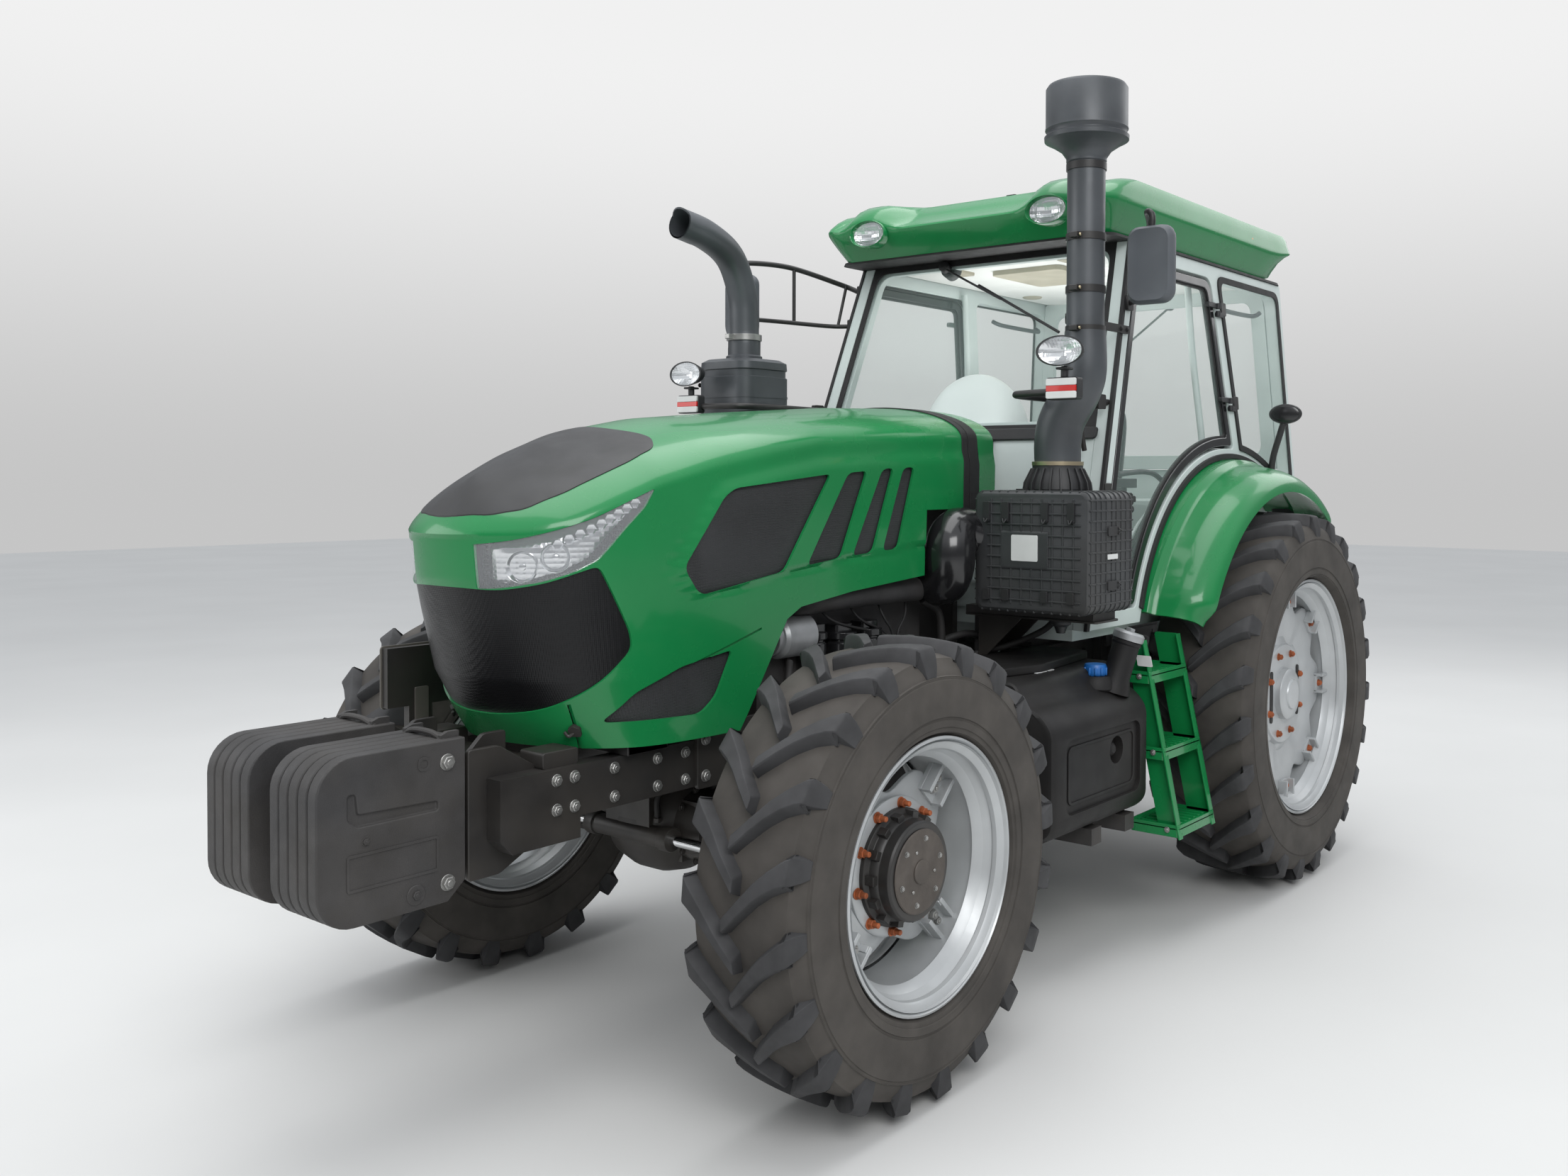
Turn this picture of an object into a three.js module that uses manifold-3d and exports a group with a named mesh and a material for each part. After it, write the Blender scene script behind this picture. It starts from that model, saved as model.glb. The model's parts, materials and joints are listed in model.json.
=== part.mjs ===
// Four-wheel-drive farm tractor with a closed cab, a tilting hood, front weights and a rear linkage.
// Millimetres, +X forward, +Y to the driver's left, +Z up. Shapes are drawn with x = 0 at the rear
// axle and z = 0 on the ground; the root group then puts the origin under the middle of the tractor.
import * as THREE from "three";
import { mergeVertices } from "three/addons/utils/BufferGeometryUtils.js";
import Module from "manifold-3d";

const wasm = await Module();
wasm.setup();

// ---- driving dimensions -------------------------------------------------------------------------

const GAP = 0.3; // between faces that rest on each other

const FRONT_END = 4065; // front face of the weights
const REAR_END = -1150; // ends of the lower links
const WHEELBASE = 2726;

const REAR_WHEEL = {
  radius: 800, track: 925, section: 225, tread: 205, rimHalf: 193, flange: 508, seat: 483, well: 445,
  disc: 70, discThick: 16, hubRadius: 150, hubFace: 85, shaft: 45, shaftIn: -216,
};
const FRONT_WHEEL = {
  radius: 650, track: 900, section: 185, tread: 168, rimHalf: 172, flange: 381, seat: 356, well: 322,
  disc: -6, discThick: 14, hubRadius: 142, hubFace: 122, shaft: 60, shaftIn: -28,
};
const WHEEL_SIDES = 24;

const KINGPIN_Y = 680;
const AXLE_Z = FRONT_WHEEL.radius;
const FRONT_BEAM = { half: 74, high: 84, casingLow: 112 };
const STEER_ARM = { back: 230, inward: 40, z: 552 };

const ENGINE = { rear: 1700, front: 2580, half: 260, low: 690, high: 1500 };
const FRAME = { inner: ENGINE.half + GAP, outer: 320, low: 820, high: 960, rear: 2000, front: 3460 };
const SADDLE = { near: 86, rear: 136, front: 166, earHalf: 100, earLow: 640, pinZ: 695, pin: 34 };
const GEARBOX = { rear: 330, half: 240, low: 510, high: 1020 };
const REAR_HOUSING = { half: 280, low: 480, high: 1080 };
const TRUMPET_R = 110;
const CAB_PAD = 950; // height of the pads on the rear axle that carry the cab
const DRIVE_SHAFT = { radius: 26, frontZ: 594, rearZ: 480, boxFront: 1692, boxRear: 1600 };

const WEIGHT = { rear: 3662, low: 666, high: 1078, corner: 95, inner: 51, outer: 262, plates: 5, slit: 4 };

const TANK = { rear: 1190, front: 1890, inner: 440, outer: 950, low: 510, high: 1060, chamfer: 70 };
const BATTERY_BOX = { rear: 1190, front: 1780, inner: 440, outer: 920, low: 510, high: 980 };
const STEPS = { rear: 845, front: 1165, rail: 32, treads: 3, lowZ: 430, rise: 280, lowY: 860, inset: 60 };

const CAB = {
  floor: 1140, plate: 40, top: 2700, wall: 60, sill: 1240,
  frontFoot: 1380, frontSlope: 0.352, sideFoot: 790, sideSlope: 0.0724, rearFoot: -800, rearSlope: 0.055,
  waist: 1930, rail: 60, shelf: 1600, tub: 660, bulkhead: -120,
};
const HINGE_PILLAR = { footX: -100, footZ: 1860, slope: 0.19, half: 40 };
const ARCH = {
  seat: 1030, opening: 1080, front: 24, rear: 129, steps: 14, inner: 662, outer: 1030, rim: 930,
};
const DOOR = { frame: 48, thick: 40, glass: 6, clear: 12 };
// Pins of the door hinges: forward of the hinge pillar's middle, out from the cab's side.
const DOOR_HINGE = { forward: 36, out: 14, lug: 29, pin: 5, eye: 9, heights: [2080, 2500] };
const COLUMN_TOP = { x: 740, z: 1744, stem: 180 };
const ROOF = { rear: -850, front: 1130, half: 725, high: 2965 };

const HOOD = { rear: 1622, wall: 14, low: 930 };
// Two short pins along one line over the rear edge of the hood.
const HOOD_HINGE = { x: 1604, z: 2014, inner: 150, lug: 30, pin: 5, eye: 9 };
const COWL = { rear: 1424, front: 1600, low: 1630 };

const CLEANER = { rear: 1370, front: 1700, inner: 500, outer: 975, low: 1270, high: 1700 };
const STACK = { x: 1480, y: 830, pipe: 68, top: 3190, cap: 146, braceZ: 2330 };
const MUFFLER = { x: 1500, y: 830, half: 150, low: 1420, high: 2250, pipe: 64 };
const LINKAGE = { pivotX: -290, pivotZ: 560, armZ: 1160, reach: 400, halfSpan: 410, armSpan: 330 };

// ---- solids -------------------------------------------------------------------------------------

function solid(geometry) {
  const bare = geometry.clone();
  bare.deleteAttribute("normal");
  bare.deleteAttribute("uv");
  const merged = mergeVertices(bare, 1e-3);
  const at = merged.attributes.position.array;
  const triangles = [];
  let volume = 0;
  for (let i = 0; i < merged.index.count; i += 3) {
    const [a, b, c] = [0, 1, 2].map((k) => merged.index.array[i + k]);
    if (a === b || b === c || c === a) continue;
    triangles.push([a, b, c]);
    const corner = (v) => new THREE.Vector3().fromArray(at, v * 3);
    volume += corner(a).dot(corner(b).cross(corner(c)));
  }
  const facing = volume > 0 ? triangles : triangles.map(([a, b, c]) => [a, c, b]);
  const mesh = new wasm.Mesh({
    numProp: 3,
    vertProperties: new Float32Array(at),
    triVerts: new Uint32Array(facing.flat()),
  });
  mesh.merge();
  return new wasm.Manifold(mesh);
}

function join(first, ...others) {
  return others.reduce((sum, other) => sum.add(other), first);
}

function cut(first, ...others) {
  return others.reduce((rest, other) => rest.subtract(other), first);
}

function geometryOf(shape) {
  const mesh = shape.getMesh();
  const geometry = new THREE.BufferGeometry();
  const at = new Float32Array((mesh.vertProperties.length / mesh.numProp) * 3);
  for (let v = 0; v < at.length / 3; v++) {
    for (let k = 0; k < 3; k++) at[v * 3 + k] = mesh.vertProperties[v * mesh.numProp + k];
  }
  geometry.setAttribute("position", new THREE.BufferAttribute(at, 3));
  geometry.setIndex(new THREE.BufferAttribute(new Uint32Array(mesh.triVerts), 1));
  return geometry;
}

function moved(shape, change) {
  const geometry = geometryOf(shape);
  const at = geometry.attributes.position;
  for (let i = 0; i < at.count; i++) {
    at.setXYZ(i, ...change(at.getX(i), at.getY(i), at.getZ(i)));
  }
  return solid(geometry);
}

const mirrored = (shape) => moved(shape, (x, y, z) => [x, -y, z]);

function box(x0, x1, y0, y1, z0, z1) {
  const geometry = new THREE.BoxGeometry(x1 - x0, y1 - y0, z1 - z0);
  return solid(geometry.translate((x0 + x1) / 2, (y0 + y1) / 2, (z0 + z1) / 2));
}

function rod(from, to, radius, sides = 12, endRadius = radius) {
  const a = new THREE.Vector3(...from);
  const b = new THREE.Vector3(...to);
  const along = b.clone().sub(a);
  const geometry = new THREE.CylinderGeometry(endRadius, radius, along.length(), sides);
  const turn = new THREE.Quaternion().setFromUnitVectors(new THREE.Vector3(0, 1, 0), along.normalize());
  return solid(geometry.applyQuaternion(turn).translate(...a.add(b).multiplyScalar(0.5).toArray()));
}

function extruded(points, depth) {
  const shape = new THREE.Shape(points.map(([u, v]) => new THREE.Vector2(u, v)));
  return new THREE.ExtrudeGeometry(shape, { depth, bevelEnabled: false });
}

// An outline in x and z, from one y to another.
function sideplate(points, y0, y1) {
  return solid(extruded(points, y1 - y0).rotateX(Math.PI / 2).translate(0, y1, 0));
}

// An outline in y and z, from one x to another.
function crossplate(points, x0, x1) {
  const axes = new THREE.Matrix4().makeBasis(
    new THREE.Vector3(0, 1, 0), new THREE.Vector3(0, 0, 1), new THREE.Vector3(1, 0, 0));
  return solid(extruded(points, x1 - x0).applyMatrix4(axes).translate(x0, 0, 0));
}

// An outline in x and y, from one z to another.
function floorplate(points, z0, z1) {
  return solid(extruded(points, z1 - z0).translate(0, 0, z0));
}

function tube(points, radius, steps, sides = 10) {
  const path = new THREE.CatmullRomCurve3(points.map((p) => new THREE.Vector3(...p)));
  const ring = [];
  for (let i = 0; i < sides; i++) {
    const a = (i / sides) * 2 * Math.PI;
    ring.push(new THREE.Vector2(radius * Math.cos(a), radius * Math.sin(a)));
  }
  const shape = new THREE.Shape(ring);
  return solid(new THREE.ExtrudeGeometry(shape, { steps, extrudePath: path, bevelEnabled: false }));
}

// Closed rings of equal length, one after another. The triangles fill the first ring, and facing
// the other way the last.
function stitched(rings, triangles) {
  const count = rings[0].length;
  const index = [];
  for (let s = 0; s + 1 < rings.length; s++) {
    for (let i = 0; i < count; i++) {
      const j = (i + 1) % count;
      const [a, b] = [s * count + i, s * count + j];
      index.push(a, b, b + count, a, b + count, a + count);
    }
  }
  const last = (rings.length - 1) * count;
  for (const [a, b, c] of triangles) {
    index.push(a, c, b, last + a, last + b, last + c);
  }
  const geometry = new THREE.BufferGeometry();
  geometry.setAttribute("position", new THREE.Float32BufferAttribute(rings.flat(2), 3));
  geometry.setIndex(index);
  return solid(geometry);
}

function loft(rings) {
  const fan = [];
  for (let i = 1; i + 1 < rings[0].length; i++) {
    fan.push([0, i, i + 1]);
  }
  return stitched(rings, fan);
}

// A body turned about the Y axis from a closed [radius, y] profile, with a flat facing down.
function turned(profile, sides) {
  const points = [...profile, profile[0]].map(([r, y]) => new THREE.Vector2(r, y));
  return solid(new THREE.LatheGeometry(points, sides).rotateY(Math.PI / sides));
}

function arc(cx, cy, radius, fromDeg, toDeg, steps) {
  const points = [];
  for (let i = 0; i <= steps; i++) {
    const a = THREE.MathUtils.degToRad(fromDeg + ((toDeg - fromDeg) * i) / steps);
    points.push([cx + radius * Math.cos(a), cy + radius * Math.sin(a)]);
  }
  return points;
}

function roundedBar(low, high, corner, steps = 3) {
  const [u0, v0] = low;
  const [u1, v1] = high;
  return [
    ...arc(u1 - corner, v0 + corner, corner, -90, 0, steps),
    ...arc(u1 - corner, v1 - corner, corner, 0, 90, steps),
    ...arc(u0 + corner, v1 - corner, corner, 90, 180, steps),
    ...arc(u0 + corner, v0 + corner, corner, 180, 270, steps),
  ];
}

// ---- finishes -----------------------------------------------------------------------------------

const FINISH = {
  green: { color: 0x1f8a4a, roughness: 0.3, metalness: 0.1 },
  black: { color: 0x1b1c1e, roughness: 0.6, metalness: 0.1 },
  iron: { color: 0x2b2c2e, roughness: 0.7, metalness: 0.4 },
  rubber: { color: 0x2a2a2b, roughness: 0.9, metalness: 0 },
  silver: { color: 0xc3c6c8, roughness: 0.45, metalness: 0.5 },
  glass: { color: 0x9fb4b0, roughness: 0.05, metalness: 0, transparent: true, opacity: 0.35 },
  lens: { color: 0xe6eaee, roughness: 0.1, metalness: 0.2 },
  pale: { color: 0xc4cfcc, roughness: 0.6, metalness: 0 },
  fabric: { color: 0x2f3133, roughness: 0.95, metalness: 0 },
  steel: { color: 0x77797b, roughness: 0.5, metalness: 0.8 },
};

function piece(name, shape, finish) {
  const mesh = new THREE.Mesh(geometryOf(shape), new THREE.MeshStandardMaterial(FINISH[finish]));
  mesh.name = name;
  return mesh;
}

function assembly(...pieces) {
  const group = new THREE.Group();
  group.add(...pieces.flat());
  return group;
}

// A left piece and its mirror image on the right.
function pair(name, shape, finish) {
  return [piece(`${name}_left`, shape, finish), piece(`${name}_right`, mirrored(shape), finish)];
}

// ---- wheels: drawn about their own centre, outer side towards +Y ------------------------------------

function tyre(w) {
  const corner = w.radius / Math.cos(Math.PI / WHEEL_SIDES);
  const half = [
    [w.seat + GAP, w.rimHalf - 24], [w.flange + 4, w.rimHalf - 18], [w.flange + 12, w.rimHalf + 4],
    [(w.flange + w.radius) / 2, w.section], [w.radius - 60, w.section - 6], [corner, w.tread],
  ];
  const other = half.map(([r, y]) => [r, -y]).reverse();
  return turned([...half, ...other], WHEEL_SIDES);
}

function rim(w) {
  const wall = 9;
  const half = [
    [w.flange, w.rimHalf], [w.flange, w.rimHalf - 10], [w.seat, w.rimHalf - 20], [w.well, w.rimHalf - 95],
  ];
  const inside = [[w.well - wall, w.rimHalf - 90], [w.flange - 8, w.rimHalf]];
  const flip = ([r, y]) => [r, -y];
  const barrel = turned(
    [...half, ...half.map(flip).reverse(), ...inside.map(flip).reverse(), ...inside], WHEEL_SIDES);
  const face = w.disc + w.discThick;
  const centre = turned([
    [0, w.shaftIn], [w.shaft, w.shaftIn], [w.shaft, w.disc], [w.well - 5, w.disc], [w.well - 5, face],
    [w.hubRadius, face], [w.hubRadius, w.hubFace], [0, w.hubFace],
  ], WHEEL_SIDES);
  return join(barrel, centre);
}

function wheel(place, w, x, side) {
  const sideName = side > 0 ? "left" : "right";
  const group = assembly(
    piece(`${place}_rim_${sideName}`, rim(w), "silver"),
    piece(`${place}_tyre_${sideName}`, tyre(w), "rubber"),
  );
  group.position.set(x, side * w.track, w.radius);
  group.rotation.z = side > 0 ? 0 : Math.PI;
  return group;
}

// ---- chassis --------------------------------------------------------------------------------------

function frontFrame() {
  const rail = box(FRAME.rear, FRAME.front, FRAME.inner, FRAME.outer, FRAME.low, FRAME.high);
  const nose = sideplate([
    [FRAME.front - 120, FRAME.low - 60], [3560, FRAME.low - 60], [3600, FRAME.low - 20],
    [3600, FRAME.high], [FRAME.front - 120, FRAME.high],
  ], -FRAME.outer, FRAME.outer);
  const carrier = box(3590, WEIGHT.rear - GAP, -240, 240, 740, 1010);
  const towJaw = join(box(3560, 3640, -45, 45, 690, 745), box(3590, 3620, -30, 30, 640, 700));
  const saddles = [[-SADDLE.rear, -SADDLE.near], [SADDLE.near, SADDLE.front]].map(([from, to]) => {
    const { near, earHalf, earLow, pinZ, pin } = SADDLE;
    const [x0, x1] = [WHEELBASE + from, WHEELBASE + to];
    const root = WHEELBASE + Math.sign(from) * (near + 5);
    const end = WHEELBASE + Math.sign(from) * (FRONT_BEAM.half + GAP);
    return join(
      box(x0, x1, -FRAME.inner - 5, FRAME.inner + 5, FRAME.low, FRAME.high),
      box(x0, x1, -earHalf, earHalf, earLow, FRAME.low + 5),
      rod([root, 0, pinZ], [end, 0, pinZ], pin, 12),
    );
  });
  const sidePlate = join(
    box(3300, 3380, -430, -FRAME.outer + 5, 930, 960),
    box(3300, 3380, -455, -428, 930, 1050),
    box(3222, 3452, -455, -428, 1045, 1225),
  );
  return join(rail, mirrored(rail), nose, carrier, towJaw, ...saddles, sidePlate);
}

function engineBlock() {
  const { rear, front, half, low, high } = ENGINE;
  const outline = [[rear, low + 60], [rear + 120, low], [front, low], [front, high - 160],
    [front - 140, high], [rear, high]];
  return join(
    sideplate(outline, -half, half),
    rod([front - 1, 0, 1080], [front + 60, 0, 1080], 110, 16),
  );
}

function radiator() {
  return join(
    box(3060, 3180, -340, 340, FRAME.high + GAP, 1660),
    box(2990, 3061, -300, 300, FRAME.high + 60, 1600),
  );
}

// The gearbox housing with the beams and shelves that carry the tanks, the air cleaner and the muffler.
function transmission() {
  const { rear, half, low, high } = GEARBOX;
  const housing = box(rear, ENGINE.rear - GAP, -half, half, low, high);
  const beamX = [TANK.rear + 60, TANK.rear + 310];
  const beams = beamX.map((x) =>
    box(x, x + 70, -BATTERY_BOX.outer + 30, TANK.outer - 30, low - 60, low - GAP));
  const middles = beamX.map((x) =>
    box(x, x + 70, -half, half, low - 60, low + 5));
  const post = box(1420, 1500, 375, TANK.inner - 12, low - 55, CLEANER.low - GAP);
  const foot = box(1420, 1500, half - 5, TANK.inner - 12, low + 5, low + 60);
  const shelf = box(1400, 1560, 375, CLEANER.outer - 60, CLEANER.low - 30, CLEANER.low - GAP);
  const rightPost = mirrored(box(1420, 1500, 375, BATTERY_BOX.inner - 12, low - 55, MUFFLER.low - GAP));
  const rightFoot = mirrored(foot);
  const rightShelf = mirrored(
    box(1400, 1560, 375, MUFFLER.y + 90, MUFFLER.low - 30, MUFFLER.low - GAP));
  return join(housing, ...beams, ...middles, post, foot, shelf, rightPost, rightFoot, rightShelf);
}

function rearAxle() {
  const { half, low, high } = REAR_HOUSING;
  const z = REAR_WHEEL.radius;
  const end = REAR_WHEEL.track + REAR_WHEEL.shaftIn - GAP;
  const housing = box(-330, GEARBOX.rear - GAP, -half, half, low, high);
  const trumpet = join(
    rod([0, half - 5, z], [0, end, z], TRUMPET_R + 40, 16, TRUMPET_R),
    box(-50, 50, 420, 500, z + 60, CAB_PAD),
  );
  const pto = rod([-329, 0, 620], [-430, 0, 620], 28, 10);
  const linkPin = rod([LINKAGE.pivotX, half - 5, LINKAGE.pivotZ],
    [LINKAGE.pivotX, LINKAGE.halfSpan + 40, LINKAGE.pivotZ], 18, 10);
  const topBracket = box(-420, -329, -50, 50, 880, 980);
  const cradle = box(LINKAGE.pivotX - 34, LINKAGE.pivotX + 34, 190, 250, high - 5, LINKAGE.armZ - 34 - GAP);
  const pairs = [trumpet, linkPin, cradle];
  return join(housing, pto, topBracket, ...pairs, ...pairs.map(mirrored));
}

function drawbar() {
  const carrier = box(-360, -331, -150, 150, 400, 478);
  const bar = box(-800, 60, -45, 45, 400, 440);
  const strap = box(-60, 60, -60, 60, 436, REAR_HOUSING.low - GAP);
  const hole = rod([-750, 0, 390], [-750, 0, 450], 17, 12);
  return cut(join(carrier, bar, strap), hole);
}

function topLink() {
  const z = 930;
  const jaw = -420 - GAP;
  return join(
    box(jaw - 70, jaw, -30, 30, z - 30, z + 30),
    rod([jaw - 40, 0, z], [jaw - 420, 0, z + 60], 20, 10),
    rod([jaw - 150, 0, z + 17], [jaw - 330, 0, z + 46], 32, 10),
    rod([jaw - 450, -26, z + 63], [jaw - 450, 26, z + 63], 38, 12),
  );
}

function frontAxle() {
  const x = WHEELBASE;
  const z = AXLE_Z;
  const { half, high, casingLow } = FRONT_BEAM;
  const beam = box(x - half, x + half, -560, 560, z - high, z + high);
  const end = join(
    box(x - 60, x + 60, 550, KINGPIN_Y, z - 60, z + 60),
    rod([x, KINGPIN_Y, z - 60], [x, KINGPIN_Y, z + 60], 60, 16),
  );
  const casing = box(x - half, x + half, -150, 150, z - casingLow, z + high);
  const { radius, frontZ, rearZ, boxFront, boxRear } = DRIVE_SHAFT;
  const shaft = rod([x - 70, 0, frontZ], [boxFront - 10, 0, rearZ], radius, 12);
  const dropBox = box(boxRear, boxFront, -70, 70, GEARBOX.low - 58, GEARBOX.low - GAP);
  return join(beam, end, mirrored(end), casing, shaft, dropBox);
}

function knuckle() {
  const x = WHEELBASE;
  const z = AXLE_Z;
  const plate = (z0, z1) => join(
    rod([x, KINGPIN_Y, z0], [x, KINGPIN_Y, z1], 62, 16),
    box(x - 62, x + 62, KINGPIN_Y, 800, z0, z1),
  );
  const pin = (z0, z1) => rod([x, KINGPIN_Y, z0], [x, KINGPIN_Y, z1], 30, 12);
  const web = box(x - 75, x + 75, 768, 802, z - 106, z + 106);
  const drumEnd = FRONT_WHEEL.track + FRONT_WHEEL.shaftIn - GAP;
  const drum = rod([x, 800, z], [x, drumEnd, z], 130, 20);
  const ball = [x - STEER_ARM.back, KINGPIN_Y - STEER_ARM.inward];
  const arm = floorplate([
    [x - 20, KINGPIN_Y - 50], [x - 20, KINGPIN_Y + 50],
    [ball[0] - 22, ball[1] + 22], [ball[0] - 22, ball[1] - 22],
  ], z - 106, z - 84);
  const stud = rod([...ball, z - 106 - 5 + GAP], [...ball, z - 100], 12, 10);
  return join(
    plate(z + 66, z + 106), plate(z - 106, z - 66), pin(z + 60 + GAP, z + 70), pin(z - 70, z - 60 - GAP),
    web, drum, arm, stud,
  );
}

function tieRod() {
  const x = WHEELBASE - STEER_ARM.back;
  const y = KINGPIN_Y - STEER_ARM.inward;
  const top = AXLE_Z - 106 - 5;
  const eye = rod([x, y, top - 32], [x, y, top], 26, 12);
  return join(eye, mirrored(eye), rod([x, -y, top - 16], [x, y, top - 16], 15, 10));
}

function weights() {
  const { rear, low, high, corner, inner, outer, plates, slit } = WEIGHT;
  const outline = [
    [rear, low + 40], [rear + 40, low], [FRONT_END - corner, low],
    ...arc(FRONT_END - corner, low + corner, corner, -60, 0, 2),
    ...arc(FRONT_END - corner, high - corner, corner, 0, 90, 3),
    [rear, high],
  ];
  const pitch = (outer - inner + slit) / plates;
  const slabs = [];
  for (let i = 0; i < plates; i++) {
    slabs.push(sideplate(outline, inner + i * pitch, inner + (i + 1) * pitch - slit));
  }
  const core = box(rear + 60, FRONT_END - 60, inner + 10, outer - 10, low + 60, high - 60);
  return join(...slabs, core);
}

// ---- tanks, steps -----------------------------------------------------------------------------------

function fuelTank() {
  const { rear, front, inner, outer, low, high, chamfer } = TANK;
  const end = [
    [inner, low], [outer - chamfer / 2, low], [outer, low + chamfer / 2],
    [outer, high - chamfer * 1.6], [outer - chamfer * 1.6, high], [inner, high],
  ];
  const body = crossplate(end, rear, front);
  const cap = rod([rear + 300, outer - 150, high - 5], [rear + 310, outer - 140, high + 60], 45, 16);
  const neck = rod([rear + 150, outer - 70, high - 80], [rear + 105, outer - 50, high + 130], 48, 12, 40);
  return join(body, cap, neck);
}

function batteryBox() {
  const { rear, front, inner, outer, low, high } = BATTERY_BOX;
  const end = [[inner, low], [outer - 40, low], [outer, low + 40], [outer, high - 40], [outer - 40, high],
    [inner, high]];
  return mirrored(crossplate(end, rear, front));
}

function steps() {
  const { rear, front, rail, treads, lowZ, rise, lowY, inset } = STEPS;
  const top = CAB.floor - GAP;
  const lean = (inset / rise) * (top - lowZ);
  const side = [
    [lowY + 200, lowZ - 20], [lowY + 200, lowZ + 30], [lowY + 60 - lean + 110, top], [lowY - lean - 60, top],
    [lowY + 70, lowZ - 20],
  ];
  const rails = [rear, front - rail].map((x) => crossplate(side, x, x + rail));
  const boards = [];
  for (let i = 0; i < treads; i++) {
    const y = lowY - i * inset;
    const z = lowZ + i * rise;
    boards.push(box(rear + 1, front - 1, y, y + 200, z, z + 28));
  }
  return join(...rails, ...boards);
}

// ---- hood -----------------------------------------------------------------------------------------

// Along the hood: x, half width, height of the crown, height of the shoulder.
const HOOD_STATIONS = [
  [1622, 405, 2010, 1846], [2000, 410, 1996, 1838], [2500, 410, 1959, 1824], [2850, 410, 1928, 1806],
  [3100, 402, 1885, 1770], [3250, 388, 1834, 1738], [3380, 360, 1777, 1700], [3480, 318, 1733, 1668],
  [3560, 256, 1698, 1642], [3610, 190, 1677, 1628], [3645, 100, 1662, 1620],
];
const NOSE_LEAN = { from: 2900, to: 3560, below: 1620, slope: 0.3 };

function hoodPoint(x, y, z) {
  const { from, to, below, slope } = NOSE_LEAN;
  const share = THREE.MathUtils.clamp((x - from) / (to - from), 0, 1);
  return [x - share * slope * Math.max(0, below - z), y, z];
}

// From the shoulder to the crown: share of the half width, share of the rise.
const CROWN = [[0.93, 0.36], [0.74, 0.7], [0.42, 0.93]];

function hoodRing([x, half, crown, shoulder], inset, low) {
  const w = half - inset;
  const rise = crown - shoulder;
  const side = [
    [w, low], [w + 4, (low + shoulder) / 2], [w, shoulder - inset],
    ...CROWN.map(([out, up]) => [w * out, shoulder + rise * up - inset]),
  ];
  const ring = [...side, [0, crown - inset], ...side.map(([y, z]) => [-y, z]).reverse()];
  return ring.map(([y, z]) => hoodPoint(x, y, z));
}

function hoodBody(inset, low, rear, noseIn) {
  const rings = HOOD_STATIONS.map(([station, half, crown, shoulder], i) => {
    const x = i === 0 ? rear : station - noseIn * THREE.MathUtils.clamp((i - 4) / 3, 0, 1);
    return hoodRing([x, half, crown, shoulder], inset, low);
  });
  return loft(rings);
}

// Side-view outline of everything below the hood's lower edge.
const HOOD_EDGE = [
  [1500, 1630], [2000, 1630], [2004, 1384], [2557, 1327], [2812, 985], [3330, 1010], [3420, 990],
  [3700, 960], [3700, 800], [1500, 800],
];
const GRILLE_OUTLINE = [
  [3240, 1512], [3262, 1290], [3420, 1128], [3500, 1070], [3800, 1050], [3800, 1426], [3560, 1436],
  [3400, 1478],
];
const HEADLIGHT_OUTLINE = [
  [3120, 1716], [3190, 1580], [3268, 1530], [3405, 1496], [3560, 1452], [3800, 1440], [3800, 1560],
  [3560, 1590], [3380, 1640],
];
const HEADLIGHT_INNER = 175;

function grown(points, amount) {
  const centre = points.reduce(([a, b], [u, v]) => [a + u / points.length, b + v / points.length], [0, 0]);
  return points.map(([u, v]) => {
    const [du, dv] = [u - centre[0], v - centre[1]];
    const scale = 1 + amount / Math.hypot(du, dv);
    return [centre[0] + du * scale, centre[1] + dv * scale];
  });
}

function hoodShell() {
  const outer = hoodBody(0, HOOD.low, HOOD.rear, 0);
  const inner = hoodBody(HOOD.wall, HOOD.low - 60, HOOD.rear - 40, 26);
  return cut(outer, inner, sideplate(HOOD_EDGE, -600, 600));
}

function hoodPieces() {
  const shell = hoodShell();
  const grilleZone = (gap) => sideplate(grown(GRILLE_OUTLINE, gap), -600, 600);
  const lampZone = (gap) => sideplate(grown(HEADLIGHT_OUTLINE, gap), HEADLIGHT_INNER - gap, 600);
  const lamp = shell.intersect(lampZone(0));
  const grille = shell.intersect(grilleZone(0));
  const panel = cut(shell, grilleZone(2 * GAP), lampZone(2 * GAP), mirrored(lampZone(2 * GAP)));
  const { x, z, inner, lug, pin, eye } = HOOD_HINGE;
  const [lugIn, lugOut] = [inner + lug + 1, inner + 2 * lug + 1];
  const hingeLug = cut(
    join(rod([x, lugIn, z], [x, lugOut, z], eye, 12), box(x, x + 46, lugIn, lugOut, z - 36, z)),
    rod([x, lugIn - 1, z], [x, lugOut + 1, z], pin + 2 * GAP, 12),
  );
  const hood = join(panel, hingeLug, mirrored(hingeLug));
  return [
    piece("hood", hood, "green"),
    piece("grille", grille, "black"),
    ...pair("headlight", lamp, "lens"),
  ];
}

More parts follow.
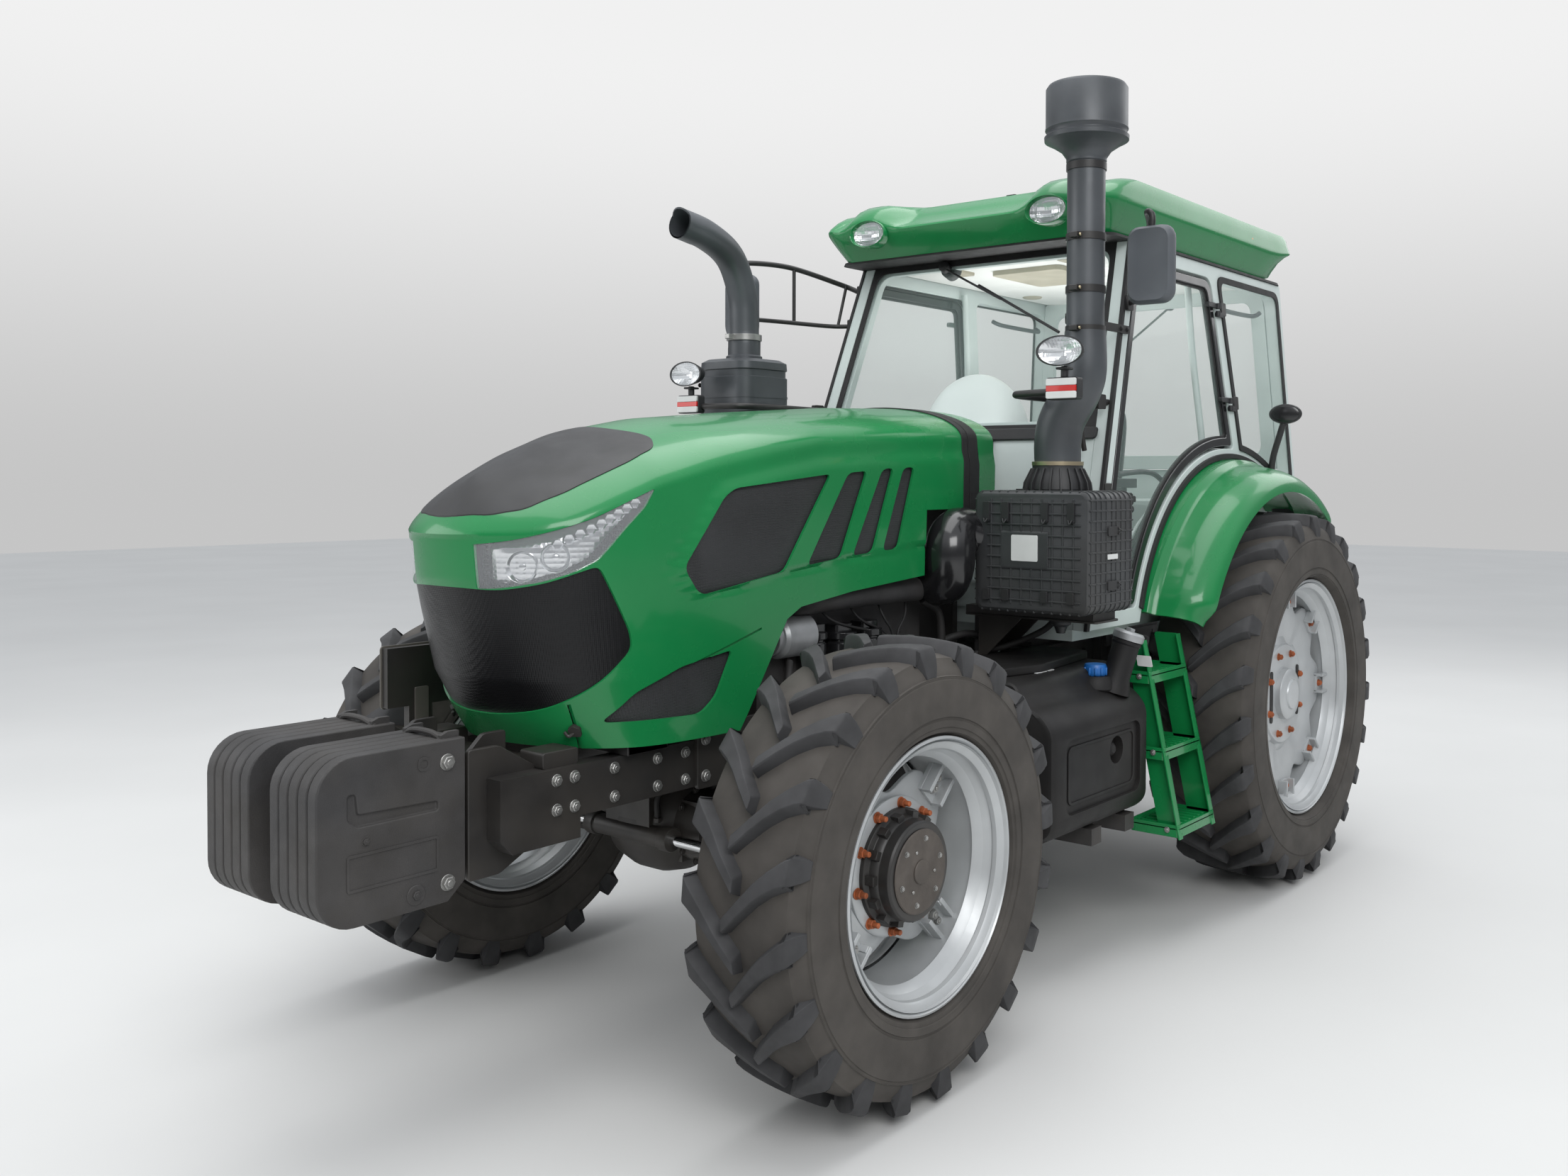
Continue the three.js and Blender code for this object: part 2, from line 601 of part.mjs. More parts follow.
function cowl() {
  const station = [COWL.front, ...HOOD_STATIONS[0].slice(1)];
  const end = [COWL.rear, ...HOOD_STATIONS[0].slice(1)];
  const outer = loft([hoodRing(end, 0, COWL.low), hoodRing(station, 0, COWL.low)]);
  const inner = loft([
    hoodRing([COWL.rear + 20, ...end.slice(1)], 20, COWL.low - 60),
    hoodRing([COWL.front + 20, ...end.slice(1)], 20, COWL.low - 60),
  ]);
  const dashFoot = sideplate([
    [cabFront(CAB.waist - 20) + GAP + 2, CAB.waist - 20], [cabFront(1300) + GAP + 2, 1300],
    [1402, 1300], [1402, GEARBOX.high + GAP], [COWL.rear + 10, GEARBOX.high + GAP],
    [COWL.rear + 10, CAB.waist - 20],
  ], -230, 230);
  const { x, z, inner: lugIn, lug, pin, eye } = HOOD_HINGE;
  const lugOut = lugIn + lug;
  const hinge = join(
    rod([x, lugIn, z], [x, lugOut, z], eye, 12),
    box(x - 29, x, lugIn, lugOut, z - 30, z + 6),
    rod([x, lugIn, z], [x, lugOut + lug, z], pin, 10),
  );
  return join(cut(outer, inner), dashFoot, hinge, mirrored(hinge));
}

// ---- cab --------------------------------------------------------------------------------------------

function cabFront(z) {
  return CAB.frontFoot - CAB.frontSlope * (z - 1200);
}

function cabSide(z) {
  return CAB.sideFoot - CAB.sideSlope * (z - 1200);
}

function cabRear(z) {
  return CAB.rearFoot + CAB.rearSlope * (z - CAB.shelf);
}

function hingeX(z) {
  return HINGE_PILLAR.footX + HINGE_PILLAR.slope * (z - HINGE_PILLAR.footZ);
}

function archArc(radius, fromDeg, toDeg) {
  return arc(0, REAR_WHEEL.radius, radius, fromDeg, toDeg, ARCH.steps);
}

const degrees = THREE.MathUtils.radToDeg;

// Angle about the rear axle at which a circle reaches a height, on its front half.
function angleAt(radius, z) {
  return degrees(Math.asin((z - REAR_WHEEL.radius) / radius));
}

function doorOutline(inset) {
  const low = CAB.sill + inset;
  const high = CAB.top - CAB.rail - inset;
  const front = (z) => cabFront(z) - 70 - inset;
  const rear = (z) => hingeX(z) + HINGE_PILLAR.half + inset;
  const radius = ARCH.opening + inset;
  const back = degrees(Math.acos(rear(REAR_WHEEL.radius + radius) / radius));
  return [
    ...archArc(radius, angleAt(radius, low), back), [rear(high), high], [front(high), high],
    [front(low), low],
  ];
}

function quarterOutline(inset) {
  const high = CAB.top - CAB.rail - inset;
  const radius = ARCH.opening + 20 + inset;
  const from = degrees(Math.acos((hingeX(radius + REAR_WHEEL.radius) - HINGE_PILLAR.half - inset) / radius));
  const to = 122;
  const low = REAR_WHEEL.radius + radius * Math.sin((to * Math.PI) / 180);
  return [
    ...archArc(radius, from, to), [cabRear(low) + 70 + inset, low], [cabRear(high) + 70 + inset, high],
    [hingeX(high) - HINGE_PILLAR.half - inset, high],
  ];
}

// Hinge parts are drawn upright, x from the middle of the hinge pillar and y from the cab's side,
// then leant square to the hinge line.
function onHingeLine(shape) {
  const { forward, out } = DOOR_HINGE;
  return moved(shape, (x, y, z) => [
    x + hingeX(z), y + cabSide(z), z - HINGE_PILLAR.slope * (x - forward) + CAB.sideSlope * (y - out),
  ]);
}

function pillarLugs() {
  const { forward: x, out: y, lug, pin, eye, heights } = DOOR_HINGE;
  return heights.map((z) => onHingeLine(join(
    rod([x, y, z - lug], [x, y, z], eye, 12),
    box(x - 30, x, -5, y + eye, z - lug, z),
    rod([x, y, z - lug], [x, y, z + lug], pin, 10),
  )));
}

function doorLugs() {
  const { forward: x, out: y, lug, pin, eye, heights } = DOOR_HINGE;
  return heights.map((z) => onHingeLine(cut(
    join(
      rod([x, y, z + 1], [x, y, z + lug], eye, 12),
      box(x, x + 60, y - eye, y + eye, z + 1, z + lug),
      box(x + 24, x + 60, -5, y, z + 1, z + lug),
    ),
    rod([x, y, z], [x, y, z + lug + 1], pin + 2 * GAP, 12),
  )));
}

// A flat side panel, its outer face at y = 0, leant in so that it follows the cab's side.
function leant(shape) {
  return moved(shape, (x, y, z) => [x, y + cabSide(z), z]);
}

function cabSideFrame() {
  const outline = [
    [960, CAB.floor + CAB.plate], ...archArc(ARCH.seat + GAP, ARCH.front, ARCH.rear),
    [cabRear(CAB.shelf), CAB.shelf + 10], [cabRear(CAB.top), CAB.top], [cabFront(CAB.top), CAB.top],
    [cabFront(CAB.floor + CAB.plate), CAB.floor + CAB.plate],
  ];
  const frame = cut(
    sideplate(outline, -CAB.wall, 0),
    sideplate(doorOutline(0), -CAB.wall - 10, 10),
    sideplate(quarterOutline(0), -CAB.wall - 10, 10),
  );
  const pane = sideplate(quarterOutline(-4), -34, -28);
  return join(leant(join(frame, pane)), ...pillarLugs());
}

function door() {
  const frame = cut(
    sideplate(doorOutline(DOOR.clear), -DOOR.thick, 0),
    sideplate(doorOutline(DOOR.clear + DOOR.frame), -DOOR.thick - 10, 10),
  );
  const pane = sideplate(doorOutline(DOOR.clear + DOOR.frame - 4), -24, -24 + DOOR.glass);
  return join(leant(join(frame, pane)), ...doorLugs());
}

// Floor, bulkhead behind the seat, shelf under the rear window and inner wheel-arch walls.
function cabTub() {
  const { floor, plate, tub, bulkhead, shelf } = CAB;
  const wallIn = cabSide(floor + plate) - CAB.wall - GAP;
  const frontX = cabFront(floor + plate) - 2;
  const base = floorplate([
    [bulkhead, -tub], [800, -tub], [1040, -wallIn], [frontX, -wallIn], [frontX, wallIn], [1040, wallIn],
    [800, tub], [bulkhead, tub],
  ], floor, floor + plate - GAP);
  const back = box(bulkhead, bulkhead + 30, -tub, tub, floor, shelf + 20);
  const deckHalf = cabSide(shelf) - CAB.wall - 30;
  const deck = box(cabRear(shelf) + 10, bulkhead + 30, -tub, tub, shelf - 20, shelf + 10);
  const rearWall = crossplate([
    [-deckHalf, shelf - 20], [deckHalf, shelf - 20], [deckHalf - 14, 1790], [-deckHalf + 14, 1790],
  ], cabRear(shelf) + 8, cabRear(shelf) + 44);
  const reach = ARCH.seat - 30;
  const wallOutline = [
    [bulkhead, floor], [ARCH.seat * 0.92, floor],
    ...archArc(reach, Math.max(22, angleAt(reach, floor + 30)), 96),
    [bulkhead, ARCH.seat + REAR_WHEEL.radius - 40],
  ];
  const wall = sideplate(wallOutline, tub - 22, tub - GAP);
  const legs = [
    box(-50, 50, 420, 500, CAB_PAD + GAP, floor + 5),
    box(1000, 1090, 120, 200, GEARBOX.high + GAP, floor + 5),
  ];
  return join(base, back, deck, rearWall, wall, mirrored(wall), ...legs, ...legs.map(mirrored));
}

// A panel across the cab between two heights, in the plane of the front or the rear.
function crossPanel(line, low, high, thick, sideGap) {
  const ring = (z) => {
    const y = cabSide(z) - CAB.wall - sideGap;
    return [[line(z), -y, z], [line(z), y, z], [line(z) - thick, y, z], [line(z) - thick, -y, z]];
  };
  return loft([ring(low), ring(high)]);
}

function cabFrontWall() {
  return crossPanel(cabFront, CAB.floor + CAB.plate, CAB.waist, 40, GAP);
}

function windshield() {
  return crossPanel((z) => cabFront(z) - 12, CAB.waist + GAP, CAB.top, 7, GAP);
}

function rearWindow() {
  return crossPanel((z) => cabRear(z) + 40, 1790 + GAP, CAB.top, 7, GAP);
}

function roof() {
  const ring = (z, rear, front, half, corner) =>
    roundedBar([rear, -half], [front, half], corner).map(([x, y]) => [x, y, z]);
  const base = CAB.top + GAP;
  const slab = loft([
    ring(base, ROOF.rear + 90, ROOF.front - 60, ROOF.half - 40, 60),
    ring(base + 70, ROOF.rear + 20, ROOF.front, ROOF.half - 5, 90),
    ring(base + 150, ROOF.rear, ROOF.front - 10, ROOF.half, 110),
    ring(base + 215, ROOF.rear + 60, ROOF.front - 70, ROOF.half - 60, 120),
    ring(ROOF.high, ROOF.rear + 260, ROOF.front - 330, ROOF.half - 220, 120),
  ]);
  const hollow = box(-640, 760, -560, 560, base - 10, base + 130);
  const lamp = rod([ROOF.front - 60, 451, base + 90], [ROOF.front + 26, 451, base + 90], 78, 16);
  return join(cut(slab, hollow), lamp, mirrored(lamp));
}

function fender() {
  const { seat, inner, outer, rim: rimR, front, rear, steps: count } = ARCH;
  const thick = 16;
  const crest = inner + 146;
  const section = [
    [inner, seat - thick], [inner, seat], [crest, seat], [crest + 24, seat - 26], [crest + 130, seat - 52],
    [outer, rimR], [outer, rimR - 45], [outer - thick, rimR - 45], [outer - thick, rimR - 12],
    [crest + 130, seat - 52 - thick], [crest + 24, seat - 26 - thick],
  ];
  const rings = [];
  for (let i = 0; i <= count; i++) {
    const a = THREE.MathUtils.degToRad(front + ((rear - front) * i) / count);
    rings.push(section.map(([y, r]) => [r * Math.cos(a), y, REAR_WHEEL.radius + r * Math.sin(a)]));
  }
  return archLoft(rings);
}

// Rings about the rear axle whose section is not convex: the ends are filled by its triangles.
function archLoft(rings) {
  const flat = rings[0].map(([x, y, z]) => new THREE.Vector2(y, Math.hypot(x, z - REAR_WHEEL.radius)));
  const triangles = THREE.ShapeUtils.triangulateShape(flat, []);
  const clockwise = THREE.ShapeUtils.isClockWise(flat);
  return stitched(rings, clockwise ? triangles.map(([a, b, c]) => [a, c, b]) : triangles);
}

function seatPieces() {
  const base = CAB.floor + CAB.plate;
  const lean = (z) => 70 - (z - base - 376) * 0.2;
  const rearFace = (z) => lean(z) - GAP;
  const backCarrier = sideplate([
    [200, base + 205], [200, base + 245], [104, base + 255], [80, base + 340],
    [rearFace(base + 430), base + 430], [rearFace(base + 620), base + 620],
    [rearFace(base + 620) - 20, base + 620], [40, base + 400], [50, base + 205],
  ], -120, 120);
  const pedestal = join(
    box(180, 520, -170, 170, base, base + 200),
    box(140, 560, -220, 220, base + 200, base + 250),
    backCarrier,
  );
  const cushion = sideplate(roundedBar([110, base + 250 + GAP], [610, base + 370], 45), -245, 245);
  const back = moved(
    sideplate(roundedBar([0, base + 376], [120, base + 940], 50), -235, 235),
    (x, y, z) => [x + lean(z), y, z],
  );
  return [
    piece("seat_base", pedestal, "black"),
    piece("seat_cushion", cushion, "fabric"),
    piece("seat_back", back, "fabric"),
  ];
}

function dashboard() {
  const base = CAB.floor + CAB.plate;
  const column = sideplate([
    [1080, base], [1240, base], [1150, 1560], [1060, CAB.waist - 20], [860, CAB.waist - 80],
    [COLUMN_TOP.x + 35, COLUMN_TOP.z + 20], [COLUMN_TOP.x - 35, COLUMN_TOP.z - 20], [780, 1640], [940, 1540],
  ], -150, 150);
  const hood = sideplate([
    [870, CAB.waist - 90], [1064, CAB.waist - 24], [1050, CAB.waist + 40], [990, CAB.waist + 100],
    [900, CAB.waist + 92], [850, CAB.waist - 10],
  ], -200, 200);
  return join(column, hood);
}

function steeringWheel() {
  const up = new THREE.Vector3(-0.5, 0, 0.866);
  const seat = new THREE.Vector3(COLUMN_TOP.x, 0, COLUMN_TOP.z).addScaledVector(up, GAP);
  const centre = seat.clone().addScaledVector(up, COLUMN_TOP.stem);
  const turn = new THREE.Quaternion().setFromUnitVectors(new THREE.Vector3(0, 0, 1), up);
  const place = (geometry) => solid(geometry.applyQuaternion(turn).translate(...centre.toArray()));
  const ring = place(new THREE.TorusGeometry(190, 15, 5, 16));
  const spoke = place(new THREE.BoxGeometry(370, 30, 14));
  const spokeAcross = place(new THREE.BoxGeometry(30, 370, 14));
  const boss = place(new THREE.CylinderGeometry(45, 45, 50, 12).rotateX(Math.PI / 2));
  return join(ring, spoke, spokeAcross, boss, rod(seat.toArray(), centre.toArray(), 24, 10));
}

// ---- intake, exhaust, lamps, mirrors -----------------------------------------------------------------

function airCleaner() {
  const { rear, front, inner, outer, low, high } = CLEANER;
  const body = crossplate(roundedBar([inner, low], [outer, high], 30, 2), rear, front);
  const elbow = tube([
    [front - 5, inner + 110, 1450], [front + 60, inner + 105, 1455], [front + 110, inner + 40, 1480],
    [front + 120, 425, 1500],
  ], 72, 6, 10);
  return join(body, elbow);
}

function intakeStack() {
  const { x, y, pipe, top, cap } = STACK;
  const base = CLEANER.high + GAP;
  const collar = rod([x, y - 110, base], [x, y - 110, base + 90], 108, 14, 80);
  const duct = tube([
    [x, y - 110, base + 60], [x, y - 110, base + 190], [x, y - 50, base + 330], [x, y, base + 440],
    [x, y, base + 560],
  ], pipe + 6, 8, 12);
  const pipeUp = rod([x, y, base + 540], [x, y, 2880], pipe, 12);
  const cone = rod([x, y, 2870], [x, y, 2935], pipe + 6, 16, cap);
  const bowl = rod([x, y, 2934], [x, y, top], cap, 16);
  const braceY = cabSide(STACK.braceZ - 20) + GAP;
  const brace = box(930, x - 30, braceY, braceY + 24, STACK.braceZ - 20, STACK.braceZ + 20);
  const clamp = box(x - 80, x - 30, braceY, y, STACK.braceZ - 20, STACK.braceZ + 20);
  return join(collar, duct, pipeUp, cone, bowl, brace, clamp);
}

function muffler() {
  const { x, y, half, low, high, pipe } = MUFFLER;
  const body = floorplate(roundedBar([x - half, y - half], [x + half, y + half], 60), low, high);
  const run = tube([
    [x, y, high - 20], [x, y, high + 160], [x + 20, y, high + 300], [x + 110, y, high + 430],
    [x + 250, y, high + 490], [x + 400, y, high + 520],
  ], pipe, 10, 12);
  return mirrored(join(body, run));
}

function workLamp() {
  const x = 1780;
  const y = 900;
  const z = 2048;
  const armZ = z - 10;
  const round = rod([x - 60, y, z + 126], [x, y, z + 126], 86, 16, 92);
  const lamp = moved(round, (px, py, pz) => [px, py, z + 126 + (pz - z - 126) * 0.55]);
  const marker = box(x - 50, x - 8, y - 60, y + 60, z - 38, z + 38);
  const post = rod([x - 34, y, z], [x - 34, y, z + 130], 14, 8);
  const arm = tube([
    [cabFront(armZ - 13) + GAP, cabSide(armZ) - 30, armZ], [1150, cabSide(armZ) - 34, armZ],
    [1260, 652, armZ], [1640, 652, armZ], [1720, 740, armZ], [x - 34, y, armZ],
  ], 12, 14, 6);
  return join(lamp, marker, post, arm);
}

function mirror() {
  const x = 1330;
  const y = 1010;
  const head = sideplate([[x - 40, 2375], [x + 20, 2370], [x + 34, 2400], [x + 34, 2620], [x + 16, 2650],
    [x - 36, 2650]], y - 90, y + 90);
  const foot = (z) => {
    const side = cabSide(z - 24) + GAP;
    return box(cabFront(z) - 46, cabFront(z) - 14, side, side + 16, z - 24, z + 24);
  };
  const armFrom = (z, ...points) => tube(
    [[cabFront(z) - 30, cabSide(z - 24) + 10, z], ...points], 12, 8, 6);
  const arm = armFrom(2600, [cabFront(2600) + 10, cabSide(2600) + 90, 2640], [1120, y - 110, 2700],
    [x - 10, y - 20, 2700], [x, y, 2645]);
  const brace = armFrom(2440, [cabFront(2440) + 40, cabSide(2440) + 90, 2440], [1180, y - 100, 2450],
    [x - 20, y - 60, 2450]);
  return join(head, foot(2600), foot(2440), arm, brace);
}

// ---- rear linkage -------------------------------------------------------------------------------------

function lowerLinks() {
  const { pivotX, pivotZ, halfSpan } = LINKAGE;
  const bar = sideplate([
    [pivotX - 30, pivotZ - 34], [REAR_END + 40, pivotZ - 34], [REAR_END, pivotZ],
    [REAR_END + 40, pivotZ + 34],
    [pivotX - 30, pivotZ + 34],
  ], halfSpan - 14, halfSpan + 14);
  const eye = cut(
    rod([pivotX, halfSpan - 20, pivotZ], [pivotX, halfSpan + 20, pivotZ], 42, 16),
    rod([pivotX, halfSpan - 30, pivotZ], [pivotX, halfSpan + 30, pivotZ], 18 + 0.8, 16),
  );
  const arm = cut(bar, rod([pivotX, 300, pivotZ], [pivotX, 500, pivotZ], 18 + 0.8, 16));
  const pinX = pivotX - LINKAGE.reach;
  const pin = rod([pinX, halfSpan - 40, pivotZ], [pinX, halfSpan, pivotZ], 12, 10);
  const side = join(arm, eye, pin);
  const crossbar = rod([REAR_END + 60, -halfSpan, pivotZ], [REAR_END + 60, halfSpan, pivotZ], 20, 10);
  return join(side, mirrored(side), crossbar);
}

function liftArms() {
  const { pivotX, armZ, reach, armSpan } = LINKAGE;
  const shaft = rod([pivotX, -armSpan - 20, armZ], [pivotX, armSpan + 20, armZ], 34, 14);
  const arm = sideplate([
    [pivotX + 30, armZ - 50], [pivotX + 30, armZ + 50], [pivotX - reach - 30, armZ + 28],
    [pivotX - reach - 30, armZ - 28],
  ], armSpan - 16, armSpan + 16);
  const pin = rod([pivotX - reach, armSpan, armZ], [pivotX - reach, armSpan + 34, armZ], 12, 10);
  return join(shaft, arm, mirrored(arm), pin, mirrored(pin));
}

function liftRod() {
  const { pivotX, pivotZ, armZ, reach, halfSpan } = LINKAGE;
  const x = pivotX - reach;
  const y = halfSpan - 40 - GAP - 10;
  const ring = (z) => cut(
    rod([x, y - 10, z], [x, y + 10, z], 28, 12),
    rod([x, y - 20, z], [x, y + 20, z], 12.9, 12),
  );
  return join(
    ring(pivotZ), ring(armZ),
    rod([x, y, pivotZ + 24], [x, y, armZ - 24], 11, 10),
    rod([x, y, pivotZ + 180], [x, y, armZ - 180], 20, 10),
  );
}

// ---- the tractor --------------------------------------------------------------------------------------

const chassis = assembly(
  piece("front_frame", frontFrame(), "black"),
  piece("engine_block", engineBlock(), "iron"),
  piece("radiator", radiator(), "black"),
  piece("transmission", transmission(), "iron"),
  piece("rear_axle", rearAxle(), "iron"),
  piece("drawbar", drawbar(), "black"),
  piece("top_link", topLink(), "steel"),
  piece("front_axle", frontAxle(), "black"),
  pair("weights", weights(), "iron"),
  piece("fuel_tank", fuelTank(), "black"),
  piece("battery_box", batteryBox(), "black"),
  pair("steps", steps(), "green"),
  piece("air_cleaner", airCleaner(), "black"),
  piece("intake_stack", intakeStack(), "black"),
  piece("muffler", muffler(), "black"),
);

const steering = assembly(pair("knuckle", knuckle(), "black"), piece("tie_rod", tieRod(), "steel"));

const body = assembly(hoodPieces(), piece("cowl", cowl(), "green"), pair("fender", fender(), "green"));

const cab = assembly(
  piece("cab_tub", cabTub(), "pale"),
  piece("cab_front", cabFrontWall(), "pale"),
  pair("cab_side", cabSideFrame(), "pale"),
  piece("windshield", windshield(), "glass"),
  piece("rear_window", rearWindow(), "glass"),
  pair("door", door(), "black"),
  piece("roof", roof(), "green"),
  seatPieces(),
  piece("dashboard", dashboard(), "pale"),
  piece("steering_wheel", steeringWheel(), "black"),
  pair("mirror", mirror(), "black"),
  pair("work_lamp", workLamp(), "black"),
);

const linkage = assembly(
  piece("lower_links", lowerLinks(), "steel"),
  piece("lift_arms", liftArms(), "iron"),
  pair("lift_rod", liftRod(), "steel"),
);

const wheels = assembly(
  wheel("rear", REAR_WHEEL, 0, 1), wheel("rear", REAR_WHEEL, 0, -1),
  wheel("front", FRONT_WHEEL, WHEELBASE, 1), wheel("front", FRONT_WHEEL, WHEELBASE, -1),
);

const tractor = assembly(chassis, steering, body, cab, linkage, wheels);
tractor.position.x = -(FRONT_END + REAR_END) / 2;

export default tractor;
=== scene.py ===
"""Looks of a farm tractor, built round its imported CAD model.

Shapes are written in millimetres, with x from the rear axle, y to the driver's left and z from the
ground. piece() turns them into metres in the row frame. A shape is a pair: vertices and faces.
"""

import json
import math

import bmesh
import bpy
import numpy as np
from mathutils import Matrix, Vector


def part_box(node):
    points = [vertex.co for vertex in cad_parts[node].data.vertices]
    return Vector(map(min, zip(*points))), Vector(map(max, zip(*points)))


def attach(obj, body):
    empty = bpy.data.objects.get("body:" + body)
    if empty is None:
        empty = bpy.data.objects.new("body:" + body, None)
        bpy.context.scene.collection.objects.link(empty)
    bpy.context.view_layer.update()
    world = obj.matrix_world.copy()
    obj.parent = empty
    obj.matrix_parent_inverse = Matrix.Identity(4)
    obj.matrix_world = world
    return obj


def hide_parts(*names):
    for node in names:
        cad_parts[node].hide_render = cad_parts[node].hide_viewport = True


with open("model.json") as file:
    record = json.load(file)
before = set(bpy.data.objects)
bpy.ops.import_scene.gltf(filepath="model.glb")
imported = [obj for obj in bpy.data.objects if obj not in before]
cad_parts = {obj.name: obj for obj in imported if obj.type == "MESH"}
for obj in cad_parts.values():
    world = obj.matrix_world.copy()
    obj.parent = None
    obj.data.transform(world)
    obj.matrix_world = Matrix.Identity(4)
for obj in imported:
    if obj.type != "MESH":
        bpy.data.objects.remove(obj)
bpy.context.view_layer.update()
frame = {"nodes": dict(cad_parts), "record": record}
RECORD_SLOTS = {s["node"]: s["material_slot"] for s in frame["record"]["subparts"]}


def middle(node):
    low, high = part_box(node)
    return (low + high) / 2


REAR_AXLE_X = middle("rear_tyre_left").x
WHEELBASE = (middle("front_tyre_left").x - REAR_AXLE_X) * 1000

# ---- shapes ------------------------------------------------------------------------------------------


def merge(*shapes):
    verts, faces = [], []
    for v, f in shapes:
        first = len(verts)
        verts.extend(v)
        faces.extend(tuple(i + first for i in face) for face in f)
    return verts, faces


def moved(shape, change):
    return [change(*v) for v in shape[0]], shape[1]


def shifted(shape, dx=0, dy=0, dz=0):
    return moved(shape, lambda x, y, z: (x + dx, y + dy, z + dz))


def mirrored(shape):
    return [(x, -y, z) for x, y, z in shape[0]], [tuple(reversed(f)) for f in shape[1]]


def both(shape):
    return merge(shape, mirrored(shape))


SIDES = (("left", lambda shape: shape), ("right", mirrored))


def flattened(shape, z, share):
    """A shape pressed towards a height, for lamps that are wider than they are high."""
    return moved(shape, lambda px, py, pz: (px, py, z + (pz - z) * share))


def turns(count):
    """Angles spaced evenly round a full turn."""
    return [2 * math.pi * k / count for k in range(count)]


def circle(centre, u, v, radius, sides):
    """Points round a centre, in the plane of two directions."""
    return [tuple(Vector(centre) + (u * math.cos(a) + v * math.sin(a)) * radius) for a in turns(sides)]


def box(x0, x1, y0, y1, z0, z1):
    verts = [(x, y, z) for x in (x0, x1) for y in (y0, y1) for z in (z0, z1)]
    return verts, [(0, 1, 3, 2), (4, 6, 7, 5), (0, 4, 5, 1), (2, 3, 7, 6), (0, 2, 6, 4), (1, 5, 7, 3)]


def skin(rings, closed=True, capped=True):
    """Faces between rings of equal length, with the first and last filled."""
    count = len(rings[0])
    verts = [tuple(p) for ring in rings for p in ring]
    faces = []
    for s in range(len(rings) - 1):
        for i in range(count if closed else count - 1):
            j = (i + 1) % count
            faces.append((s * count + i, s * count + j, (s + 1) * count + j, (s + 1) * count + i))
    if closed and capped:
        faces += [tuple(reversed(range(count))), tuple(range(len(verts) - count, len(verts)))]
    return verts, faces


def slab(outline, low, high, plane="xz"):
    """An outline in a plane, from one place to another along the third axis."""
    put = {
        "xz": lambda u, v, w: (u, w, v),
        "yz": lambda u, v, w: (w, u, v),
        "xy": lambda u, v, w: (u, v, w),
    }[plane]
    return skin([[put(u, v, w) for u, v in outline] for w in (low, high)])


def rounded(u0, u1, v0, v1, radius, steps=5):
    """Outline of a rectangle with round corners."""
    points = []
    for cu, cv, start in ((u1, v0, -90), (u1, v1, 0), (u0, v1, 90), (u0, v0, 180)):
        cu += radius if cu == u0 else -radius
        cv += radius if cv == v0 else -radius
        for i in range(steps + 1):
            a = math.radians(start + 90 * i / steps)
            points.append((cu + radius * math.cos(a), cv + radius * math.sin(a)))
    return points


def softened(outline, radius, steps=4):
    """A polygon with its corners rounded."""
    points = []
    for i, corner in enumerate(outline):
        p = Vector(corner)
        before, after = Vector(outline[i - 1]) - p, Vector(outline[(i + 1) % len(outline)]) - p
        reach = min(radius, before.length * 0.45, after.length * 0.45)
        a, b = p + before.normalized() * reach, p + after.normalized() * reach
        for k in range(steps + 1):
            t = k / steps
            points.append(tuple(a * (1 - t) ** 2 + p * 2 * t * (1 - t) + b * t * t))
    return points


def grown(outline, amount):
    """A polygon with each side moved out by amount."""
    area = sum(a[0] * b[1] - b[0] * a[1] for a, b in zip(outline, outline[1:] + outline[:1]))
    side = amount if area > 0 else -amount
    points = []
    for i, corner in enumerate(outline):
        p, a, b = Vector(corner), Vector(outline[i - 1]), Vector(outline[(i + 1) % len(outline)])
        n1 = Vector(((p - a).y, -(p - a).x)).normalized()
        n2 = Vector(((b - p).y, -(b - p).x)).normalized()
        n = (n1 + n2).normalized()
        points.append(tuple(p + n * (side / max(0.35, n.dot(n1)))))
    return points


def spline(points, count, closed=False):
    """Points evenly along a Catmull-Rom curve."""
    p = np.array(points, float)
    ends = (p[-1], p[0], p[1]) if closed else (2 * p[0] - p[1], None, 2 * p[-1] - p[-2])
    p = np.vstack([e for e in (ends[0], *p, ends[1], ends[2]) if e is not None])
    fine = []
    for i in range(1, len(p) - 2):
        for t in np.linspace(0, 1, 16, endpoint=False):
            fine.append(0.5 * (
                2 * p[i] + (p[i + 1] - p[i - 1]) * t
                + (2 * p[i - 1] - 5 * p[i] + 4 * p[i + 1] - p[i + 2]) * t * t
                + (3 * p[i] - p[i - 1] - 3 * p[i + 1] + p[i + 2]) * t ** 3))
    fine = np.array([*fine, p[-2]])
    run = np.concatenate([[0], np.cumsum(np.linalg.norm(np.diff(fine, axis=0), axis=1))])
    at = np.linspace(0, run[-1], count)
    return np.stack([np.interp(at, run, fine[:, k]) for k in range(fine.shape[1])], 1)


def tube(points, radius, sides=12, count=None, radii=None):
    """A round bar along a smooth curve; radii gives its radius from start to end."""
    path = spline(points, count or 6 * (len(points) - 1) + 1) if len(points) > 2 else np.array(points, float)
    rings = []
    up = None
    for i, p in enumerate(path):
        ahead = Vector(path[min(i + 1, len(path) - 1)] - path[max(i - 1, 0)]).normalized()
        if up is None:
            up = Vector((0, 0, 1)) if abs(ahead.z) < 0.9 else Vector((1, 0, 0))
        across = ahead.cross(up).normalized()
        up = across.cross(ahead).normalized()
        t = i / (len(path) - 1)
        r = radius if radii is None else float(np.interp(t, np.linspace(0, 1, len(radii)), radii))
        rings.append(circle(p, across, up, r, sides))
    return skin(rings)


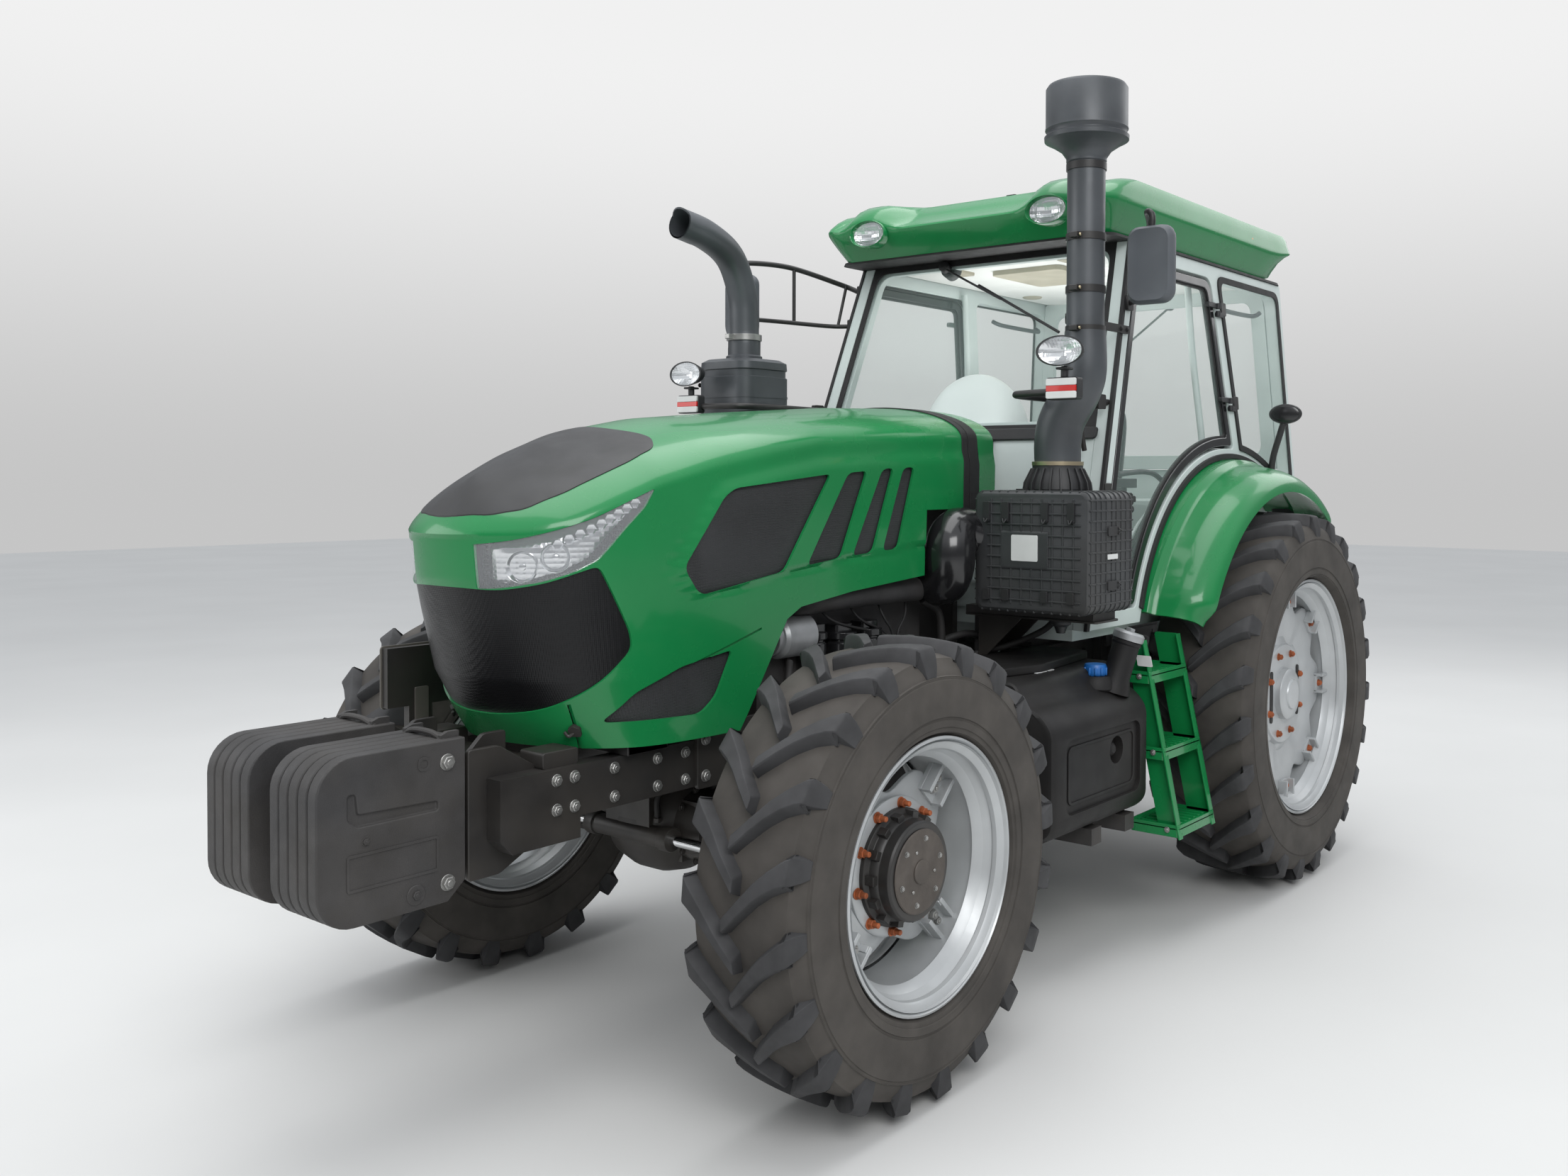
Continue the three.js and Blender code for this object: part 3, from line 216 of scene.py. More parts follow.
def lathe(profile, centre, axis="y", sides=48):
    """A (radius, along) profile turned round an axis through centre.

    A profile that starts or ends on the axis isn't joined up.
    """
    basis = {
        "x": (Vector((0, 1, 0)), Vector((0, 0, 1)), Vector((1, 0, 0))),
        "y": (Vector((0, 0, 1)), Vector((1, 0, 0)), Vector((0, 1, 0))),
        "z": (Vector((1, 0, 0)), Vector((0, 1, 0)), Vector((0, 0, 1))),
    }
    u, v, w = basis[axis] if isinstance(axis, str) else axis
    rings = []
    for a in turns(sides):
        rings.append([
            tuple(Vector(centre) + (u * math.cos(a) + v * math.sin(a)) * r + w * d) for r, d in profile
        ])
    return skin([*rings, rings[0]], closed=min(profile[0][0], profile[-1][0]) > 0, capped=False)


def facing(direction):
    """Axes for lathe() along a direction."""
    w = Vector(direction).normalized()
    u = w.cross(Vector((0, 0, 1)) if abs(w.z) < 0.9 else Vector((1, 0, 0))).normalized()
    return u, w.cross(u), w


def disc(centre, axis, radius, low, high, sides=32, bevel=2):
    return lathe([(0, low), (radius - bevel, low), (radius, low + bevel), (radius, high - bevel),
                  (radius - bevel, high), (0, high)], centre, axis, sides)


def bolt(at, direction, size, height=None):
    """A washer, a six-sided head and the end of its stud."""
    axes = facing(direction)
    h = height or size * 0.7
    return merge(
        disc(at, axes, size * 1.25, -1, size * 0.16, 16, size * 0.05),
        disc(at, axes, size, size * 0.1, h, 6, size * 0.12),
        disc(at, axes, size * 0.5, h * 0.9, h * 1.25, 10, size * 0.08),
    )


def around(shape, centre, count, start=0.0):
    """Copies of a shape turned about a line along y."""
    copies = []
    for k in range(count):
        a = start + 2 * math.pi * k / count
        c, s = math.cos(a), math.sin(a)
        copies.append(moved(shape, lambda x, y, z: (
            centre[0] + (x - centre[0]) * c + (z - centre[2]) * s, y,
            centre[2] - (x - centre[0]) * s + (z - centre[2]) * c)))
    return merge(*copies)


def ribs(low, high, count, width, make):
    """make(from, to) for each of count strips between two places."""
    pitch = (high - low - width) / (count - 1)
    return merge(*[make(low + i * pitch, low + i * pitch + width) for i in range(count)])


# ---- pieces --------------------------------------------------------------------------------------------


def drawn(name, shape, finish, sharp=35):
    """An object made from a shape, in metres, with its normals facing out."""
    mesh = bpy.data.meshes.new(name)
    verts = [(REAR_AXLE_X + x / 1000, y / 1000, z / 1000) for x, y, z in shape[0]]
    mesh.from_pydata(verts, [], shape[1])
    bm = bmesh.new()
    bm.from_mesh(mesh)
    bmesh.ops.remove_doubles(bm, verts=bm.verts, dist=1e-6)
    bmesh.ops.recalc_face_normals(bm, faces=bm.faces)
    bm.to_mesh(mesh)
    bm.free()
    made = bpy.data.objects.new(name, mesh)
    bpy.context.scene.collection.objects.link(made)
    mesh.materials.append(finish)
    shade(mesh, sharp)
    return made


def bevelled(made, width, segments=2, angle=40):
    """Rounds the edges of an object that are sharper than angle."""
    edge = made.modifiers.new("Bevel", "BEVEL")
    edge.width = width / 1000
    edge.segments = segments
    edge.limit_method = "ANGLE"
    edge.angle_limit = math.radians(angle)
    edge.harden_normals = True


def piece(name, shape, finish, body="root", slot=None, stands_for=(), bevel=0.0, sharp=35, segments=2):
    """A visible piece on a body.

    A slot is worked out, the one given, else that of the node it stands for, else its finish's, but it isn't
    kept on the piece.
    """
    made = drawn(name, shape, finish, sharp)
    if bevel:
        bevelled(made, bevel, segments)
    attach(made, body)
    slot = slot or (RECORD_SLOTS[stands_for[0]] if stands_for else SLOT_OF.get(finish))
    if stands_for:
        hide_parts(*stands_for)
    return made


def shade(mesh, sharp):
    mesh.shade_smooth()
    mesh.set_sharp_from_angle(angle=math.radians(sharp))


def applied(made):
    """Works an object's modifiers into its mesh."""
    graph = bpy.context.evaluated_depsgraph_get()
    mesh = bpy.data.meshes.new_from_object(made.evaluated_get(graph))
    made.modifiers.clear()
    made.data = mesh
    shade(mesh, 35)


def carve(made, *cutters, how="DIFFERENCE"):
    """Cuts the shapes out of an object, or keeps only what is in them."""
    for shape in cutters:
        tool = drawn("cutter", shape, made.data.materials[0])
        step = made.modifiers.new("Carve", "BOOLEAN")
        step.operation = how
        step.solver = "EXACT"
        step.object = tool
        applied(made)
        bpy.data.objects.remove(tool)
    return made


def loop(points, radius, count, sides=8):
    """A round bar along a smooth closed curve."""
    path = spline(points, count + 1, closed=True)[:-1]
    middle_point = Vector(path.mean(axis=0))
    rings = []
    for i, p in enumerate(path):
        ahead = Vector(path[(i + 1) % count] - path[i - 1]).normalized()
        out = (Vector(p) - middle_point).normalized()
        side = ahead.cross(out).normalized()
        out = side.cross(ahead)
        rings.append(circle(p, side, out, radius, sides))
    return skin([*rings, rings[0]], capped=False)


def ring_plate(outer, inner, low, high, plane="xz"):
    """The band between two outlines of equal length."""
    rings = [slab(line, w, w, plane)[0][:len(line)] for line, w in (
        (outer, low), (outer, high), (inner, high), (inner, low), (outer, low))]
    return skin(rings, capped=False)

# ---- finishes ------------------------------------------------------------------------------------------


DUST = (0.27, 0.23, 0.18, 1)


def added(tree, kind, inputs=(), **settings):
    """A new shader node. An input given another node's output is linked to it."""
    node = tree.nodes.new("ShaderNode" + kind)
    for name, value in settings.items():
        setattr(node, name, value)
    for socket, value in dict(inputs).items():
        if isinstance(value, bpy.types.NodeSocket):
            tree.links.new(value, node.inputs[socket])
        else:
            node.inputs[socket].default_value = value
    return node


def ranged(tree, value, low, high, out_low, out_high, **settings):
    return added(
        tree, "MapRange",
        {"Value": value, "From Min": low, "From Max": high, "To Min": out_low, "To Max": out_high}, **settings
    ).outputs["Result"]


def mixed(tree, factor, a, b):
    return added(tree, "Mix", {"Factor": factor, "A": a, "B": b}, data_type="RGBA").outputs["Result"]


def combined(tree, operation, a, b, clamp=False):
    return added(tree, "Math", {0: a, 1: b}, operation=operation, use_clamp=clamp).outputs[0]


def texture_place(tree):
    return added(tree, "TexCoord").outputs["Object"]


def finish(
    name, colour, roughness, metallic=0.0, grain=(400, 0.05), tint=(6, 0.06), rough_vary=0.06, dust=0.0,
    **sockets,
):
    """A material with fine grain in its bump, mottled colour and roughness, and dust towards the ground."""
    mat = bpy.data.materials.new(name)
    mat.use_nodes = True
    tree = mat.node_tree
    link = tree.links.new
    shader = tree.nodes["Principled BSDF"]
    place = texture_place(tree)

    def noise(scale, detail):
        return added(tree, "TexNoise", {"Scale": scale, "Detail": detail, "Vector": place}).outputs["Fac"]

    scale, amount = tint
    shades = [(*(min(1, c * (1 + s * amount)) for c in colour), 1) for s in (-2, 2)]
    base = mixed(tree, ranged(tree, noise(scale, 4), 0.3, 0.7, 0, 1), *shades)
    rough = ranged(tree, noise(scale * 2.3, 5), 0.3, 0.7, roughness - rough_vary, roughness + rough_vary)
    if dust:
        height = added(tree, "SeparateXYZ", {0: place}).outputs["Z"]
        low = ranged(tree, height, 0.1, 2.2, dust, dust * 0.25)
        patch = combined(tree, "MULTIPLY", low, ranged(tree, noise(3.5, 8), 0.35, 0.7, 0.25, 1))
        base = mixed(tree, patch, base, DUST)
        rough = combined(tree, "ADD", rough, ranged(tree, patch, 0, 1, 0, 0.5), clamp=True)
    link(base, shader.inputs["Base Color"])
    link(rough, shader.inputs["Roughness"])
    shader.inputs["Metallic"].default_value = metallic
    if grain[1]:
        bump = added(tree, "Bump", {"Strength": grain[1], "Distance": 0.002, "Height": noise(grain[0], 2)})
        link(bump.outputs["Normal"], shader.inputs["Normal"])
    for socket, value in sockets.items():
        shader.inputs[socket.replace("_", " ")].default_value = value
    return mat


def patterned(mat, kind, scale, strength, dark=None):
    """Adds a second, regular relief to a finish: a mesh or a weave. Given dark, the mesh's holes are painted
    near black, a painted shade for the space behind them.
    """
    tree = mat.node_tree
    link = tree.links.new
    shader = tree.nodes["Principled BSDF"]
    place = texture_place(tree)

    def wave(direction):
        return added(
            tree, "TexWave", {"Scale": scale, "Vector": place}, bands_direction=direction
        ).outputs["Fac"]

    if kind == "mesh":
        value = added(
            tree, "TexVoronoi", {"Scale": scale, "Randomness": 0.0, "Vector": place}
        ).outputs["Distance"]
    else:
        value = combined(tree, "MULTIPLY", wave("Z"), wave("DIAGONAL"))
    bump = added(tree, "Bump", {"Strength": strength, "Distance": 0.004, "Height": value})
    if shader.inputs["Normal"].is_linked:
        link(shader.inputs["Normal"].links[0].from_socket, bump.inputs["Normal"])
    link(bump.outputs["Normal"], shader.inputs["Normal"])
    if dark:
        # painted shade: the mesh's holes are painted near black, where the space behind them is in shade
        painted_hole_shade = ranged(tree, value, *dark, 0, 1)
        painted = shader.inputs["Base Color"].links[0].from_socket
        link(mixed(tree, painted_hole_shade, (0.002, 0.002, 0.002, 1), painted), shader.inputs["Base Color"])
    return mat


GREEN = finish(
    "green_paint", (0.008, 0.205, 0.056), 0.26, grain=(700, 0.015), tint=(2.5, 0.03), rough_vary=0.04,
    Specular_IOR_Level=0.32, Coat_Weight=0.45, Coat_Roughness=0.08
)
BLACK_PAINT = finish("black_paint", (0.014, 0.014, 0.015), 0.42, grain=(500, 0.05), tint=(5, 0.15), dust=0.16)
CAST_IRON = finish("cast_iron", (0.028, 0.028, 0.030), 0.6, grain=(260, 0.35), tint=(9, 0.14), dust=0.14)
STEEL = finish("zinc_steel", (0.36, 0.36, 0.35), 0.38, 0.85, grain=(300, 0.06), tint=(14, 0.1), dust=0.12)
RUSTY = finish("orange_nut", (0.36, 0.10, 0.035), 0.62, 0.15, grain=(500, 0.3), tint=(30, 0.22))
RUBBER = finish("tyre_rubber", (0.036, 0.036, 0.038), 0.72, grain=(380, 0.12), tint=(11, 0.14))
TYRE_WALL = finish("tyre_sidewall", (0.058, 0.052, 0.046), 0.8, grain=(300, 0.12), tint=(7, 0.14))
SILVER = finish("silver_paint", (0.50, 0.52, 0.53), 0.36, 0.35, grain=(500, 0.04), tint=(5, 0.05), dust=0.10,
                Coat_Weight=0.15)
PLASTIC = finish("black_plastic", (0.018, 0.019, 0.021), 0.46, grain=(900, 0.22), tint=(6, 0.1), dust=0.08)
STACK_GREY = finish(
    "stack_paint", (0.070, 0.077, 0.085), 0.40, 0.25, grain=(500, 0.06), tint=(4, 0.12), dust=0.08
)
CLEANER_BLACK = finish(
    "cleaner_plastic", (0.034, 0.037, 0.040), 0.44, grain=(900, 0.2), tint=(6, 0.1), dust=0.1
)
MIRROR_GREY = finish(
    "mirror_plastic", (0.088, 0.098, 0.110), 0.52, grain=(900, 0.15), tint=(5, 0.06), dust=0.05
)
WHEEL_GREY = finish("wheel_grip", (0.30, 0.34, 0.35), 0.5, grain=(900, 0.15), tint=(5, 0.05))
BRASS = finish("clamp_metal", (0.52, 0.44, 0.30), 0.32, 0.9, grain=(400, 0.05), tint=(9, 0.06))
GLOSS_BLACK = finish(
    "gloss_black", (0.012, 0.012, 0.013), 0.2, grain=(600, 0.02), tint=(4, 0.1), Coat_Weight=0.4,
    Coat_Roughness=0.1
)
TANK_PLASTIC = finish("tank_plastic", (0.009, 0.009, 0.010), 0.5, grain=(700, 0.28), tint=(5, 0.1), dust=0.05,
                      Specular_IOR_Level=0.3)
# vent and grille meshes: the last pair of numbers sets where their holes get painted shade
VENT = patterned(
    finish("vent_mesh", (0.030, 0.031, 0.033), 0.5, grain=(900, 0.05)), "mesh", 260, 0.6, (0.12, 0.4)
)
GRILLE = patterned(
    finish(
        "grille_black", (0.006, 0.006, 0.007), 0.34, grain=(700, 0.04), Specular_IOR_Level=0.3,
        Coat_Weight=0.06, Coat_Roughness=0.2
    ),
    "mesh", 190, 0.35, (0.08, 0.3)
)
SEAL = finish("rubber_seal", (0.012, 0.012, 0.013), 0.62, grain=(500, 0.15), tint=(9, 0.1), dust=0.06)
PALE = finish("pale_trim", (0.58, 0.65, 0.63), 0.5, grain=(700, 0.12), tint=(3, 0.03))
WHITE_PLASTIC = finish("white_plastic", (0.84, 0.89, 0.87), 0.42, grain=(800, 0.1), tint=(3, 0.02))
HEADLINER = finish("headliner", (0.84, 0.85, 0.82), 0.85, grain=(900, 0.3), tint=(5, 0.03))
FABRIC = patterned(finish("seat_fabric", (0.020, 0.021, 0.024), 0.9, grain=(1200, 0.3), tint=(16, 0.2),
                          Sheen_Weight=0.35, Sheen_Roughness=0.5), "weave", 160, 0.35)
FLOOR_MAT = patterned(finish("floor_mat", (0.03, 0.03, 0.032), 0.8, grain=(700, 0.2)), "mesh", 60, 0.5)
CHROME = finish("chrome", (0.78, 0.79, 0.80), 0.10, 1.0, grain=(600, 0.01), tint=(9, 0.02), rough_vary=0.03)
REFLECTOR = patterned(finish("reflector", (0.80, 0.81, 0.82), 0.16, 1.0, grain=(600, 0.02), tint=(9, 0.02)),
                      "mesh", 70, 0.3)
ALUMINIUM = finish("cast_aluminium", (0.42, 0.43, 0.44), 0.5, 0.8, grain=(350, 0.2), tint=(12, 0.08))
PLATE_GREY = finish("plate_paint", (0.115, 0.108, 0.095), 0.55, grain=(400, 0.1), tint=(5, 0.08), dust=0.1)
RED = finish("red_lens", (0.55, 0.012, 0.008), 0.25, grain=(500, 0.02), Coat_Weight=0.5)
AMBER = finish("amber_lens", (0.72, 0.20, 0.01), 0.25, grain=(500, 0.02), Coat_Weight=0.5)
BLUE_CAP = finish("blue_cap", (0.015, 0.13, 0.42), 0.4, grain=(600, 0.1))
YELLOW = finish("yellow_plate", (0.62, 0.42, 0.03), 0.45, grain=(500, 0.05))
WHITE_PLATE = finish("white_plate", (0.66, 0.67, 0.66), 0.45, grain=(500, 0.05), tint=(8, 0.03))
HUB_COVER = finish("hub_cover", (0.085, 0.072, 0.062), 0.55, 0.2, grain=(300, 0.2), tint=(14, 0.12))
BEIGE = finish("beige_liner", (0.42, 0.39, 0.30), 0.7, grain=(500, 0.2), tint=(5, 0.1))


def glassy(name, colour, roughness, alpha):
    """Thin glazing: mostly see-through, with a surface gloss."""
    mat = finish(
        name, colour, roughness, grain=(3, 0.0), tint=(2, 0.02), rough_vary=0.01, Alpha=alpha, IOR=1.45
    )
    mat.surface_render_method = "BLENDED"
    return mat


GLASS = glassy("cab_glass", (0.50, 0.64, 0.60), 0.05, 0.10)
LENS = glassy("lamp_lens", (0.86, 0.89, 0.92), 0.06, 0.12)

SLOT_OF = {
    look: slot for slot,
    looks in (
        (
            "black_plastic",
            (PLASTIC, GLOSS_BLACK, TANK_PLASTIC, VENT, WHITE_PLATE, BLUE_CAP, YELLOW, FLOOR_MAT)
        ),
        ("black_paint", (BLACK_PAINT, STACK_GREY)), ("tyre", (SEAL, RUBBER)),
        ("cast_iron", (CAST_IRON, HUB_COVER)), ("steel", (STEEL, ALUMINIUM, BRASS, PLATE_GREY, RUSTY)),
        ("cab_trim", (PALE, WHITE_PLASTIC, HEADLINER)), ("lens", (LENS, REFLECTOR, AMBER, RED)),
        ("glass", (GLASS,)), ("rim_paint", (SILVER,))
    ) for look in looks
}

# ---- studio --------------------------------------------------------------------------------------------


CAMERA = dict(
    at=(4.2405, 3.187, 1.744), yaw=217.23, pitch=1.29, roll=0.23, lens=30.6, shift=(-0.0714, -0.0513)
)
# place, target, size and power of each soft light
LIGHTS = {
    "key": ((5.5, 6.5, 6.5), (0, 0, 1.2), (5, 4), 380),
    "sky": ((0, 0, 8.5), (0, 0, 0), (9, 6), 380),
    "fill": ((6.5, -5.5, 3.5), (0.5, 0, 1.2), (5, 4), 130),
    "rear": ((-8, 2, 5.5), (-1, 0, 1.5), (5, 4), 90),
    "cabin": ((-1.15, 0, 2.2), (-1.15, 0, 3), (1.0, 0.9), 7),
}


def make_camera():
    """The photograph's camera, as fitted to the rims, the hood and the cab."""
    yaw, pitch, roll = (math.radians(CAMERA[k]) for k in ("yaw", "pitch", "roll"))
    ahead = Vector((math.cos(yaw) * math.cos(pitch), math.sin(yaw) * math.cos(pitch), -math.sin(pitch)))
    right = ahead.cross(Vector((0, 0, 1))).normalized()
    up = right.cross(ahead)
    right, up = (right * math.cos(roll) + up * math.sin(roll), up * math.cos(roll) - right * math.sin(roll))
    data = bpy.data.cameras.new("camera")
    data.lens, data.sensor_width, data.clip_end = CAMERA["lens"], 36, 200
    data.shift_x, data.shift_y = CAMERA["shift"]
    camera = bpy.data.objects.new("camera", data)
    bpy.context.scene.collection.objects.link(camera)
    camera.matrix_world = Matrix((
        *((right[i], up[i], -ahead[i], CAMERA["at"][i]) for i in range(3)), (0, 0, 0, 1)))
    bpy.context.scene.camera = camera


def soft_box(name, place, target, size, power):
    data = bpy.data.lights.new(name, "AREA")
    data.shape, data.size, data.size_y, data.energy = "RECTANGLE", *size, power
    lamp = bpy.data.objects.new(name, data)
    bpy.context.scene.collection.objects.link(lamp)
    lamp.location = place
    lamp.visible_camera = False
    lamp.rotation_euler = (Vector(target) - Vector(place)).to_track_quat("-Z", "Y").to_euler()


def make_studio():
    scene = bpy.context.scene
    scene.view_settings.view_transform = "Standard"
    world = bpy.data.worlds.new("studio")
    scene.world = world
    world.use_nodes = True
    tree = world.node_tree
    light = tree.nodes["Background"]
    light.inputs["Color"].default_value = (0.93, 0.96, 1.0, 1)
    height = added(tree, "SeparateXYZ", {0: added(tree, "TexCoord").outputs["Generated"]}).outputs["Z"]
    smooth = dict(interpolation_type="SMOOTHSTEP")
    tree.links.new(ranged(tree, height, -0.05, 0.75, 0.16, 0.95, **smooth), light.inputs["Strength"])
    seen = added(tree, "Background", {"Color": ranged(tree, height, -0.02, 0.3, 0.56, 0.88, **smooth)})
    from_camera = added(tree, "LightPath").outputs["Is Camera Ray"]
    pick = added(tree, "MixShader", {0: from_camera, 1: light.outputs[0], 2: seen.outputs[0]})
    tree.links.new(pick.outputs[0], tree.nodes["World Output"].inputs["Surface"])
    for name, light in LIGHTS.items():
        soft_box(name, *light)
    floor = piece(
        "floor", slab([(-30000, -30000), (30000, -30000), (30000, 30000), (-30000, 30000)], -40, 0, "xy"),
        finish("studio_floor", (0.62, 0.62, 0.61), 0.75, grain=(90, 0.05), tint=(0.6, 0.012))
    )


make_camera()
make_studio()

# ---- wheels: drawn about their own centre, with the outer side towards +y ------------------------------

FRONT = {
    "name": "front", "radius": 650, "track": 900, "section": 185, "tread": 168, "rim_half": 172,
    "flange": 381, "seat": 356, "well": 322, "lugs": 20, "lug_high": 36, "sweep": 13.5, "lug_half": (17, 33),
    "disc": -6
}
REAR = {
    "name": "rear", "radius": 800, "track": 925, "section": 225, "tread": 205, "rim_half": 193, "flange": 508,
    "seat": 483, "well": 445, "lugs": 23, "lug_high": 42, "sweep": 13.0, "lug_half": (19, 37), "disc": 70,
}
WHEEL_AT = {"front": WHEELBASE, "rear": 0.0}
HUB = (0, 0, 0)
OUT = (0, 1, 0)


def carcass(w):
    """Sidewalls with their moulded rings, shoulders and the tread's floor between the lugs."""
    r, s, t, h = w["radius"], w["section"], w["tread"], w["lug_high"]
    low, mid = w["flange"], (w["flange"] + r) / 2
    half = [
        (w["seat"] + 1, w["rim_half"] - 26), (low + 2, w["rim_half"] - 16), (low + 9, w["rim_half"] - 6),
        (low + 12, w["rim_half"] + 3), (low + 20, s - 9), (low + 24, s - 9), (low + 26, s - 5),
        (low + 44, s - 3), (low + 46, s - 6), (low + 52, s - 6), (low + 54, s - 2), (mid, s - 1),
        (mid + 22, s - 2), (mid + 24, s - 5), (mid + 30, s - 5), (mid + 32, s - 3), (r - 100, s - 8),
        (r - 82, s - 14), (r - 64, s - 26), (r - h - 18, t - 12), (r - h - 9, t * 0.72), (r - h - 3, t * 0.4),
        (r - h, 0)
    ]
    return lathe(half + [(r, -y) for r, y in half[-2::-1]], HUB, "y", 120)


def lug(w, turn, side):
    """One bar of the tread, from past the middle out over the shoulder and down the sidewall."""
    r, s, t, h = w["radius"], w["section"], w["tread"], w["lug_high"]
    thin, wide = w["lug_half"]
    # across y, top radius, foot radius, half width, share of the sweep
    stations = [
        (-16, r - 2, r - h - 4, thin * 0.8, -0.05), (-13, r, r - h - 4, thin, -0.03),
        (0.22 * t, r - 1, r - h - 6, thin + 2, 0.25), (0.45 * t, r - 3, r - h - 8, thin + 5, 0.5),
        (0.68 * t, r - 6, r - h - 12, (thin + wide) / 2, 0.73),
        (0.88 * t, r - 10, r - h - 18, wide - 4, 0.91), (t - 3, r - 15, r - h - 26, wide, 1.0),
        (t + 4, r - 21, r - h - 34, wide, 1.03), (t + 9, r - 46, r - 74, wide - 2, 1.06),
        (s - 5, r - 70, r - 92, wide - 5, 1.08), (s - 4, r - 96, r - 112, wide - 11, 1.10),
        (s - 7, r - 108, r - 116, wide - 16, 1.11)
    ]
    rings = []
    for y, top, foot, half, share in stations:
        ahead = turn + math.radians(w["sweep"]) * (1.25 * share - 0.25 * share * share)
        inward = 26 if y > t else 0
        section = [
            (half + 15, foot, -inward), (half + 3, top - 5, 0), (half - 2, top, 0), (-half + 2, top, 0),
            (-half - 3, top - 5, 0), (-half - 13, foot, -inward),
        ]
        rings.append([
            (rad * math.cos(ahead + across / r), side * (y + dy), rad * math.sin(ahead + across / r))
            for across, rad, dy in section
        ])
    return skin(rings)


def make_tyre(w, side):
    """Bars meet the ground with their middle end first when the tractor drives forward."""
    pitch = 2 * math.pi / w["lugs"]
    bars = [
        lug(w, k * pitch + (0 if half > 0 else pitch / 2), half)
        for k in range(w["lugs"]) for half in (1, -1)
    ]
    name = f"{w['name']}_{side}"
    at = (WHEEL_AT[w["name"]], (1 if side == "left" else -1) * w["track"], w["radius"])
    body = f"wheel_{name}"
    piece(
        f"tyre_{name}", shifted(carcass(w), *at), TYRE_WALL, body, stands_for=[f"{w['name']}_tyre_{side}"],
        sharp=24
    )
    piece(f"tread_{name}", shifted(merge(*bars), *at), RUBBER, body, bevel=3, sharp=40)


def barrel(w):
    """The rim's stepped outer edge, bead seat and drop centre."""
    f, seat, well, half = w["flange"], w["seat"], w["well"], w["rim_half"]
    outer = [
        (f - 7, half), (f, half - 3), (f, half - 9), (seat + 9, half - 13), (seat + 1, half - 22),
        (seat - 1, half - 60), (well + 16, half - 74), (well, half - 95)
    ]
    inner = [
        (well - 8, half - 92), (well + 8, half - 66), (seat - 12, half - 54), (seat - 9, half - 40),
        (seat - 15, half - 36), (seat - 12, half - 24), (seat - 6, half - 18), (f - 18, half - 10),
        (f - 15, half - 2)
    ]
    section = outer + [(r, -y) for r, y in outer[::-1]] + [(r, -y) for r, y in inner] + inner[::-1]
    return lathe(section, HUB, "y", 96)


def star(radius_out, radius_in, arms, share, turn=0.0):
    """Outline of a disc whose edge reaches out at each arm."""
    points = []
    for a in turns(96):
        phase = abs(((a - turn) * arms / (2 * math.pi) + 0.5) % 1 - 0.5) * 2
        reach = 1 - min(1.0, max(0.0, (phase - share) / (1 - share)))
        reach = reach * reach * (3 - 2 * reach)
        r = radius_in + (radius_out - radius_in) * reach
        points.append((r * math.cos(a), r * math.sin(a)))
    return points


def front_disc(w):
    """A four-armed plate, dished towards its middle, bolted to brackets on the barrel."""
    face = w["disc"]
    outline = star(w["well"] - 36, 205, 4, 0.22, turn=math.pi / 4)
    rings = []
    for scale, y in ((1.0, 0), (1.0, 12), (0.97, 16), (0.86, 17), (0.72, 24), (0.66, 34), (0.50, 38)):
        rings.append([(x * scale, face + y, z * scale) for x, z in outline])
    plate = skin(rings, capped=False)
    hub_ring = lathe(
        [
            (120, face + 22), (190, face + 22), (196, face + 26), (196, face + 34), (186, face + 40),
            (120, face + 40)
        ],
        HUB, "y", 64
    )
    inside, outside = w["well"] - 92, w["well"] + 2
    bracket = merge(
        box(inside, outside, face + 14, face + 30, -46, 46),
        box(inside, inside + 22, face + 14, face + 58, -40, -26),
        box(inside, outside, face + 20, face + 62, 30, 44),
        box(inside, outside, face + 20, face + 62, -44, -30)
    )
    brackets = merge(*[around(bracket, HUB, 1, math.pi / 4 + k * math.pi / 2) for k in range(4)])
    bolts = around(
        merge(
            bolt((w["well"] - 58, face + 30, 0), OUT, 15, 16),
            bolt((w["well"] - 24, face + 30, 0), OUT, 12, 12)
        ),
        HUB, 4, math.pi / 4
    )
    return merge(plate, hub_ring, brackets), bolts


def front_hub(w):
    """The black ribbed drum of the reduction hub, its cover and the nuts round its foot."""
    face = w["disc"]
    drum = lathe(
        [
            (0, face + 30), (166, face + 30), (166, face + 52), (150, face + 60), (146, face + 80),
            (140, face + 86), (140, face + 116), (134, face + 122), (0, face + 122)
        ],
        HUB, "y", 72
    )
    teeth = around(box(128, 160, face + 50, face + 84, -13, 13), HUB, 14)
    cover = disc((0, face + 121, 0), "y", 118, 0, 7, 64, 3)
    boss = disc((0, face + 127, 0), "y", 34, 0, 5, 40, 2)
    cover_bolts = merge(
        around(bolt((92, face + 127, 0), OUT, 7, 6), HUB, 6, 0.3),
        around(bolt((62, face + 127, 0), OUT, 5, 4), HUB, 3, 0.9))
    nuts = around(
        merge(bolt((178, face + 40, 0), OUT, 13, 16), disc((178, face + 40, 0), "y", 8, 0, 34, 12, 2)), HUB,
        10, 0.2
    )
    return merge(drum, teeth), merge(cover, boss), cover_bolts, nuts


def rear_disc(w):
    """The dished plate of the rear wheel with its bolted middle and its rim lugs."""
    face = w["disc"]
    outline = star(w["well"] + 2, w["well"] - 74, 8, 0.30)
    rings = []
    for scale, y in (
        (1.0, -14), (1.0, 2), (0.985, 8), (0.90, 12), (0.70, 2), (0.56, -6), (0.52, 4), (0.30, 14)
    ):
        rings.append([(x * scale, face + y, z * scale) for x, z in outline])
    plate = skin(rings, capped=False)
    centre = lathe(
        [(0, face - 12), (222, face - 12), (226, face - 4), (214, face + 14), (0, face + 16)], HUB, "y", 72
    )
    lugs = around(merge(box(w["well"] - 66, w["well"] + 4, face + 4, face + 22, -40, 40),
                        box(w["well"] - 66, w["well"] + 4, face + 10, face + 50, -44, -32),
                        box(w["well"] - 66, w["well"] + 4, face + 10, face + 50, 32, 44)), HUB, 8, 0)
    return merge(plate, centre, lugs)


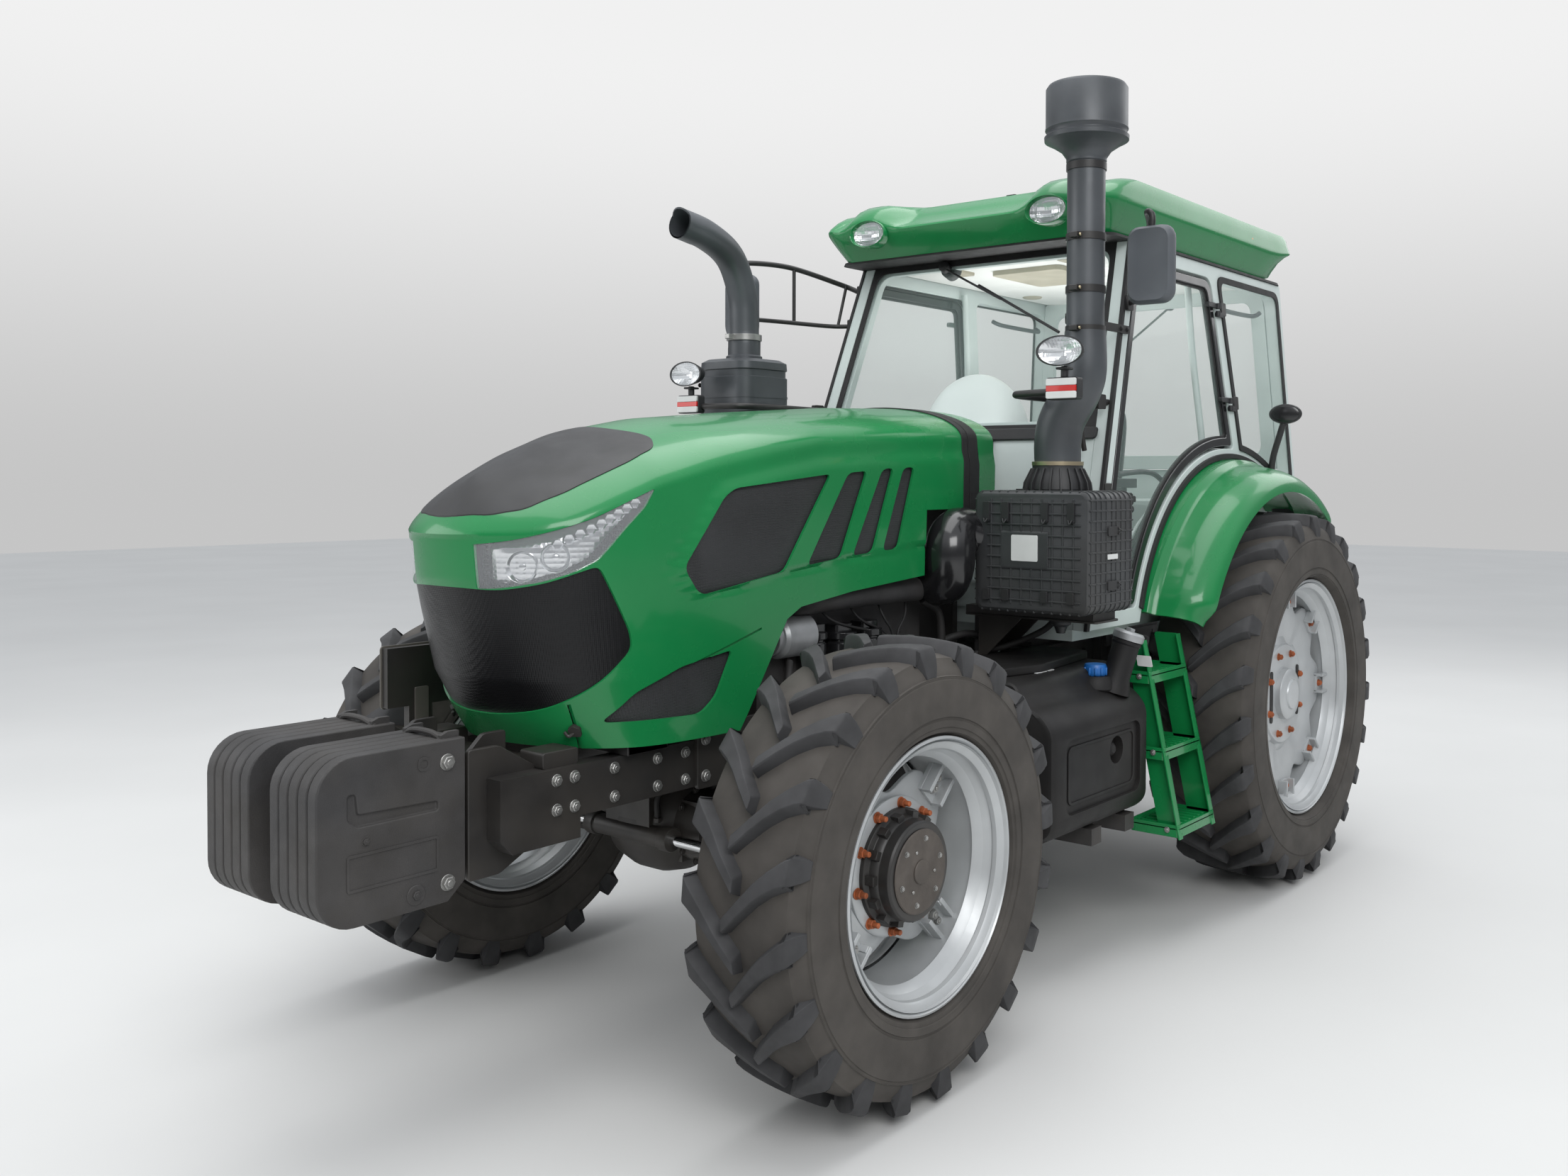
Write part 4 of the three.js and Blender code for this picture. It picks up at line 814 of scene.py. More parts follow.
def rear_hub(w):
    face = w["disc"]
    hub = lathe(
        [
            (0, face + 12), (112, face + 12), (112, face + 40), (100, face + 48), (66, face + 50),
            (62, face + 58), (0, face + 60)
        ],
        HUB, "y", 64
    )
    # painted shade: the hub's two slots are thin near-black sheets on the plate, standing in for the shaded
    # openings
    slots = merge(*[
        slab(rounded(-13 + dx, 13 + dx, -112, 112, 12), face + 14, face + 18.5)
        for dx in (-150, 150)
    ])
    nuts = around(bolt((182, face + 15, 0), OUT, 13, 16), HUB, 8, 0.39)
    outer = around(bolt((w["well"] - 40, face + 22, 0), OUT, 13, 14), HUB, 8, 0)
    return hub, slots, merge(nuts, outer)


def make_rim(w, side):
    turn = (lambda s: s) if side == "left" else (lambda s: ([(-x, -y, z) for x, y, z in s[0]], s[1]))
    name = f"{w['name']}_{side}"
    at = (WHEEL_AT[w["name"]], (1 if side == "left" else -1) * w["track"], w["radius"])
    body = f"wheel_{name}"

    def add(label, shape, look, **rest):
        piece(f"{label}_{name}", shifted(turn(shape), *at), look, body, **rest)

    add("rim", barrel(w), SILVER, stands_for=[f"{w['name']}_rim_{side}"], sharp=28)
    add("valve", merge(
        tube([(w["seat"] - 10, 60, 24), (w["seat"] - 32, 74, 24), (w["seat"] - 52, 96, 24)], 4.5, 10),
        disc((w["seat"] - 14, 62, 24), facing((-1, 0.6, 0)), 9, -4, 6, 16, 2)), SEAL)
    if w is FRONT:
        plate, plate_bolts = front_disc(w)
        drum, cover, cover_bolts, nuts = front_hub(w)
        add("disc", plate, SILVER, bevel=2)
        add("disc_bolts", plate_bolts, STEEL)
        add("hub", drum, BLACK_PAINT, bevel=2)
        add("hub_cover", cover, HUB_COVER)
        add("hub_cover_bolts", cover_bolts, STEEL)
        add("wheel_nuts", nuts, RUSTY)
    else:
        hub, slots, nuts = rear_hub(w)
        add("disc", rear_disc(w), SILVER, bevel=2)
        add("hub", hub, SILVER, bevel=2)
        # painted shade in the hub's slots
        add("hub_slot_shade", slots, SEAL, slot="black_paint")
        add("wheel_nuts", nuts, RUSTY)


for wheel in (FRONT, REAR):
    for side in ("left", "right"):
        make_tyre(wheel, side)
        make_rim(wheel, side)

# ---- hood ----------------------------------------------------------------------------------------------

HOOD_REAR = 1604
HOOD_PLAN = [
    (HOOD_REAR, 405), (2000, 410), (2450, 411), (2850, 411), (3000, 408), (3126, 400), (3230, 388),
    (3300, 375), (3365, 352), (3415, 325), (3458, 290), (3496, 248), (3526, 204), (3550, 158), (3567, 108),
    (3577, 56), (3580, 0)
]
HOOD_CROWN = [
    (1602, 2011), (2000, 1996), (2500, 1959), (2850, 1928), (3100, 1885), (3250, 1834), (3380, 1777),
    (3480, 1733), (3560, 1698), (3610, 1677), (3646, 1660)
]
HOOD_CREASE = [
    (1602, 1884), (2000, 1874), (2450, 1850), (2650, 1816), (2926, 1767), (3126, 1717), (3287, 1651),
    (3373, 1616), (3480, 1585), (3588, 1578), (3646, 1588)
]
NOSE_BACK = [(985, 200), (1014, 181), (1068, 147), (1185, 80), (1363, 36), (1460, 15), (1623, 0)]
LEDGE = [(1602, 1512), (2321, 1470), (2635, 1434), (2973, 1387), (3080, 1372)]

HOOD_BELOW = [
    (1400, 1630), (1872, 1630), (1878, 1398), (2283, 1368), (2540, 1336), (2606, 1302), (2777, 1035),
    (2812, 985), (3290, 989), (3411, 996), (3464, 1056), (3800, 1062), (3800, 900), (1400, 900)
]
GRILLE_EDGE = [
    (3800, 1446), (3576, 1446), (3517, 1437), (3444, 1456), (3372, 1484), (3316, 1502), (3270, 1412),
    (3222, 1315), (3215, 1267), (3281, 1199), (3342, 1146), (3388, 1105), (3442, 1081), (3480, 1071),
    (3800, 1071)
]
LAMP_EDGE = [
    (3800, 1552), (3565, 1558), (3501, 1573), (3429, 1597), (3331, 1631), (3239, 1671), (3139, 1712),
    (3172, 1660), (3240, 1598), (3316, 1518), (3372, 1489), (3444, 1461), (3518, 1442), (3800, 1440)
]
LAMP_INNER = 138
VENTS = {
    "vent_upper": [
        (3044, 1484), (2887, 1687), (2841, 1711), (2403, 1755), (2624, 1451), (2959, 1403), (2992, 1412)
    ],
    "vent_front": [(2316, 1759), (2216, 1766), (2350, 1480), (2518, 1464)],
    "vent_middle": [(2134, 1773), (2070, 1777), (2181, 1491), (2291, 1485)],
    "vent_rear": [(2016, 1778), (1949, 1781), (2041, 1498), (2129, 1495)],
    "vent_lower": [(3284, 1066), (3205, 1144), (3047, 1203), (2845, 1232), (2914, 1099), (2973, 1057)]
}
INSERT_HALF = [
    (3556, 0), (3549, 64), (3516, 158), (3452, 232), (3362, 274), (3262, 297), (3140, 308), (3052, 298),
    (3015, 246), (3018, 199), (3050, 100), (3062, 0)
]


def along(table, x):
    return float(np.interp(x, [p[0] for p in table], [p[1] for p in table]))


def eased(t):
    t = min(1.0, max(0.0, t))
    return t * t * (3 - 2 * t)


def hood_columns(inset, side_rows, top_rows, columns):
    """Points up the left side, round the nose and back along the right, each column from the lower
    edge to the crease and over to the middle of the crown."""
    left = spline(HOOD_PLAN, columns)
    plan = np.vstack([left, left[-2::-1] * [1, -1]])
    run = np.gradient(plan, axis=0)
    inward = np.stack([run[:, 1], -run[:, 0]], 1) / np.linalg.norm(run, axis=1)[:, None]
    low = 970
    made = []
    for (x0, _), (x, y) in zip(plan, plan + inward * inset):
        crease = along(HOOD_CREASE, x0)
        share = eased((x - 2900) / 660)
        power = 2.0 - 0.42 * eased((x - 2600) / 600)
        column = []
        for i in range(side_rows + 1):
            z = low + (crease - inset - low) * i / side_rows
            hollow = 12 * eased((z - along(LEDGE, x)) / 16) * eased((crease - 26 - z) / 60)
            hollow *= eased((3090 - x - 0.75 * abs(z - 1480)) / 30)
            bulge = 4 * math.sin(math.pi * (z - low) / (crease - low)) - hollow
            column.append((
                x - share * along(NOSE_BACK, z), y + math.copysign(bulge * min(1, abs(y) / 380), y), z
            ))
        spine = x if x < 3100 else 3100 + (x - 3100) * 0.7
        for i in range(1, top_rows + 1):
            v = (i / top_rows) ** 1.7
            rise = (1 - (1 - v) ** power) ** (1 / power)
            px = x + (spine - x) * v
            column.append((px, y * (1 - v), crease - inset + (along(HOOD_CROWN, px) - crease) * rise))
        made.append(column)
    return made


def hood_layer(outside, inside, side_rows=70, top_rows=16, columns=80):
    """A closed skin between two distances in from the hood's outer face."""
    outer, inner = (hood_columns(i, side_rows, top_rows, columns) for i in (outside, inside))
    verts, faces = skin([b[::-1] + a for a, b in zip(outer, inner)], closed=False)
    n = len(outer[0])
    for first in (0, (len(outer) - 1) * 2 * n):
        for r in range(n - 1):
            faces.append(tuple(first + k for k in (n - 1 - r, n - 2 - r, n + r + 1, n + r)))
    return verts, faces


def across(outline, low=-700, high=700):
    return slab(outline, low, high)


def make_hood():
    body = piece("hood_panels", hood_layer(0, 9), GREEN, "hood", stands_for=["hood"])
    lamp = across(softened(LAMP_EDGE, 14), LAMP_INNER)
    cutters = [across(HOOD_BELOW), across(softened(GRILLE_EDGE, 22)), lamp, mirrored(lamp)]
    cutters += [across(softened(edge, 26)) for edge in VENTS.values()]
    seam = [(3350, 1122), (3356, 1120), (3290, 975), (3284, 975)]
    groove = [(3033, 1193), (2884, 1233), (2722, 1280), (2722, 1287), (2884, 1241), (3033, 1201)]
    cutters += [across(seam, 250), across(seam, -700, -250), across(groove, 408), across(groove, -700, -408)]
    carve(body, *cutters)
    bevelled(body, 2.5, 2, 50)

    coarse = dict(side_rows=44, top_rows=10, columns=52)
    for name, outline in VENTS.items():
        panel = piece(name, hood_layer(13, 17, **coarse), VENT, "hood")
        carve(panel, across(grown(outline, 8)), how="INTERSECT")
    grille = piece(
        "grille_skin", hood_layer(7, 11, side_rows=56, top_rows=4, columns=80), GRILLE, "hood",
        stands_for=["grille"]
    )
    carve(grille, across(grown(GRILLE_EDGE, 7)), how="INTERSECT")
    insert = INSERT_HALF + [(x, -y) for x, y in INSERT_HALF[-2:0:-1]]
    top = piece("hood_insert", hood_layer(-2, 2, side_rows=6, top_rows=30, columns=80), PLASTIC, "hood")
    carve(top, slab(softened(insert, 30), 1612, 2000, "xy"), how="INTERSECT")

    for side, turn in SIDES:
        window = across(softened(LAMP_EDGE, 14), LAMP_INNER + 1)
        lens = piece(
            f"headlight_lens_{side}", hood_layer(1, 4, **coarse), LENS, "hood",
            stands_for=[f"headlight_{side}"]
        )
        carve(lens, window, how="INTERSECT")
        bezel = piece(f"headlight_bezel_{side}", hood_layer(5, 64, **coarse), GLOSS_BLACK, "hood")
        carve(bezel, window, how="INTERSECT")
        carve(bezel, across(grown(softened(LAMP_EDGE, 14), -5), LAMP_INNER + 7, 700))
        bezel.data.validate()
        tray = piece(f"headlight_tray_{side}", hood_layer(52, 56, **coarse), REFLECTOR, "hood")
        carve(tray, across(LAMP_EDGE, LAMP_INNER + 1), how="INTERSECT")
        if side == "right":
            for made in (lens, bezel, tray):
                made.data.transform(Matrix.Scale(-1, 4, (0, 1, 0)))
                made.data.flip_normals()
        bowls = []
        for at, out, size in (
            ((3450, 214, 1498), (0.8, 0.55, 0), 40), ((3392, 282, 1524), (0.66, 0.72, 0), 38)
        ):
            bowls.append(lathe(
                [
                    (size * 0.28, -26), (size * 0.75, -14), (size, 6), (size + 3, 8), (size + 3, 0),
                    (size * 0.8, -20), (size * 0.28, -32)
                ],
                at, facing(out), 40
            ))
            bowls.append(lathe(
                [(0, 4), (size * 0.22, 1), (size * 0.27, -8), (size * 0.27, -30), (0, -30)], at, facing(out),
                24
            ))
        for i in range(9):
            x = 3400 - i * 27
            y, z = along([(3130, 370), (3300, 346), (3400, 298)], x), along(
                [(3130, 1698), (3240, 1640), (3400, 1560)], x
            )
            bowls.append(shifted(
                lathe([(0, 0), (13, 2), (15, 8), (15, -8), (0, -8)], (0, 0, 0), facing((0.35, 0.93, 0)), 6),
                x, y, z
            ))
        piece(f"headlight_bowls_{side}", turn(merge(*bowls)), CHROME, "hood", slot="lens", sharp=50)

    seat = Matrix.Translation((3321, 275, 1048)) @ Matrix.Rotation(math.radians(-52), 4, "Z")
    seat @= Matrix.Rotation(math.radians(-28), 4, "X")
    latch = both(moved(merge(
        slab(softened([(-18, -18), (10, -18), (20, 4), (4, 18), (-16, 8)], 5), -2, 12),
        tube([(0, 6, -4), (16, 14, -14), (28, 10, -2)], 5, 8)), lambda *v: tuple(seat @ Vector(v))))
    piece("hood_latches", latch, BLACK_PAINT, "hood", bevel=1)


def hood_section(grow, low):
    """Outline across the rear of the hood, from the lower left edge over to the lower right."""
    column = hood_columns(-grow, 20, 16, 4)[0]
    left = [(y, z) for _, y, z in column if z >= low]
    left.insert(0, (left[0][0], low))
    return left + [(-y, z) for y, z in left[-2::-1]]


def hoop(x0, x1, outside, inside, low):
    """A band across the hood between two places along it."""
    outer, inner = hood_section(outside, low), hood_section(inside, low)
    ring = outer + inner[::-1]
    return skin([[(x, y, z) for y, z in ring] for x in (x0, x1)])


def make_cowl():
    piece(
        "cowl_skin", merge(hoop(1432, 1598, 0, -12, 1632), hoop(1424, 1436, -1, -60, 1632)), GREEN,
        stands_for=["cowl"], bevel=3
    )
    piece("cowl_band", merge(hoop(1548, 1600, 3, -2, 1628), hoop(1536, 1552, 1.5, -2, 1628)), SEAL, bevel=1.5)
    piece("hood_band", hoop(1604.5, 1640, 3, -2, 1628), SEAL, "hood", bevel=1.5)
    piece("cowl_foot", merge(
        slab([(1392, 1300), (1434, 1300), (1434, 1905), (1150, 1905), (1150, 1860)], -228, 228),
        slab([(1402, 1024), (1434, 1024), (1434, 1302), (1402, 1302)], -228, 228),
    ), BLACK_PAINT, bevel=4)


make_hood()
make_cowl()

# ---- nose, axle and engine ---------------------------------------------------------------------------------

WEIGHT = dict(rear=3662, front=4065, low=666, high=1078, corner=95, inner=51, pitch=43, plate=39, plates=5)
AXLE_Z = 650
KINGPIN_Y = 680


def weight_outline():
    w = WEIGHT
    points = [(w["rear"], w["high"]), (w["rear"], w["low"] + 46), (w["rear"] + 52, w["low"])]
    for centre_z, start in ((w["low"] + w["corner"], -90), (w["high"] - w["corner"], 0)):
        for i in range(9):
            a = math.radians(start + 90 * i / 8)
            points.append((
                w["front"] - w["corner"] + w["corner"] * math.cos(a), centre_z + w["corner"] * math.sin(a)
            ))
    return points


def make_weights():
    w = WEIGHT
    outline = weight_outline()
    for side, turn in SIDES:
        plates = []
        for i in range(w["plates"]):
            y0 = w["inner"] + i * w["pitch"]
            plates.append(slab(outline, y0, y0 + w["plate"]))
        outer = w["inner"] + (w["plates"] - 1) * w["pitch"] + w["plate"]
        made = piece(f"weight_plates_{side}", turn(merge(*plates)), CAST_IRON, stands_for=[f"weights_{side}"])
        slot_outline = softened(
            [(3742, 905), (3960, 905), (3985, 925), (3985, 985), (3965, 985), (3960, 935), (3742, 928)], 8
        )
        carve(made, turn(slab(slot_outline, outer - 9, outer + 20)))
        bevelled(made, 5, 3, 40)
        frame_outline = rounded(3742, 3990, 752, 842, 8)
        face = [
            ring_plate(frame_outline, grown(frame_outline, -7), outer - 1, outer + 2.5),
            ring_plate(
                rounded(3765, 3800, 1010, 1045, 14), rounded(3772, 3793, 1017, 1038, 9), outer - 1, outer + 2
            ),
            bolt((3940, outer, 868), (0, 1, 0), 9), bolt((3806, outer, 706), (0, 1, 0), 12),
            disc((3806, outer, 706), "y", 26, -1, 3, 28),
            tube([(3712, 70, 1072), (3716, 120, 1088), (3716, 200, 1088), (3712, 240, 1072)], 8, 10),
            slab(
                [(3668, 1040), (3720, 1040), (3720, 1086), (3700, 1094), (3668, 1094)], w["inner"] + 20,
                w["inner"] + 34
            ),
            slab(
                [(3668, 1040), (3720, 1040), (3720, 1086), (3700, 1094), (3668, 1094)], outer - 34, outer - 20
            )
        ]
        piece(f"weight_face_{side}", turn(merge(*face)), CAST_IRON, bevel=1.2)
    rods = merge(
        *[lathe([(0, -262), (13, -262), (13, 262), (0, 262)], (3716, 0, z), "y", 16) for z in (716, 1022)],
        *[bolt((3716, side * 262, z), (0, side, 0), 17) for side in (1, -1) for z in (716, 1022)]
    )
    piece("weight_rods", rods, STEEL)


def make_front_frame():
    bolts = []
    for x in (2060, 2160, 2320, 2480, 2950, 3060, 3220, 3360, 3420):
        for z in (850, 930):
            bolts.append(bolt((x, 320, z), (0, 1, 0), 14))
    plate = slab(
        softened([(2540, 812), (2912, 812), (2912, 980), (2860, 1004), (2590, 1004), (2540, 980)], 14), 318,
        334
    )
    gusset = slab(
        softened([(3440, 760), (3560, 700), (3655, 700), (3655, 1040), (3560, 1040), (3440, 965)], 12), 246,
        262
    )
    hook = merge(
        lathe([(0, 0), (24, 0), (24, 150), (30, 152), (30, 172), (0, 176)], (3612, 0, 636), "z", 24),
        tube([(3612, -22, 815), (3612, -22, 850), (3612, 22, 850), (3612, 22, 815)], 6, 8),
        slab(rounded(3560, 3660, -58, 58, 26), 676, 700, "xy"),
        slab(rounded(3560, 3660, -58, 58, 26), 742, 766, "xy")
    )
    piece("frame_plates", both(merge(plate, gusset)), BLACK_PAINT, bevel=3)
    piece(
        "frame_bolts",
        both(merge(*bolts, *[bolt((x, 334, z), (0, 1, 0), 15) for x in (2570, 2880) for z in (850, 960)])),
        STEEL
    )
    piece("tow_pin", hook, CAST_IRON, bevel=3)
    stem = both(merge(
        slab(softened([(3468, 960), (3600, 960), (3600, 1000), (3540, 1056), (3468, 1056)], 10), 150, 166),
        slab(softened([(3330, 958), (3450, 958), (3450, 1004), (3330, 1004)], 10), 200, 300)))
    piece("nose_brackets", stem, BLACK_PAINT, bevel=3)
    sign = slab(rounded(3216, 3458, 1040, 1231, 12), -460, -455)
    piece(
        "side_plate_face",
        merge(
            sign, *[bolt((x, -462, z), (0, -1, 0), 7) for x in (3240, 3434) for z in (1062, 1210)],
            slab(softened([(3318, 955), (3362, 955), (3362, 1100), (3318, 1100)], 5), -430, -420)
        ),
        PLATE_GREY, bevel=1.5
    )


def make_front_axle():
    x, z = WHEELBASE, AXLE_Z
    axle = [
        lathe(
            [
                (30, -250), (96, -246), (104, -210), (112, -150), (150, -110), (168, -40), (168, 40),
                (150, 110), (112, 150), (104, 210), (96, 246), (30, 250)
            ],
            (x, 0, z - 4), "y", 40
        ),
        lathe(
            [(0, -190), (74, -190), (84, -176), (84, -150), (128, -110), (140, -60), (0, -60)],
            (x, 0, z - 20), "x", 32
        )
    ]
    for side in (1, -1):
        axle.append(skin([
            [(x + px * k, side * y, z + pz * h) for px, pz in rounded(-66, 66, -74, 74, 26, 3)] for y, k,
            h in ((200, 1, 1), (330, 0.86, 0.84), (520, 0.86, 0.84), (590, 1.06, 0.9), (640, 1.02, 0.86))
        ]))
        for pz in (-1, 1):
            axle.append(disc((x, side * KINGPIN_Y, z + pz * 62), "z", 70, -4, 4, 32))
    axle.append(around(bolt((x + 118, 172, z), (0, 1, 0), 10), (x, 0, z), 10))
    piece("front_axle_housing", merge(*axle), BLACK_PAINT, bevel=4)
    cylinder = merge(
        lathe(
            [
                (0, -190), (36, -190), (38, -184), (38, -150), (32, -148), (32, 148), (38, 150), (38, 184),
                (36, 190), (0, 190)
            ],
            (x + 150, 0, z - 20), "y", 28
        ),
        slab(rounded(x + 70, x + 150, z - 60, z + 12, 18), -120, -96),
        slab(rounded(x + 70, x + 150, z - 60, z + 12, 18), 96, 120),
        disc((x + 150, -120, z + 24), "z", 13, 0, 16, 6), disc((x + 150, 120, z + 24), "z", 13, 0, 16, 6)
    )
    piece("steering_cylinder", cylinder, BLACK_PAINT, bevel=2)
    piston = lathe([(0, -520), (17, -520), (17, 520), (0, 520)], (x + 150, 0, z - 20), "y", 20)
    piece("steering_piston", piston, CHROME, slot="steel")
    hoses = [
        tube(
            [
                (x + 150, s * 120, z + 36), (x + 140, s * 118, z + 110), (x + 60, s * 150, z + 170),
                (x - 120, s * 200, z + 160), (2480, s * 235, 830)
            ],
            9, 10, 30
        )
        for s in (1, -1)
    ]
    piece("steering_hoses", merge(*hoses), SEAL, sharp=60)
    for side, turn in SIDES:
        caps = [around(bolt((x + 44, 0, 0), (0, 1, 0), 9), (x, 0, 0), 6)]
        caps = [moved(c, lambda px, py, pz: (px, pz + KINGPIN_Y, py + z + 107)) for c in caps]
        lower = [moved(c, lambda px, py, pz: (px, py, 2 * z - pz)) for c in caps]
        cover = merge(
            lathe([(0, 104), (64, 104), (68, 110), (60, 122), (0, 126)], (x, KINGPIN_Y, z), "z", 32),
            lathe([(0, -104), (64, -104), (68, -110), (60, -122), (0, -126)], (x, KINGPIN_Y, z), "z", 32),
            lathe(
                [
                    (70, 770), (128, 772), (140, 782), (140, 800), (132, 806), (132, 858), (126, 862),
                    (70, 862)
                ],
                (x, 0, z), "y", 40
            ),
            around(bolt((x + 118, 862, z), (0, 1, 0), 9), (x, 0, z), 12)
        )
        piece(
            f"knuckle_cover_{side}", turn(merge(cover, *caps, *lower)), CAST_IRON, f"knuckle_{side}",
            slot="black_paint", bevel=2
        )
    boots = both(merge(
        lathe(
            [(12, -30), (30, -26), (34, -10), (26, 0), (32, 8), (22, 20), (12, 24)],
            (x - 230, KINGPIN_Y - 40, z - 118), "z", 24
        ),
        disc((x - 230, KINGPIN_Y - 40, z - 150), "z", 15, -14, 6, 6)
    ))
    piece("tie_rod_ends", boots, SEAL, "tie_rod", slot="steel")


def make_engine():
    bits = []
    bits.append(slab(
        softened([(1730, 700), (1830, 655), (2440, 655), (2560, 700), (2560, 760), (1730, 760)], 26), -190,
        190
    ))
    bits.append(slab(rounded(1720, 2520, -150, 150, 30), 1480, 1530, "xy"))
    bits.append(slab(rounded(1740, 2500, -120, 120, 40), 1530, 1575, "xy"))
    for i in range(6):
        x = 1790 + i * 125
        bits.append(disc((x, 160, 1500), "z", 26, -30, 60, 20))
        bits.append(slab(rounded(x - 22, x + 22, 1380, 1450, 10), 258, 318))
    bits.append(slab(rounded(1740, 2500, 1290, 1360, 24), -330, -258))
    bits.append(tube(
        [(1780, 262, 1330), (1820, 330, 1340), (2100, 345, 1345), (2420, 335, 1340), (2480, 262, 1330)], 42,
        20, 30
    ))
    for x in (1800, 2000, 2200, 2400):
        bits.append(slab(softened([(x, 780), (x + 60, 780), (x + 50, 1180), (x + 10, 1180)], 8), 256, 276))
    block = both(slab(
        softened([(1715, 760), (2565, 760), (2565, 1010), (2430, 1060), (1860, 1060), (1715, 1010)], 20), 256,
        272
    ))
    piece("engine_castings", merge(block, *bits), CAST_IRON, bevel=4)

    filters = []
    for x, z, r in ((2090, 1120, 48), (2230, 1120, 48), (2370, 1130, 40)):
        filters.append(lathe(
            [
                (0, -110), (r - 8, -110), (r, -100), (r, 66), (r - 6, 74), (r - 6, 80), (r + 4, 82),
                (r + 4, 104), (0, 106)
            ],
            (x, 322, z), "z", 28
        ))
        filters.append(slab(rounded(x - 44, x + 44, 276, 340, 14), z + 100, z + 130, "xy"))
    piece("engine_filters", merge(*filters), GLOSS_BLACK, bevel=2)
    unit = lathe(
        [
            (0, -80), (60, -78), (70, -66), (70, 66), (60, 78), (52, 80), (52, 92), (60, 94), (60, 108),
            (0, 108)
        ],
        (2470, 300, 1230), "x", 32
    )
    starter = lathe(
        [(0, -130), (44, -128), (48, -116), (48, 80), (36, 100), (0, 104)], (1850, 316, 860), "x", 28
    )
    solenoid = lathe([(0, -70), (24, -68), (24, 60), (0, 62)], (1850, 330, 924), "x", 20)
    pump = [slab(rounded(1920, 2060, 300, 372, 18), 990, 1100, "xy")]
    pump += [disc((1940 + i * 34, 338, 1100), "z", 11, 0, 26, 12) for i in range(4)]
    piece("engine_aluminium", merge(unit, starter, solenoid, *pump), ALUMINIUM, bevel=2)
    lines = []
    for i in range(4):
        x = 1940 + i * 34
        lines.append(tube(
            [(x, 338, 1120), (x + 10, 350, 1200), (1880 + i * 150, 330, 1290), (1812 + i * 160, 200, 1510)],
            4.5, 8, 26
        ))
    lines.append(tube([(2500, 330, 1150), (2560, 372, 1080), (2610, 372, 940), (2660, 330, 860)], 12, 10, 24))
    lines.append(tube(
        [(1740, 330, 1010), (1700, 356, 1080), (1710, 358, 1240), (1790, 340, 1300)], 15, 10, 24
    ))
    lines.append(tube([(1730, 345, 900), (1600, 350, 880), (1420, 300, 905)], 11, 10, 20))
    lines.append(tube([(2060, 365, 1080), (2200, 385, 1010), (2420, 380, 990), (2520, 340, 1010)], 9, 10, 22))
    piece("engine_hoses", merge(*lines), SEAL, sharp=60)

    fan = [disc((2660, 0, 1140), "x", 62, -30, 30, 24)]
    for a in turns(8):
        ring = []
        for r, w, t in ((50, 34, 26), (150, 46, 22), (265, 40, 12)):
            c, s = math.cos(a), math.sin(a)
            corners = [(-w, -t), (w, t), (w, t + 5), (-w, -t + 5)]
            ring.append([(2660 + t2, c * r - s * u, 1140 + s * r + c * u) for u, t2 in corners])
        fan.append(skin(ring))
    fan.append(lathe(
        [(284, -50), (292, -50), (292, 60), (306, 120), (298, 122), (284, 62)], (2730, 0, 1140), "x", 48
    ))
    pulleys = [
        lathe(
            [(0, -16), (r, -16), (r, -10), (r - 7, 0), (r, 10), (r, 16), (0, 16)], (2614, y, z), "x", 32
        ) for y,
        z, r in ((0, 850, 92), (0, 1140, 60), (210, 1230, 42))
    ]
    piece("fan", merge(*fan, *pulleys), BLACK_PAINT, bevel=1)
    loop_path = [
        (2614, 0, 758), (2614, 92, 850), (2614, 252, 1222), (2614, 214, 1272), (2614, 40, 1194),
        (2614, -60, 1140), (2614, -92, 850)
    ]
    piece("fan_belt", loop(loop_path, 7, 120), SEAL, sharp=60)

    cores = []
    for x0, x1, y, z0, z1 in ((3182, 3190, 330, 985, 1640), (2982, 2990, 290, 1030, 1590)):
        cores.append(ribs(z0, z1, 44, 4, lambda a, b: box(x0, x1, -y, y, a, b)))
        cores.append(ribs(-y, y, 22, 8, lambda a, b: box(x0 - 6, x1 - 3, a, b, z0, z1)))
    piece("radiator_cores", merge(*cores), ALUMINIUM)
    sides = both(merge(box(3048, 3196, 326, 350, 962, 1668), box(3200, 3212, 120, 134, 1000, 1600)))
    bars = merge(
        slab(rounded(3046, 3198, -350, 350, 20), 1648, 1676, "xy"), box(3046, 3198, -350, 350, 962, 990),
        lathe([(0, 0), (34, 0), (34, 24), (26, 30), (0, 30)], (3120, 160, 1674), "z", 28)
    )
    piece("radiator_frame", merge(sides, bars), BLACK_PAINT, bevel=3)
    pipes = merge(
        tube([(3050, 220, 1560), (2900, 235, 1560), (2700, 180, 1540), (2520, 120, 1500)], 34, 18, 30),
        tube([(3050, -240, 1040), (2900, -270, 1010), (2720, -260, 960), (2570, -240, 930)], 34, 18, 30),
        tube([(3050, -260, 1500), (2900, -300, 1500), (2600, -330, 1420), (2430, -330, 1330)], 38, 18, 30)
    )
    piece("radiator_hoses", pipes, SEAL, sharp=60)


make_weights()
make_front_frame()
make_front_axle()
make_engine()

# ---- intake, exhaust, tank and steps --------------------------------------------------------------------

STACK = dict(x=1480, y=830, pipe=68, cap=146)
CLEANER = dict(rear=1370, front=1700, inner=500, outer=975, low=1270, high=1700)


